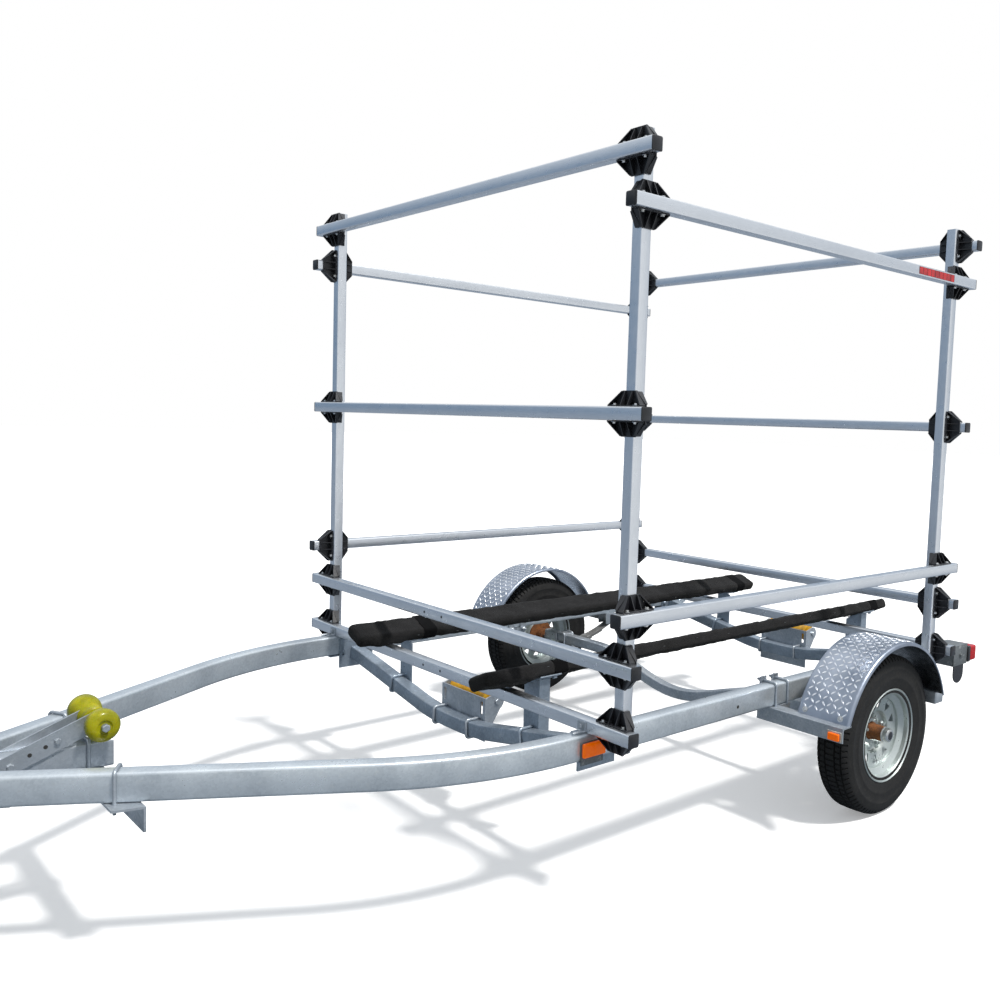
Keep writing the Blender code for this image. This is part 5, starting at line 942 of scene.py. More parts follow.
member_rise = (MEMBER_REACH - MEMBER_BEND_Y) * math.tan(MEMBER_SLOPE)
member_arm = (MEMBER_REACH - MEMBER_BEND_Y) / math.cos(MEMBER_SLOPE) - BEND_HALF
member_bend = (MEMBER_SLOPE, MEMBER_BEND_RADIUS, (1, 0, 0), 6)
for end, member_x in MEMBER_X.items():
    member = bmesh.new()
    feed(member, box_section(MEMBER_TUBE, MEMBER_TUBE, MEMBER_CORNER),
         (member_x, -MEMBER_REACH, MEMBER_MIDDLE + member_rise),
         (0, math.cos(MEMBER_SLOPE), -math.sin(MEMBER_SLOPE)),
         [member_arm, member_bend, 2 * (MEMBER_BEND_Y - BEND_HALF), member_bend, member_arm])
    for side, way in SIDES.items():
        plate_at = on_edge(way * (MEMBER_REACH + PLATE_WALL / 2), member_x, (PLATE_TOP + PLATE_LOW) / 2)
        slotted_plate(member, PLATE_WIDTH, PLATE_TOP - PLATE_LOW, PLATE_WALL, PLATE_SLOTS, SLOT_WIDTH,
                      SLOT_SPAN, plate_at)
        for x in PLATE_SLOTS:
            fastener(member, (member_x + x, way * (MEMBER_REACH - 0.0005), PLATE_BOLT_Z), (0, -way, 0), 0.015,
                     0.007, 0.0016)
        if end == "rear":
            continue
        low_x, high_x = member_x - PLATE_WIDTH / 2 - MARKER_FORE, member_x - PLATE_WIDTH / 2 + MARKER_AFT
        marker_plate = bmesh.new()
        block(marker_plate, (low_x, way * MARKER_SKIN, RAIL_BOTTOM - 0.011),
              (high_x, way * (MARKER_SKIN + 0.004), RAIL_TOP - 0.020), 0.001)
        # The marker plate is painted dark as the shade it lies in below the rail.
        steel_piece(marker_plate, f"side_marker_{side}_plate", (), 32, DARK_GALVANISED)
        block(member, (low_x, way * (MEMBER_REACH + 0.001), RAIL_BOTTOM - 0.0043),
              (high_x, way * (MARKER_SKIN + 0.001), UNDER_RAIL), 0.001)
        marker_lamp = bmesh.new()
        block(marker_lamp, (low_x + 0.0005, way * (MARKER_SKIN + 0.0042), RAIL_BOTTOM + 0.013),
              (high_x, way * (MARKER_SKIN + 0.0160), RAIL_BOTTOM + 0.055), 0.005, 4)
        middle_x = (low_x + high_x) / 2
        block(marker_lamp, (middle_x - 0.0011, way * (MARKER_SKIN + 0.0150), RAIL_BOTTOM + 0.016),
              (middle_x + 0.0011, way * (MARKER_SKIN + 0.0166), RAIL_BOTTOM + 0.052), 0.0005, 1)
        finished(marker_lamp, f"side_marker_{side}", ROOT, AMBER)
    # The cross members wear the darker bluish galvanised, as painted shade and sky reflection.
    steel_piece(member, f"cross_member_{end}_tube", [f"cross_member_{end}"], finish=SHADED_BLUISH_GALVANISED)


def clamp_member(shape, member_x, y, web):
    """A U-bolt round a cross member, with its nuts behind a web of some thickness."""
    height, slope = member_place(y)
    clamp_at = (Matrix.Translation((member_x, y, height)) @ Matrix.Rotation(slope, 4, "X")
                @ Matrix.Rotation(-math.pi / 2, 4, "Z"))
    round_tube = MEMBER_TUBE / 2 + U_BOLT / 2 + FIT
    u_bolt(shape, clamp_at, round_tube, round_tube, MEMBER_TUBE / 2 + FIT + web)


# Bunks
# Timber boards in black needle-felt carpet, wrapped round and stapled, leaning in towards the
# keel. Dark straps go round each near its ends. Each stands on two angles with saddles, clamped
# to the cross members.
BUNK_TILT = math.radians(24)
BUNK_WIDTH, BUNK_THICK = 0.100, 0.044
BUNK_CORNER = 0.014
BUNK_FACE_Y = 0.366
BUNK_FACE_Z = (RAIL_TOP + RACK_TUBE + 0.0006 + BUNK_WIDTH / 2 * math.sin(BUNK_TILT)
               + BUNK_THICK * math.cos(BUNK_TILT))
BUNK_FRONT_X, BUNK_REAR_X = -0.175, 2.145
FELT_BULGE = 0.0048
FELT_FOLD, FELT_FOLD_X, FELT_FOLD_REACH = 0.015, -0.055, 0.13
STRAPS, STRAP_PINCH = (0.130, 2.035), 0.022
STAPLES, STAPLE_PITCH = 13, 0.182
UPRIGHT_Y, UPRIGHT_WIDTH, UPRIGHT_WALL, UPRIGHT_FLANGE = 0.372, 0.076, 0.005, 0.045
SADDLE_BOLT = (0.014, 0.006, 0.0014)


def carpet_finish(name, colour, lint, share, sheen):
    """Needle-felt: matted fibres, faint lint and grit caught in it."""
    made, tree = new_finish(name, 0.96, Sheen_Weight=sheen, Sheen_Roughness=0.6, Specular_IOR_Level=0.12)
    place = object_place(tree)
    fibres = pattern(tree, "Noise", drawn_out(tree, place, (0.5, 1.0, 1.0)), "Fac", Scale=520.0, Detail=3.0,
                     Distortion=1.5)
    nap = pattern(tree, "Noise", place, "Fac", Scale=11.0, Detail=4.0)
    grit = pattern(tree, "Voronoi", place, "Distance", Scale=130.0)
    matted = mix_colours(tree, ranged(tree, nap, 0.35, 0.65), colour, scaled(colour, 1.7))
    fuzzy = mix_colours(tree, ranged(tree, fibres, 0.45, 0.75, 0.0, 0.22), matted, lint)
    specks = math_node(tree, "MULTIPLY", ranged(tree, grit, 0.10, 0.04), share, True)
    return complete(made, fibres, 0.8, 0.0018, Base_Color=mix_colours(tree, specks, fuzzy, lint))


FELT = carpet_finish("bunk_felt", (0.0058, 0.0058, 0.0064), (0.085, 0.082, 0.078), 0.6, 0.07)
STRAP_WEB = carpet_finish("bunk_strap", (0.0012, 0.0012, 0.0015), (0.006, 0.006, 0.007), 0.0, 0.01)


def longer(edges, axis, length):
    """The edges that run further along an axis than a length."""
    return [edge for edge in edges if abs((edge.verts[0].co - edge.verts[1].co)[axis]) > length]


def under_saddle(y):
    """Height of an upright's top edge, under the tilted saddle, at a distance across."""
    drop = (BUNK_THICK + FIT) / math.cos(BUNK_TILT)
    return BUNK_FACE_Z + (y - BUNK_FACE_Y) * math.tan(BUNK_TILT) - drop - 0.0072


for side, way in SIDES.items():
    board_at = (Matrix.Translation((0, way * BUNK_FACE_Y, BUNK_FACE_Z))
                @ Matrix.Rotation(way * BUNK_TILT, 4, "X"))
    felt = bmesh.new()
    bmesh.ops.create_cube(felt, size=1.0)
    bmesh.ops.scale(felt, vec=(BUNK_REAR_X - BUNK_FRONT_X, BUNK_WIDTH, BUNK_THICK), verts=felt.verts)
    rounded(felt, felt.edges[:], BUNK_CORNER, 5)
    bmesh.ops.subdivide_edges(felt, edges=longer(felt.edges, 0, 1.0), cuts=150, use_grid_fill=True)
    bmesh.ops.subdivide_edges(felt, edges=longer(felt.edges, 1, 0.05), cuts=8, use_grid_fill=True)
    middle = Vector(((BUNK_FRONT_X + BUNK_REAR_X) / 2, 0, -BUNK_THICK / 2))
    for vert in felt.verts:
        place = vert.co + middle
        pull = noise.noise(place * 19.0) * 0.7 + noise.noise(place * 61.0) * 0.5
        pinch = sum(math.exp(-((place.x - x) / STRAP_PINCH) ** 2) for x in STRAPS)
        swell = FELT_BULGE * (pull - 0.7 * min(1.0, pinch))
        if place.z < -BUNK_THICK * 0.6:
            loose = max(0.0, 1.0 - abs(place.x - FELT_FOLD_X) / FELT_FOLD_REACH)
            swell += FELT_FOLD * loose * (0.5 + noise.noise(place * 34.0))
        outward = Vector((0, vert.co.y / BUNK_WIDTH, vert.co.z / BUNK_THICK)).normalized()
        vert.co = board_at @ (place + outward * swell)
    finished(felt, f"bunk_{side}_felt", ROOT, FELT, [f"bunk_{side}"], 60)

    straps = bmesh.new()
    for x in STRAPS:
        feed(straps, box_section(BUNK_WIDTH + 0.0022, BUNK_THICK + 0.0022, 0.011, 4),
             board_at @ Vector((x - 0.028, 0, -BUNK_THICK / 2)), (1, 0, 0), [0.008, 0.040, 0.008],
             board_at.to_3x3() @ Vector((0, 0, 1)))
    finished(straps, f"bunk_{side}_straps", ROOT, STRAP_WEB, sharp=50)

    staples = bmesh.new()
    for index in range(STAPLES):
        for edge in (-1, 1):
            staple_at = board_at @ Matrix.Translation((BUNK_FRONT_X + 0.07 + index * STAPLE_PITCH,
                                                       edge * (BUNK_WIDTH / 2 + 0.0006),
                                                       -BUNK_THICK * (0.42 if index % 2 else 0.58)))
            block(staples, (-0.0045, -0.0006, -0.0003), (0.0045, 0.0006, 0.0003), place=staple_at)
    finished(staples, f"bunk_{side}_staples", ROOT, DARK_GALVANISED)

    for end, member_x in MEMBER_X.items():
        stand = bmesh.new()
        web_x = member_x + MEMBER_TUBE / 2 + FIT
        foot = member_place(UPRIGHT_Y)[0] - MEMBER_TUBE / 2 - 0.022
        inner_y, outer_y = UPRIGHT_Y - UPRIGHT_WIDTH / 2, UPRIGHT_Y + UPRIGHT_WIDTH / 2
        sheet(stand, [(inner_y, foot + 0.006), (inner_y + 0.006, foot), (outer_y, foot),
                      (outer_y, under_saddle(outer_y)), (inner_y, under_saddle(inner_y))], UPRIGHT_WALL,
              Matrix.Translation((web_x + UPRIGHT_WALL / 2, 0, 0)) @ Matrix.Diagonal((1, way, 1, 1))
              @ TURNED_ON)
        block(stand, (web_x + UPRIGHT_WALL, way * (outer_y - UPRIGHT_WALL), foot),
              (web_x + UPRIGHT_FLANGE, way * outer_y, under_saddle(outer_y) - 0.003), 0.001, 1)
        saddle_at = board_at @ Matrix.Translation((web_x, 0, -BUNK_THICK - 0.0015))
        block(stand, (-0.010, -BUNK_WIDTH / 2 + 0.006, -UPRIGHT_WALL), (0.080, BUNK_WIDTH / 2 - 0.006, 0),
              0.0012, 1, saddle_at)
        for y in (-0.030, 0.030):
            fastener(stand, saddle_at @ Vector((0.058, y, -UPRIGHT_WALL)),
                     saddle_at.to_3x3() @ Vector((0, 0, -1)), *SADDLE_BOLT)
        clamp_member(stand, member_x, way * (UPRIGHT_Y + 0.014), UPRIGHT_WALL)
        # Painted shade: the stands wear the darker bluish galvanised.
        steel_piece(stand, f"bunk_stand_{end}_{side}", [f"bunk_upright_{end}_{side}"],
                    finish=SHADED_BLUISH_GALVANISED)


# Keel rollers
# Cast urethane rollers, waisted so that the keel finds the middle, each in a folded bracket
# clamped behind a cross member. A bolt through curved ears is the pin.
KEEL_Z, KEEL_TOP = 0.384, 0.402
KEEL_WALL = 0.005
KEEL_HALF = 0.128
KEEL_DROP = {"front": 0.020, "rear": 0.045}
KEEL_SETBACK = 0.052
KEEL_SLOTS, KEEL_SLOT_WIDTH, KEEL_SLOT_HEIGHT = (-KEEL_HALF + 0.020, KEEL_HALF - 0.020), 0.013, 0.045
KEEL_PIN = 0.0083
EAR_RADIUS, EAR_LOW = 0.030, 0.305
ROLLER_HALF, ROLLER_END, ROLLER_WAIST, ROLLER_BORE = 0.1075, 0.040, 0.026, 0.0087


def urethane_finish(name, light, deep):
    """Cast urethane: glossy, faintly clouded, scuffed where boats ride on it."""
    made, tree = new_finish(name, 0.25, Coat_Weight=0.12, Coat_Roughness=0.12, Specular_IOR_Level=0.25,
                            Subsurface_Weight=0.08)
    clouds = use_group(tree, STRETCHED_NOISE, Scale=34.0)
    milky = mix_colours(tree, ranged(tree, clouds["Coarse"], 0.35, 0.65), light, deep)
    scuffs = ranged(tree, clouds["Fine"], 0.60, 0.75, 0.0, 0.30)
    scuffed = mix_colours(tree, scuffs, milky, scaled(deep, 0.45))
    dusty, _ = dusted(tree, scuffed, 30.0, 0.06, (0.5, 0.45, 0.25))
    return complete(made, clouds["Fine"], 0.10, 0.0006, Base_Color=dusty,
                    Roughness=ranged(tree, clouds["Fine"], 0.35, 0.70, 0.18, 0.42))


LEMON = urethane_finish("lemon_urethane", (0.38, 0.365, 0.001), (0.22, 0.22, 0.001))
ORANGE_YELLOW = urethane_finish("orange_yellow_urethane", (0.72, 0.40, 0.030), (0.55, 0.27, 0.010))


def arc(radius, start, stop, steps, x=0.0, y=0.0):
    """Points on a circle from one angle to another, in degrees."""
    angles = [math.radians(start + (stop - start) * step / steps) for step in range(steps + 1)]
    return [(x + radius * math.cos(angle), y + radius * math.sin(angle)) for angle in angles]


roller_end = [(ROLLER_BORE, -ROLLER_HALF), (0.030, -ROLLER_HALF), (0.0375, -ROLLER_HALF + 0.0015),
              (ROLLER_END, -ROLLER_HALF + 0.006), (ROLLER_END, -ROLLER_HALF + 0.014),
              (ROLLER_END - 0.002, -ROLLER_HALF + 0.018)]
roller_waist = [(ROLLER_WAIST + (ROLLER_END - 0.004 - ROLLER_WAIST) * (step / 8) ** 2,
                 step / 8 * (ROLLER_HALF - 0.024)) for step in range(-8, 9)]
roller_profile = roller_end + roller_waist + [(radius, -offset) for radius, offset in reversed(roller_end)]
for end, member_x in MEMBER_X.items():
    folded = bmesh.new()
    web_x = member_x + MEMBER_TUBE / 2 + FIT
    pin_x = web_x + KEEL_SETBACK
    foot = MEMBER_MIDDLE - MEMBER_TUBE / 2 - KEEL_DROP[end]
    middle_z = (KEEL_TOP + foot) / 2
    slot_top = KEEL_TOP - middle_z - 0.0135
    slotted_plate(folded, 2 * KEEL_HALF, KEEL_TOP - foot, KEEL_WALL, KEEL_SLOTS, KEEL_SLOT_WIDTH,
                  (slot_top - KEEL_SLOT_HEIGHT, slot_top),
                  Matrix.Translation((web_x + KEEL_WALL / 2, 0, middle_z)) @ TURNED_ON)
    ear = [(web_x + KEEL_WALL, EAR_LOW), (web_x + KEEL_SETBACK * 0.6, EAR_LOW),
           *arc(EAR_RADIUS, -60, 90, 9, pin_x, KEEL_Z), (web_x + KEEL_WALL, KEEL_Z + EAR_RADIUS * 0.6)]
    for way in (-1, 1):
        sheet(folded, ear, KEEL_WALL, on_edge(way * (KEEL_HALF - KEEL_WALL / 2)))
        fastener(folded, (pin_x, way * KEEL_HALF, KEEL_Z), (0, way, 0), 0.019, 0.0068)
        clamp_member(folded, member_x, way * (KEEL_HALF - 0.030), KEEL_WALL)
    rod(folded, (pin_x, -KEEL_HALF + KEEL_WALL / 2, KEEL_Z), (0, 1, 0), KEEL_PIN, 2 * KEEL_HALF - KEEL_WALL)
    steel_piece(folded, f"keel_bracket_{end}_folded", [f"keel_bracket_{end}"])

    roller = bmesh.new()
    turned(roller, roller_profile, heading_frame((pin_x, 0, KEEL_Z), (0, 1, 0)), 48, True)
    finished(roller, f"keel_roller_{end}_urethane", f"{end}_keel_roller", ORANGE_YELLOW,
             [f"keel_roller_{end}"], 40)


# Bow roller
# A waisted spool between two flat arms and a bell outside each, on one bolt. The arms lean back
# from the tongue, with spare holes, and a second bolt holds them together.
BOW_X, BOW_Z = -1.164, 0.529
FOOT_X, FOOT_Z = -1.380, 0.447
ARM_WIDTH, ARM_WALL = 0.050, 0.006
ARM_INNER = BOX_WIDTH / 2 + FIT
ARM_OUTER = ARM_INNER + ARM_WALL
ARM_HOLES, HOLE_RADIUS = (0.26, 0.43), 0.0055
SPACER_SHARE, SPACER_RADIUS = 0.56, 0.005
BELL_RADIUS, BELL_LENGTH = 0.0435, 0.072
BOW_PIN, BOW_BORE = 0.0095, 0.0098
BOW_REACH = ARM_OUTER + BELL_LENGTH + 0.0006
SPOOL_HALF, SPOOL_RADIUS = ARM_INNER - 0.0006, 0.034
# Shares of a bell's length and radius, from its inner end
BELL_PROFILE = ((0.0, 0.50), (0.06, 0.52), (0.14, 0.58), (0.26, 0.76), (0.36, 0.88), (0.46, 0.96),
                (0.58, 0.995), (0.68, 1.0), (0.78, 0.985), (0.87, 0.92), (0.94, 0.82), (0.98, 0.69),
                (1.0, 0.54), (0.992, 0.43), (0.955, 0.385), (0.945, 0.30))
arm_foot = Vector((FOOT_X, 0, FOOT_Z))
lean_way = Vector((BOW_X, 0, BOW_Z)) - arm_foot
arm_length = lean_way.length
half = ARM_WIDTH / 2
outline = [(-half * 0.6, -half), *arc(half, -90, 90, 12, arm_length), (-half * 0.6, half)]
spacer_at = arm_foot + lean_way * SPACER_SHARE
spacer_at.z = max(spacer_at.z, RAIL_TOP + 0.007)
arms = bmesh.new()
for way in (-1, 1):
    lean = Matrix.Rotation(-math.atan2(lean_way.z, lean_way.x), 4, "Y")
    arm_at = Matrix.Translation((FOOT_X, way * (ARM_INNER + ARM_WALL / 2), FOOT_Z)) @ lean @ on_edge(0.0)
    sheet(arms, outline, ARM_WALL, arm_at)
    fastener(arms, (spacer_at.x, way * ARM_OUTER, spacer_at.z), (0, way, 0), 0.014, 0.007)
    fastener(arms, (FOOT_X + 0.012, way * ARM_OUTER, FOOT_Z), (0, way, 0), 0.016, 0.007)
    fastener(arms, (BOW_X, way * BOW_REACH, BOW_Z), (0, way, 0), 0.0185, 0.010)
rod(arms, (spacer_at.x, -ARM_OUTER, spacer_at.z), (0, 1, 0), SPACER_RADIUS, 2 * ARM_OUTER, 20)
rod(arms, (BOW_X, -BOW_REACH, BOW_Z), (0, 1, 0), BOW_PIN, 2 * BOW_REACH)
steel_piece(arms, "bow_roller_arms_pair", ["bow_roller_arms"])


def hole(shape, place, way, radius, sides=20):
    """A dark disc, painted shade standing for the mouth of a drilled hole."""
    bmesh.ops.create_circle(shape, cap_ends=True, segments=sides, radius=radius,
                            matrix=heading_frame(place, way))


# The arms' spare holes are dark discs of painted shade.
arm_holes = bmesh.new()
for way in (-1, 1):
    for share in ARM_HOLES:
        hole(arm_holes, arm_foot + lean_way * share + Vector((0, way * (ARM_OUTER + 0.0002), 0)), (0, way, 0),
             HOLE_RADIUS)
# Painted shade: the colour of a hole's dark inside, varied a little by noise.
painted_hole_shade, hole_tree = new_finish("painted_hole_shade", 0.9)
hole_shade_noise = use_group(hole_tree, STRETCHED_NOISE, Scale=200.0)["Fine"]
hole_colour = mix_colours(hole_tree, hole_shade_noise, (0.018, 0.018, 0.018), (0.045, 0.045, 0.045))
complete(painted_hole_shade, Base_Color=hole_colour)
steel_piece(arm_holes, "bow_roller_arm_holes", sharp=32, finish=painted_hole_shade)

spool = bmesh.new()
spool_end = [(BOW_BORE, -SPOOL_HALF), (0.0300, -SPOOL_HALF), (0.0325, -SPOOL_HALF + 0.0015)]
spool_waist = [(SPOOL_RADIUS * (0.80 + 0.20 * (step / 6) ** 2), step / 6 * (SPOOL_HALF - 0.0035))
               for step in range(-6, 7)]
turned(spool, spool_end + spool_waist + [(radius, -offset) for radius, offset in reversed(spool_end)],
       heading_frame((BOW_X, 0, BOW_Z), (0, 1, 0)), 48, True)
finished(spool, "bow_spool_urethane", "bow_spool", LEMON, ["bow_roller_spool"], 40)
for side, way in SIDES.items():
    bell = bmesh.new()
    profile = [(BOW_BORE, 0.0)]
    profile += [(BELL_RADIUS * radius, BELL_LENGTH * share) for share, radius in BELL_PROFILE]
    turned(bell, profile + [(BOW_BORE, BELL_LENGTH * 0.945)],
           heading_frame((BOW_X, way * (ARM_OUTER + FIT), BOW_Z), (0, way, 0)), 48, True)
    finished(bell, f"bow_bell_{side}_urethane", f"bow_bell_{side}", LEMON,
             [f"bow_roller_bell_{side}"], 40)


# Axle
# Square tube with round corners, bowed down in the middle so that a hull clears it, with a spindle
# at each end. A plate under each spring and two U-bolts over the axle hold the leaves.
AXLE_TUBE, AXLE_CORNER = 0.044, 0.007
AXLE_END_Z = 0.305
AXLE_DROP, AXLE_BOW_HALF = 0.100, 0.5
AXLE_HALF = 0.852
AXLE_STEPS = 72
WHEEL_Y, WHEEL_Z = 0.933, 0.285
PAD, PAD_TOP, PAD_WALL = 0.100, 0.2584, 0.008
HOOP_Z, HOOP_LIFT, HOOP_BASE = 0.2944, 0.02955, 0.0377


def axle_middle(y):
    """Height of the axle's centre line."""
    return AXLE_END_Z - AXLE_DROP * math.cos(math.pi / 2 * min(1.0, abs(y) / AXLE_BOW_HALF)) ** 2


axle = bmesh.new()
stations = [-AXLE_HALF + 2 * AXLE_HALF * step / AXLE_STEPS for step in range(AXLE_STEPS + 1)]
centres = [Vector((AXLE_X, y, axle_middle(y))) for y in stations]
heading = HEADINGS["y"]
face = box_section(AXLE_TUBE, AXLE_TUBE, AXLE_CORNER)(axle, heading_frame(centres[0], heading))
for before, here, after in zip(centres, centres[1:], centres[2:] + [centres[-1] + HEADINGS["y"]]):
    next_heading = ((here - before).normalized() + (after - here).normalized()).normalized()
    verts, face = extruded(axle, face, Vector())
    turn = heading.rotation_difference(next_heading).to_matrix().to_4x4()
    bmesh.ops.transform(axle, matrix=Matrix.Translation(here) @ turn @ Matrix.Translation(-before),
                        verts=verts)
    heading = next_heading
for way in SIDES.values():
    turned(axle, [(0, 0), (0.0190, 0), (0.0190, 0.012), (0.0135, 0.020), (0.0135, 0.133), (0, 0.133)],
           heading_frame((AXLE_X, way * (AXLE_HALF - 0.010), WHEEL_Z), (0, way, 0)), 24)
    pad_y = way * RAIL_Y
    block(axle, (AXLE_X - PAD / 2, pad_y - PAD / 2, PAD_TOP - PAD_WALL),
          (AXLE_X + PAD / 2, pad_y + PAD / 2, PAD_TOP), 0.003)
    for across in (-1, 1):
        hoop_x = AXLE_X + across * (AXLE_TUBE / 2 + U_BOLT / 2 + FIT)
        u_bolt(axle, Matrix.Translation((hoop_x, pad_y, HOOP_Z)) @ LEGS_DOWN, HOOP_LIFT, HOOP_BASE,
               HOOP_Z - PAD_TOP + PAD_WALL, 0.012)
    block(axle, (AXLE_X - 0.030, pad_y - 0.028, 0.3262), (AXLE_X + 0.030, pad_y + 0.028, 0.3300), 0.001, 1)
finished(axle, "axle_tube_and_plates", "axle_assembly", GALVANISED, ["axle"], 30)


# Leaf springs
# Four leaves under each rail, longest on top, bound by a centre bolt and two clips. The longest
# ends in an eye round the front pin and slides on the rear hanger.
LEAF_RADIUS, LEAF_FLAT, LEAF_TOP = 0.661, 0.024, 0.2827
LEAF_WALL, LEAF_GAP = 0.006, 0.0003
LEAF_HALVES, LEAF_STEPS = (0.300, 0.235, 0.165, 0.095), 40
EYE_HOLE = 0.0062
CLIP_X = 0.140
ARC_CENTRE_Z = LEAF_TOP + math.sqrt(LEAF_RADIUS ** 2 - LEAF_FLAT ** 2)
SPRING_STEEL = galvanised_finish("spring_steel", (0.30, 0.31, 0.31), (0.17, 0.165, 0.16), 0.45, 0.5)


def leaf_height(x, depth):
    """Height of a leaf's upper face, some depth below the top leaf's."""
    away = abs(x - AXLE_X)
    if away <= LEAF_FLAT:
        return LEAF_TOP - depth
    return ARC_CENTRE_Z - math.sqrt((LEAF_RADIUS + depth) ** 2 - away ** 2)


for side, way in SIDES.items():
    leaves = bmesh.new()
    leaf_y = way * RAIL_Y
    for index, half in enumerate(LEAF_HALVES):
        depth = index * LEAF_WALL
        start, stop = AXLE_X - half, AXLE_X + half
        width = SPRING_WIDTH - 0.0012
        if index == 0:
            start, width = EYE_X + 0.006, SPRING_WIDTH
        xs = [start + (stop - start) * step / LEAF_STEPS for step in range(LEAF_STEPS + 1)]
        upper = [(x, leaf_height(x, depth + LEAF_GAP)) for x in xs]
        lower = [(x, leaf_height(x, depth + LEAF_WALL)) for x in reversed(xs)]
        sheet(leaves, upper + lower, width, on_edge(leaf_y))
    turned(leaves, [(EYE_HOLE, 0), (EYE_RADIUS, 0), (EYE_RADIUS, SPRING_WIDTH), (EYE_HOLE, SPRING_WIDTH)],
           heading_frame((EYE_X, leaf_y - SPRING_WIDTH / 2, EYE_Z), (0, 1, 0)), 32, True)
    for clip_x in (AXLE_X - CLIP_X, AXLE_X + CLIP_X):
        top = leaf_height(clip_x, 0)
        tilt = math.atan2(clip_x - AXLE_X, ARC_CENTRE_Z - top)
        block(leaves, (-0.011, -SPRING_WIDTH / 2 - 0.0006, -3 * LEAF_WALL - 0.002),
              (0.011, SPRING_WIDTH / 2 + 0.0006, 0.0018), 0.0012, 1,
              Matrix.Translation((clip_x, leaf_y, top)) @ Matrix.Rotation(-tilt, 4, "Y"))
    fastener(leaves, (AXLE_X, leaf_y, LEAF_TOP - 4 * LEAF_WALL + 0.0012), (0, 0, -1), 0.014, 0.0004)
    spring = finished(leaves, f"leaf_spring_{side}_leaves", None, SPRING_STEEL,
                      [f"leaf_spring_{side}"], 28)
    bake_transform(spring)


# Tyres
# Small trailer tyres: a flat crown of five rows of blocks, staggered between four grooves, cross-cut
# shoulders, and matt sidewalls with two moulded rings.
TYRE_STEPS, BLOCK_STEPS = 252, 3
TREAD_CUT, TREAD_TAPER = 0.0045, 0.0010
CENTRE_ROW, SIDE_ROW, SHOULDER = 0.0155, (0.0210, 0.0385), 0.0440
CROWN_RADIUS, SHOULDER_RADIUS = 0.2815, 0.262
tyre_half = [(0.1512, 0.0360), (0.1512, 0.0549), (0.1585, 0.0562), (0.1650, 0.0549), (0.1700, 0.0565),
             (0.186, 0.0605), (0.2000, 0.0618), (0.2035, 0.0632), (0.2070, 0.0632), (0.2100, 0.0624),
             (0.2350, 0.0628), (0.2380, 0.0640), (0.2410, 0.0640), (0.2440, 0.0630), (0.256, 0.0620),
             (0.266, 0.0585), (0.2750, 0.0535), (0.2822, 0.0445), (0.2765, 0.0430), (0.2765, 0.0395),
             (0.2838, 0.0380), (0.2844, 0.0215), (0.2768, 0.0200), (0.2768, 0.0165), (0.2848, 0.0150)]
WHEELS = {side: heading_frame((AXLE_X, way * WHEEL_Y, WHEEL_Z), (0, way, 0))
          for side, way in SIDES.items()}


def rubber_finish():
    """Tyre rubber: dark grey, with a brownish bloom and road dust."""
    made, tree = new_finish("tyre_rubber", 0.78, Specular_IOR_Level=0.35)
    clouds = use_group(tree, STRETCHED_NOISE, Scale=16.0)
    grey = mix_colours(tree, ranged(tree, clouds["Coarse"], 0.3, 0.7), (0.0065, 0.0068, 0.0075),
                       (0.014, 0.014, 0.0145))
    bloom = mix_colours(tree, ranged(tree, clouds["Fine"], 0.50, 0.72, 0.0, 0.40), grey,
                        (0.034, 0.031, 0.027))
    dusty, _ = dusted(tree, bloom, 18.0, 0.18, (0.08, 0.075, 0.065))
    return complete(made, clouds["Fine"], 0.20, 0.0008, Base_Color=dusty)


def mirrored_profile(half):
    """A profile of (radius, offset), followed by its mirror image back again."""
    return half + [(radius, -offset) for radius, offset in reversed(half)]


RUBBER = rubber_finish()
for side, hub_at in WHEELS.items():
    tyre = bmesh.new()
    turned(tyre, mirrored_profile(tyre_half), hub_at, TYRE_STEPS, True)
    to_hub = hub_at.inverted()
    cuts = []
    for face in tyre.faces:
        middle = to_hub @ face.calc_center_median()
        across = abs(middle.z)
        lowest = min((to_hub @ vert.co).xy.length for vert in face.verts)
        on_row = across < CENTRE_ROW or SIDE_ROW[0] < across < SIDE_ROW[1]
        if not (lowest > CROWN_RADIUS and on_row or lowest > SHOULDER_RADIUS and across > SHOULDER):
            continue
        step = int((math.atan2(middle.y, middle.x) / math.pi + 1) * TYRE_STEPS / 2)
        stagger = 0 if across < CENTRE_ROW else 1 if across < SHOULDER else 2
        if (step + stagger + (middle.z > 0)) % BLOCK_STEPS == 0:
            cuts.append(face)
    bmesh.ops.inset_region(tyre, faces=cuts, thickness=TREAD_TAPER, depth=-TREAD_CUT, use_even_offset=True)
    finished(tyre, f"tyre_{side}_treaded", f"{side}_wheel", RUBBER, [f"tyre_{side}"], 34)


# Rims and hubs
# Galvanised pressed rims with a dished disc, ten three-cornered windows and five nuts. The hub
# barrel is bare iron, rusted orange, with a bright dust cap that has a dark rubber plug.
RIM_WALL = 0.0035
DISC_WALL = 0.0050
WINDOWS, WINDOW_RADIUS, WINDOW_SIZE, WINDOW_CORNER = 10, 0.098, 0.0215, 0.0045
PUNCH_Z, PUNCH_DEPTH = 0.010, 0.030
WHEEL_NUTS, NUT_CIRCLE = 5, 0.05715
rim_half = [(0.1640, 0.0572), (0.1655, 0.0590), (0.1672, 0.0575), (0.1655, 0.0552), (0.1618, 0.0548),
            (0.1540, 0.0540), (0.1505, 0.0500), (0.1505, 0.0350), (0.1470, 0.0320), (0.1330, 0.0240),
            (0.1305, 0.0220)]
disc_face = [(0.033, -0.0120), (0.0440, -0.0120), (0.0460, -0.0100), (0.0675, -0.0100), (0.0705, -0.0080),
             (0.0765, 0.0080), (0.0800, 0.0100), (0.1130, 0.0115), (0.1180, 0.0140), (0.1268, 0.0140)]
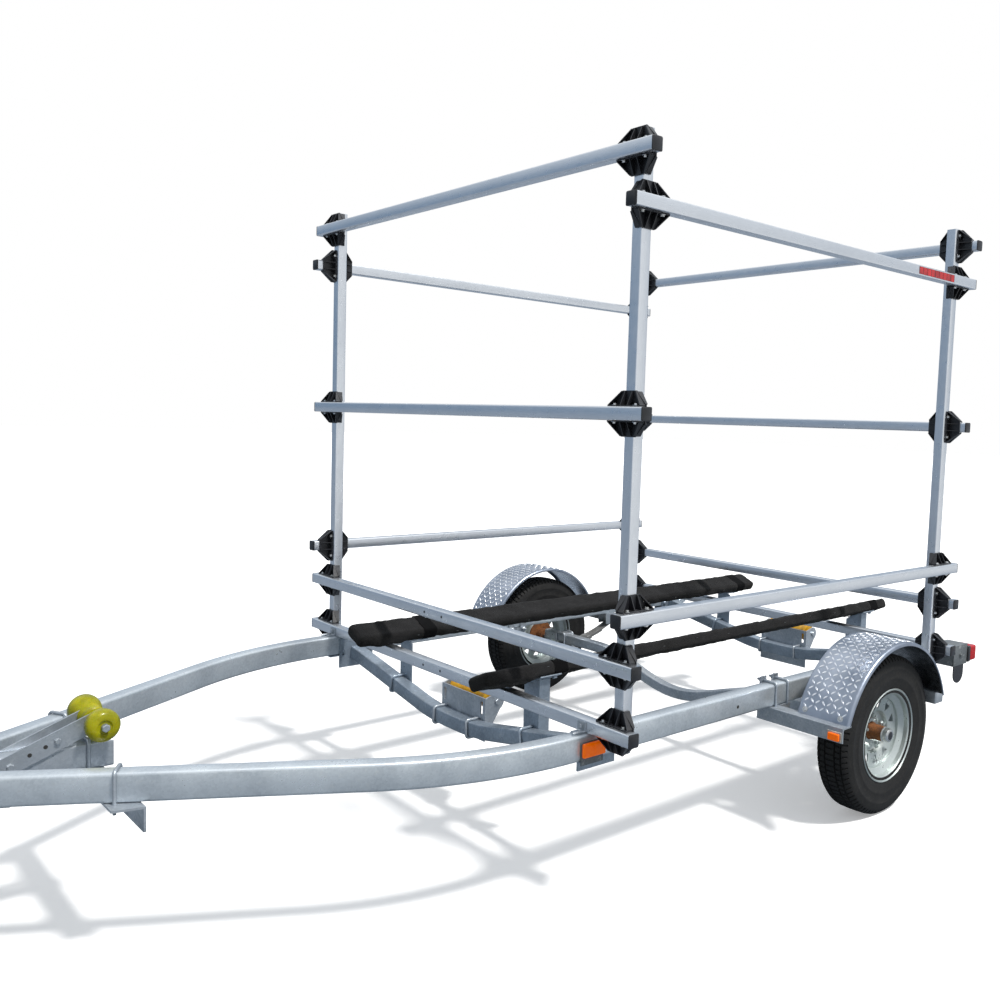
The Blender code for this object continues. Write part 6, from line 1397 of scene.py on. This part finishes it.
barrel_profile = [(0.0140, -0.0620), (0.0340, -0.0620), (0.0340, -0.0260), (0.0640, -0.0250),
                  (0.0700, -0.0235), (0.0700, -0.0175), (0.0325, -0.0172), (0.0310, -0.0060),
                  (0.0280, 0.0000), (0.0275, 0.0240), (0.0268, 0.0320), (0.0262, 0.0395),
                  (0.0250, 0.0400), (0.0140, 0.0400)]
cap_profile = [(0.0200, 0.0400), (0.0262, 0.0402), (0.0262, 0.0430), (0.0245, 0.0440), (0.0243, 0.0590),
               (0.0225, 0.0625), (0.0180, 0.0642), (0.0150, 0.0645), (0.0150, 0.0610), (0.0120, 0.0605)]
plug_profile = [(0.0150, 0.0606), (0.0150, 0.0636), (0.0135, 0.0650), (0.0060, 0.0655), (0, 0.0656)]


def rusty_finish():
    """Bare cast iron with fresh orange rust and browner pits."""
    made, tree = new_finish("rusty_iron", 0.85)
    patches = use_group(tree, STRETCHED_NOISE, Scale=42.0)
    fresh = mix_colours(tree, ranged(tree, patches["Coarse"], 0.35, 0.65), (0.27, 0.095, 0.022),
                        (0.12, 0.042, 0.014))
    pitted = mix_colours(tree, ranged(tree, patches["Fine"], 0.50, 0.66, 0.0, 0.8), fresh,
                         (0.035, 0.018, 0.012))
    return complete(made, patches["Fine"], 0.5, 0.0010, Base_Color=pitted)


RUSTY_IRON = rusty_finish()
RIM_ZINC = galvanised_finish("rim_galvanised", (0.56, 0.61, 0.60), (0.46, 0.51, 0.51), 0.60, 0.36, 0.02, 0.05)
for side, hub_at in WHEELS.items():
    rim = bmesh.new()
    outer = mirrored_profile(rim_half)
    inner = [(radius - RIM_WALL, offset * 0.985) for radius, offset in reversed(outer)]
    turned(rim, outer + inner, hub_at, 96, True)
    dish, punches = bmesh.new(), bmesh.new()
    disc_back = [(radius, offset - DISC_WALL) for radius, offset in reversed(disc_face)]
    turned(dish, disc_face + disc_back, hub_at, 120, True)
    from_hub = hub_at.inverted().to_3x3()
    for window in range(WINDOWS):
        angle = 2 * math.pi * (window + 0.5) / WINDOWS
        radial = Vector((math.cos(angle), math.sin(angle)))
        tangent = radial.orthogonal()
        foot = radial * (WINDOW_RADIUS - WINDOW_SIZE * 0.80)
        top = radial * (WINDOW_RADIUS + WINDOW_SIZE * 0.62)
        aside = tangent * WINDOW_SIZE * 0.86
        verts = sheet(punches, [foot, top + aside, top - aside], PUNCH_DEPTH,
                      hub_at @ Matrix.Translation((0, 0, PUNCH_Z)))
        upright = [edge for edge in edges_of(verts)
                   if abs((from_hub @ (edge.verts[0].co - edge.verts[1].co)).z) > PUNCH_DEPTH / 2]
        rounded(punches, upright, WINDOW_CORNER, 3)
    dish_object, punch_object = solid_object(dish, "disc"), solid_object(punches, "windows")
    pierce = dish_object.modifiers.new("windows", "BOOLEAN")
    pierce.operation = "DIFFERENCE"
    pierce.solver = "EXACT"
    pierce.object = punch_object
    evaluated = dish_object.evaluated_get(bpy.context.evaluated_depsgraph_get())
    pierced = bpy.data.meshes.new_from_object(evaluated)
    rim.from_mesh(pierced)
    for spent in (pierced, dish_object.data, punch_object.data):
        bpy.data.meshes.remove(spent)
    for nut in range(WHEEL_NUTS):
        angle = 2 * math.pi * nut / WHEEL_NUTS + math.pi / 2
        foot = hub_at @ Vector((NUT_CIRCLE * math.cos(angle), NUT_CIRCLE * math.sin(angle), -0.0100))
        fastener(rim, foot, hub_at.to_3x3() @ Vector((0, 0, 1)), 0.019, 0.0125, 0.0, 0.006)
    finished(rim, f"rim_{side}_pressed", f"{side}_wheel", RIM_ZINC, [f"rim_{side}"], 30)

    barrel, cap, plug = bmesh.new(), bmesh.new(), bmesh.new()
    turned(barrel, barrel_profile, hub_at, 48, True)
    finished(barrel, f"hub_{side}_barrel", f"{side}_wheel", RUSTY_IRON, [f"hub_{side}"], 35)
    turned(cap, cap_profile, hub_at, 40)
    finished(cap, f"hub_{side}_dust_cap", f"{side}_wheel", BRIGHT_ZINC, sharp=35)
    turned(plug, plug_profile, hub_at, 32)
    finished(plug, f"hub_{side}_plug", f"{side}_wheel", BLACK_MOULDING, sharp=35)


# Fenders
# Rolled aluminium tread plate over the top half of each wheel, with both edges turned down into a
# rolled lip. The bars stand out on the upper side, slanting one way and then the other.
FENDER_X = 1.166
FENDER_RADIUS = 0.345
FENDER_INNER_Y, FENDER_OUTER_Y = 0.840, 1.040
FENDER_WIDTH = FENDER_OUTER_Y - FENDER_INNER_Y
FENDER_WALL = 0.003
FENDER_STEPS = 72
LIP_DEPTH, LIP_ROUND = 0.013, 0.010
LINER_WALL = 0.0006
TREAD_PITCH = 0.0215
BAR_LENGTH, BAR_THICK, BAR_PROUD = 0.0225, 0.0072, 0.0017
BAR_SUNK, BAR_CREST, BAR_SLANT = 0.0006, 0.72, math.radians(45)
FENDER_START = math.asin((RAIL_BOTTOM - WHEEL_Z) / FENDER_RADIUS)
FENDER_TURN = math.pi - 2 * FENDER_START
FENDER_BOLT_TURN = 0.05


def fender_finish():
    """Mill aluminium sheet, rolled and handled: brushed, with dull smears and road spray."""
    made, tree = new_finish("tread_sheet", 0.26, 1.0)
    smears = use_group(tree, STRETCHED_NOISE, Scale=7.0)
    bare = mix_colours(tree, ranged(tree, smears["Coarse"], 0.35, 0.65), (0.45, 0.49, 0.57),
                       (0.23, 0.27, 0.34))
    dusty, _ = dusted(tree, bare, 16.0, 0.25, (0.36, 0.35, 0.32))
    return complete(made, smears["Fine"], 0.08, 0.0005, Base_Color=dusty,
                    Roughness=ranged(tree, smears["Fine"], 0.3, 0.7, 0.30, 0.44))


TREAD_SHEET = fender_finish()
# The raised bars are painted near white, brighter than the sheet, as a painted highlight where they catch the
# light.
TREAD_PAINTED_HIGHLIGHT = zinc_finish("tread_painted_highlight", (0.93, 0.94, 0.96), (0.80, 0.81, 0.84))
# Painted light on the fender undersides: the near one is painted dark as the shade it lies in, and the far
# one is painted bright as the sunlight that falls on it.
UNDERSIDE_SHADE_AND_LIGHT = {"near": zinc_finish("painted_shade_underside", (0.30, 0.31, 0.32), (0.17, 0.175, 0.18)),
              "far": zinc_finish("painted_light_underside", (0.90, 0.92, 0.95), (0.72, 0.74, 0.78))}


def fender_way(angle):
    """The way out from the fender's middle at an angle above the rear."""
    return Vector((math.cos(angle), 0, math.sin(angle)))


def arch_over(shape, inboard, way, section):
    """Sweep a section of (radius, offset outboard) over the wheel."""
    verts = [shape.verts.new(inboard + fender_way(FENDER_START) * radius + Vector((0, way * offset, 0)))
             for radius, offset in section]
    bmesh.ops.spin(shape, geom=[shape.faces.new(verts)], cent=inboard, axis=(0, -1, 0), angle=FENDER_TURN,
                   steps=FENDER_STEPS, use_duplicate=False)


lip_radius, lip_y = FENDER_RADIUS - LIP_ROUND, FENDER_WIDTH / 2 - LIP_ROUND
fender_half = [*arc(LIP_ROUND, 0, 90, 6, lip_radius, lip_y), (FENDER_RADIUS - LIP_DEPTH, FENDER_WIDTH / 2),
               (FENDER_RADIUS - LIP_DEPTH, FENDER_WIDTH / 2 - FENDER_WALL),
               *arc(LIP_ROUND - FENDER_WALL, 90, 0, 6, lip_radius, lip_y)]
fender_section = [(radius, FENDER_WIDTH / 2 + offset) for radius, offset in mirrored_profile(fender_half)]
under = FENDER_RADIUS - FENDER_WALL - 0.0001
liner_section = [(under, LIP_ROUND), (under, FENDER_WIDTH - LIP_ROUND),
                 (under - LINER_WALL, FENDER_WIDTH - LIP_ROUND), (under - LINER_WALL, LIP_ROUND)]
bar_rows = int((FENDER_WIDTH - 2 * LIP_ROUND) / TREAD_PITCH)
bar_turns = int(FENDER_TURN * FENDER_RADIUS / TREAD_PITCH)
for side, way in SIDES.items():
    inboard = Vector((FENDER_X, way * FENDER_INNER_Y, WHEEL_Z))
    arch, liner, raised, fender_bolts = bmesh.new(), bmesh.new(), bmesh.new(), bmesh.new()
    arch_over(arch, inboard, way, fender_section)
    finished(arch, f"fender_{side}_sheet", ROOT, TREAD_SHEET, [f"fender_{side}"], 30)
    arch_over(liner, inboard, way, liner_section)
    # The underside wears painted shade on the near fender and painted sunlight on the far one.
    finished(liner, f"fender_{side}_underside", ROOT, UNDERSIDE_SHADE_AND_LIGHT[side], sharp=30)

    for turn in range(bar_turns):
        for row in range(bar_rows):
            out_way = fender_way(FENDER_START + (turn + 0.5) * TREAD_PITCH / FENDER_RADIUS)
            offset = FENDER_WIDTH / 2 + (row + 0.5 - bar_rows / 2) * TREAD_PITCH
            bar_at = heading_frame(inboard + out_way * FENDER_RADIUS + Vector((0, way * offset, 0)), out_way,
                                   HEADINGS["y"])
            slant = Matrix.Rotation(BAR_SLANT if (turn + row) % 2 else -BAR_SLANT, 4, "Z")
            squeeze = Matrix.Diagonal((BAR_THICK / BAR_LENGTH, 1, 1, 1))
            bmesh.ops.create_cone(raised, cap_ends=True, segments=6, radius1=BAR_LENGTH / 2,
                                  radius2=BAR_LENGTH / 2 * BAR_CREST, depth=BAR_PROUD + BAR_SUNK,
                                  matrix=bar_at @ slant @ squeeze
                                  @ Matrix.Translation((0, 0, (BAR_PROUD - BAR_SUNK) / 2)))
    # The bars wear the painted highlight finish.
    finished(raised, f"fender_{side}_tread_bars", ROOT, TREAD_PAINTED_HIGHLIGHT, sharp=50)

    for angle in (FENDER_START + FENDER_BOLT_TURN, math.pi - FENDER_START - FENDER_BOLT_TURN):
        for offset in (0.030, FENDER_WIDTH - 0.035):
            seat = inboard + fender_way(angle) * (FENDER_RADIUS + 0.0002) + Vector((0, way * offset, 0))
            fastener(fender_bolts, seat, fender_way(angle), 0.012, 0.005, 0.0012)
    finished(fender_bolts, f"fender_{side}_bolts", ROOT, BRIGHT_ZINC, sharp=30)


# Fender mounts
# An angle across each rail in front of the wheel, held by a U-bolt with its strap. It carries the
# fender's front end, and an amber marker lamp on a pale base at its outer end.
MOUNT_LOW_X, MOUNT_HIGH_X = 0.806, 0.856
MOUNT_DROP, MOUNT_WALL = 0.050, 0.0055
MOUNT_INNER_Y, MOUNT_OUTER_Y = 0.702, 1.040
MOUNT_CLAMP_X = 0.831
MOUNT_BOLT_X, MOUNT_BOLT_Y = 0.836, (0.865, 1.005)
PALE_MOULDING = moulded_finish("pale_moulding", (0.36, 0.36, 0.34), (0.42, 0.40, 0.36), 0.5)
web_x, flange_z = MOUNT_LOW_X + MOUNT_WALL, UNDER_RAIL - MOUNT_WALL
mount_section = [(MOUNT_LOW_X, UNDER_RAIL - MOUNT_DROP), (web_x, UNDER_RAIL - MOUNT_DROP),
                 (web_x, flange_z - 0.005), (web_x + 0.0015, flange_z - 0.0015), (web_x + 0.005, flange_z),
                 (MOUNT_HIGH_X, flange_z), (MOUNT_HIGH_X, UNDER_RAIL), (MOUNT_LOW_X + 0.0015, UNDER_RAIL),
                 (MOUNT_LOW_X, UNDER_RAIL - 0.0015)]
for side, way in SIDES.items():
    mount, base, lamp = bmesh.new(), bmesh.new(), bmesh.new()
    sheet(mount, mount_section, MOUNT_OUTER_Y - MOUNT_INNER_Y,
          on_edge(way * (MOUNT_INNER_Y + MOUNT_OUTER_Y) / 2))
    rail_clamp(mount, MOUNT_CLAMP_X, way, 0.0562)
    for y in MOUNT_BOLT_Y:
        fastener(mount, (MOUNT_BOLT_X, way * y, flange_z), (0, 0, -1), 0.014, 0.006, 0.0014)
    steel_piece(mount, f"fender_mount_{side}_angle", [f"fender_mount_{side}"])
    block(base, (MOUNT_LOW_X - 0.0050, way * (MOUNT_OUTER_Y - 0.0560), 0.3482),
          (MOUNT_LOW_X - FIT, way * (MOUNT_OUTER_Y - 0.0020), 0.3812), 0.002)
    finished(base, f"fender_marker_{side}_base", ROOT, PALE_MOULDING)
    block(lamp, (MOUNT_LOW_X - 0.0150, way * (MOUNT_OUTER_Y - 0.0480), 0.3520),
          (MOUNT_LOW_X - 0.0050, way * (MOUNT_OUTER_Y - 0.0060), 0.3770), 0.0045, 4)
    finished(lamp, f"fender_marker_{side}_lens", ROOT, AMBER)


# Tail lamps
# A box bracket outside each rail's rear end, open below, with a black housing behind it and a
# ribbed red lens. A black oval shield hangs on the bracket's outer wall.
LAMP_INNER_Y, LAMP_OUTER_Y = 0.7572, 0.8472
LAMP_FRONT_X, LAMP_BACK_X = 1.950, 2.070
LAMP_LOW, LAMP_WALL, LAMP_EDGE = 0.3871, 0.004, 0.0012
LAMP_WALL_TOP = RAIL_TOP - 0.001
LENS_FRONT_X, LENS_BACK_X = LAMP_BACK_X + 0.022, LAMP_BACK_X + 0.076
LENS_INNER_Y, LENS_OUTER_Y = LAMP_INNER_Y + 0.014, LAMP_OUTER_Y + 0.004
RIB_PITCH, RIB_HALF, RIB_PROUD, RIB_LOW, RIB_HIGH = 0.0052, 0.0009, 0.0006, 0.4000, 0.4510
SIDE_RIBS = 8
SHIELD_X, SHIELD_HALF, SHIELD_WALL = 2.000, 0.0432, 0.004
SHIELD_TOP, SHIELD_DROP = LAMP_LOW - FIT, 0.075
SHIELD_STRAIGHT = LAMP_LOW - SHIELD_DROP * 0.45
shield = [(-SHIELD_HALF, SHIELD_TOP), (-SHIELD_HALF, SHIELD_STRAIGHT)]
shield += [(SHIELD_HALF * x, SHIELD_STRAIGHT + SHIELD_DROP * 0.55 * z) for x, z in arc(1, 195, 345, 10)]
shield += [(SHIELD_HALF, SHIELD_STRAIGHT), (SHIELD_HALF, SHIELD_TOP)]
for side, way in SIDES.items():
    holder, shell, red = bmesh.new(), bmesh.new(), bmesh.new()
    inner_y, outer_y = way * LAMP_INNER_Y, way * LAMP_OUTER_Y
    block(holder, (LAMP_FRONT_X, inner_y, RAIL_TOP - LAMP_WALL), (LAMP_BACK_X, outer_y, RAIL_TOP), LAMP_EDGE)
    for x, inward in ((LAMP_FRONT_X, LAMP_WALL), (LAMP_BACK_X, -LAMP_WALL)):
        block(holder, (x, inner_y, LAMP_LOW), (x + inward, outer_y, LAMP_WALL_TOP), LAMP_EDGE)
    for y, inward in ((inner_y, way * LAMP_WALL), (outer_y, -way * LAMP_WALL)):
        block(holder, (LAMP_FRONT_X, y, LAMP_LOW), (LAMP_BACK_X, y + inward, LAMP_WALL_TOP), LAMP_EDGE)
    fastener(holder, (2.010, outer_y, 0.4296), (0, way, 0), 0.014, 0.0055, 0.0014)
    steel_piece(holder, f"tail_lamp_{side}_bracket", [f"tail_lamp_{side}"], 30, DARK_GALVANISED)

    block(shell, (LAMP_BACK_X + FIT, way * (LAMP_INNER_Y + 0.012), 0.3916),
          (LENS_FRONT_X, way * (LAMP_OUTER_Y + 0.006), 0.4596), 0.005, 3)
    sheet(shell, shield, SHIELD_WALL, on_edge(way * (LAMP_OUTER_Y - LAMP_WALL / 2 - FIT), SHIELD_X))
    finished(shell, f"tail_lamp_{side}_housing", ROOT, BLACK_MOULDING, sharp=30)

    low_y, high_y = sorted((way * LENS_INNER_Y, way * LENS_OUTER_Y))
    block(red, (LENS_FRONT_X, low_y, 0.3936), (LENS_BACK_X, high_y, 0.4576), 0.008, 4)
    for rib in range(int((high_y - low_y - 0.016) / RIB_PITCH)):
        rib_y = low_y + 0.010 + rib * RIB_PITCH
        block(red, (LAMP_BACK_X + 0.030, rib_y - RIB_HALF, RIB_LOW),
              (LENS_BACK_X + RIB_PROUD, rib_y + RIB_HALF, RIB_HIGH), 0.0004, 1)
    for rib in range(SIDE_RIBS):
        rib_x = LAMP_BACK_X + 0.030 + rib * RIB_PITCH
        block(red, (rib_x - RIB_HALF, way * (LENS_OUTER_Y - 0.002), RIB_LOW),
              (rib_x + RIB_HALF, way * (LENS_OUTER_Y + RIB_PROUD), RIB_HIGH), 0.0004, 1)
    finished(red, f"tail_lamp_{side}_lens", ROOT, RED, sharp=30)


# Coupler
# A pressed coupler for a ball, bolted through the tongue's front: a channel, a neck and a dome with
# a round socket open below. A lever behind the dome lifts to let the ball go.
BALL_X = -2.111
SOCKET_Z, SOCKET_RADIUS, SOCKET_FOOT = 0.428, 0.0245, -0.018
DOME_RADIUS = 0.036
COUPLER_FRONT_X, COUPLER_REAR_X = -2.049, -1.902
COUPLER_HALF, COUPLER_WALL = 0.0297, 0.004
COUPLER_BOLT_X = (-1.932, -1.997)
NECK_HALF, NECK_REAR_X = 0.0237, -2.040
LATCH_X, LATCH_Z = -2.055, 0.4884
LATCH_WIDTH, LATCH_PIVOT = 0.0235, 0.0072
coupler = bmesh.new()
for edge in (-1, 1):
    block(coupler, (COUPLER_FRONT_X, edge * COUPLER_HALF, 0.4044),
          (COUPLER_REAR_X, edge * (COUPLER_HALF - COUPLER_WALL), 0.4755), 0.0015)
    for x in COUPLER_BOLT_X:
        fastener(coupler, (x, edge * COUPLER_HALF, RAIL_MIDDLE), (0, edge, 0), 0.019, 0.008, 0.0016)
    sheet(coupler, [(-2.072, 0.4750), (-2.064, 0.4935), (-2.055, 0.4970), (-2.046, 0.4935), (-2.038, 0.4750)],
          COUPLER_WALL, on_edge(edge * 0.0146))
    fastener(coupler, (LATCH_X, edge * 0.0166, LATCH_Z), (0, edge, 0), 0.010, 0.004)
    block(coupler, (-2.100, edge * NECK_HALF, 0.4080),
          (NECK_REAR_X, edge * (NECK_HALF - COUPLER_WALL), 0.4735), 0.0015)
block(coupler, (COUPLER_FRONT_X, -COUPLER_HALF, 0.4724), (COUPLER_REAR_X, COUPLER_HALF, 0.4764), 0.0015)
block(coupler, (-2.108, -NECK_HALF, 0.4704), (NECK_REAR_X, NECK_HALF, 0.4744), 0.0015)
turned(coupler, [(0, DOME_RADIUS), *arc(DOME_RADIUS, 90, 0, 9)[1:], (DOME_RADIUS, -0.0135),
                 (DOME_RADIUS + 0.0035, -0.0150), (DOME_RADIUS + 0.0035, SOCKET_FOOT),
                 (SOCKET_RADIUS, SOCKET_FOOT), *arc(SOCKET_RADIUS, 0, 90, 9)[:-1], (0, SOCKET_RADIUS)],
       Matrix.Translation((BALL_X, 0, SOCKET_Z)), 40)
steel_piece(coupler, "coupler_pressing", ["coupler_body"], 30)

latch = bmesh.new()
sheet(latch, [(-0.009, 0.002), (-0.006, 0.0075), (0.006, 0.0085), (0.040, 0.0150), (0.085, 0.0235),
              (0.108, 0.0262), (0.1145, 0.0240), (0.1145, 0.0200), (0.106, 0.0205), (0.085, 0.0180),
              (0.040, 0.0085), (0.012, 0.0020), (0.006, -0.0060), (-0.004, -0.0065)], LATCH_WIDTH,
      on_edge(0.0, LATCH_X, LATCH_Z))
rod(latch, (LATCH_X, -0.0118, LATCH_Z), (0, 1, 0), LATCH_PIVOT, 0.0236)
finished(latch, "coupler_latch_lever", "latch", DARK_GALVANISED, ["coupler_latch"], 30)


# Jack
# It holds the tongue level: a clamp disc and saddle on the tongue's near side, an outer tube with
# a gearbox on top, a crank with a grip, and an inner leg that ends in a caster wheel.
JACK_Y = -0.0791
JACK_TUBE, JACK_BORE, GEARBOX = 0.0254, 0.0235, 0.0280
JACK_TOP, JACK_FOOT = 0.680, 0.372
CRANK_Z, CRANK_Y = 0.648, -0.1150
CRANK_HALF, CRANK_LOW = 0.0098, 0.5235
GRIP_Z = 0.533
CASTER_X, CASTER_Z = -1.827, 0.075
jack_axis = Matrix.Translation((JACK_X, JACK_Y, 0))
shell = bmesh.new()
turned(shell, [(0, 0.6740), (JACK_BORE, 0.6735), (JACK_BORE, JACK_FOOT), (JACK_TUBE, JACK_FOOT),
               (JACK_TUBE, 0.632), (GEARBOX, 0.634), (GEARBOX, JACK_TOP), (0.0272, JACK_TOP + 0.003),
               (0.0214, JACK_TOP + 0.0115), (0, JACK_TOP + 0.0122)], jack_axis, 40)
block(shell, (JACK_X - 0.020, JACK_Y + 0.0240, RAIL_MIDDLE - 0.030),
      (JACK_X + 0.020, -0.0495, RAIL_MIDDLE + 0.030), 0.002)
turned(shell, [(0, 0), (0.040, 0), (0.040, 0.005), (0.039, 0.006), (0, 0.006)],
       heading_frame((JACK_X, -0.0437, RAIL_MIDDLE), (0, -1, 0)), 40)
turned(shell, [(0, 0), (0.016, 0), (0.016, 0.0095), (0.0145, 0.0109), (0, 0.0109)],
       heading_frame((JACK_X, JACK_Y - 0.0245, CRANK_Z), (0, -1, 0)))
for x in (-1, 1):
    fastener(shell, (JACK_X + x * 0.0265, JACK_Y, 0.657), (x, 0, 0), 0.010, 0.0022)
finished(shell, "jack_outer_tube", "jack_outer", GALVANISED, ["jack_tube"], 30)

leg = bmesh.new()
turned(leg, [(0.0190, 0.458), (0.0190, 0.430), (0, 0.430)], jack_axis)
turned(leg, [(0.0190, 0.4578), (0.0223, 0.4578), (0.0223, 0.1712), (0.0255, 0.1708), (0.0255, 0.1662),
             (0, 0.1661)], jack_axis, 40)
finished(leg, "jack_inner_leg", "jack_inner", BRIGHT_ZINC, ["jack_leg"], 30)

crank, grip = bmesh.new(), bmesh.new()
turned(crank, [(0, 0), (0.0126, 0), (0.0126, 0.0125), (0.0115, 0.0138), (0, 0.0138)],
       heading_frame((JACK_X, CRANK_Y, CRANK_Z), (0, -1, 0)))
block(crank, (JACK_X - CRANK_HALF, -0.1254, CRANK_LOW), (JACK_X + CRANK_HALF, -0.1196, CRANK_Z), 0.0024)
finished(crank, "jack_crank_arm", "crank", BRIGHT_ZINC, ["jack_crank"], 30)
turned(grip, [(0, 0), (0.0085, 0.0002), (0.0110, 0.006), (0.0118, 0.020), (0.0120, 0.045), (0.0118, 0.065),
              (0.0112, 0.078), (0.0085, 0.084), (0, 0.0848)],
       heading_frame((JACK_X, -0.1256, GRIP_Z), (0, -1, 0)))
finished(grip, "jack_crank_grip", "crank", BLACK_MOULDING, sharp=40)

fork = bmesh.new()
block(fork, (-1.877, JACK_Y - 0.0260, 0.1567), (-1.825, JACK_Y + 0.0260, 0.1607), 0.0012)
turned(fork, [(0, 0.1600), (0.0180, 0.1600), (0.0180, 0.1640), (0.0120, 0.1655), (0, 0.1656)], jack_axis, 28)
for edge in (-1, 1):
    sheet(fork, [(-1.876, 0.1590), (-1.872, 0.140), (CASTER_X - 0.016, CASTER_Z + 0.004),
                 (CASTER_X - 0.010, CASTER_Z - 0.011), (CASTER_X, CASTER_Z - 0.0155),
                 (CASTER_X + 0.010, CASTER_Z - 0.011), (CASTER_X + 0.015, CASTER_Z + 0.002),
                 (-1.826, 0.1590)], 0.004, on_edge(JACK_Y + edge * 0.0240))
    fastener(fork, (CASTER_X, JACK_Y + edge * 0.0260, CASTER_Z), (0, edge, 0), 0.014, 0.006)
rod(fork, (CASTER_X, JACK_Y - 0.0250, CASTER_Z), (0, 1, 0), 0.0054, 0.0500, 20)
finished(fork, "caster_fork_folded", "caster", BRIGHT_ZINC, ["caster_fork"], 28)
wheel = bmesh.new()
caster_half = [(0.0062, -0.0190), (0.0140, -0.0190), (0.0150, -0.0160), (0.0500, -0.0120), (0.0560, -0.0165),
               (0.0690, -0.0175), (0.0735, -0.0150), (0.0748, -0.0100)]
turned(wheel, mirrored_profile(caster_half), heading_frame((CASTER_X, JACK_Y, CASTER_Z), (0, 1, 0)), 56, True)
finished(wheel, "caster_wheel_moulded", "jack_wheel", BLACK_MOULDING, ["caster_wheel"], 30)


# Small marks on the rack and rails
# Red reflective tape near the rear end of the near top bar, and dark discs painted as the shade in holes
# drilled in pairs through the front lower bars and singly in the rails.
TAPE_START, TAPE_PITCH, TAPE_PATCHES, TAPE_HALF = 1.390, 0.0295, 9, 0.0125
BAR_HOLES_Y, BAR_HOLE = (0.087, -0.017), 0.0045
RAIL_HOLE_X, RAIL_HOLE_Z, RAIL_HOLE = 0.624, 0.430, 0.0060
RED_TAPE = moulded_finish("red_tape", (0.40, 0.012, 0.014), (0.40, 0.20, 0.18), 0.3)
TAPE_BACKING = moulded_finish("tape_backing", (0.10, 0.012, 0.012), (0.2, 0.1, 0.1), 0.3)
tape_low, tape_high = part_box("side_bar_near_top")
tape_z = (tape_low.z + tape_high.z) / 2
patches, backing, drilled = bmesh.new(), bmesh.new(), bmesh.new()
for patch in range(TAPE_PATCHES):
    start = TAPE_START + patch * TAPE_PITCH
    block(patches, (start, tape_low.y - 0.0008, tape_z - TAPE_HALF),
          (start + TAPE_PITCH - 0.004, tape_low.y, tape_z + TAPE_HALF))
finished(patches, "tape_red_patches", ROOT, RED_TAPE)
block(backing, (TAPE_START - 0.002, tape_low.y - 0.0004, tape_z - TAPE_HALF - 0.001),
      (TAPE_START + TAPE_PATCHES * TAPE_PITCH, tape_low.y + 0.0002, tape_z + TAPE_HALF + 0.001))
finished(backing, "tape_backing", ROOT, TAPE_BACKING)

for bar in ("cross_bar_front_lower", "cross_bar_front_lowest"):
    bar_low, bar_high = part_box(bar)
    for y in BAR_HOLES_Y:
        hole(drilled, (bar_low.x - 0.0003, y, (bar_low.z + bar_high.z) / 2), (-1, 0, 0), BAR_HOLE, 16)
for way in SIDES.values():
    hole(drilled, (RAIL_HOLE_X, way * (RAIL_Y + BOX_WIDTH / 2 + FIT), RAIL_HOLE_Z), (0, way, 0), RAIL_HOLE)
finished(drilled, "drilled_holes", ROOT, painted_hole_shade)
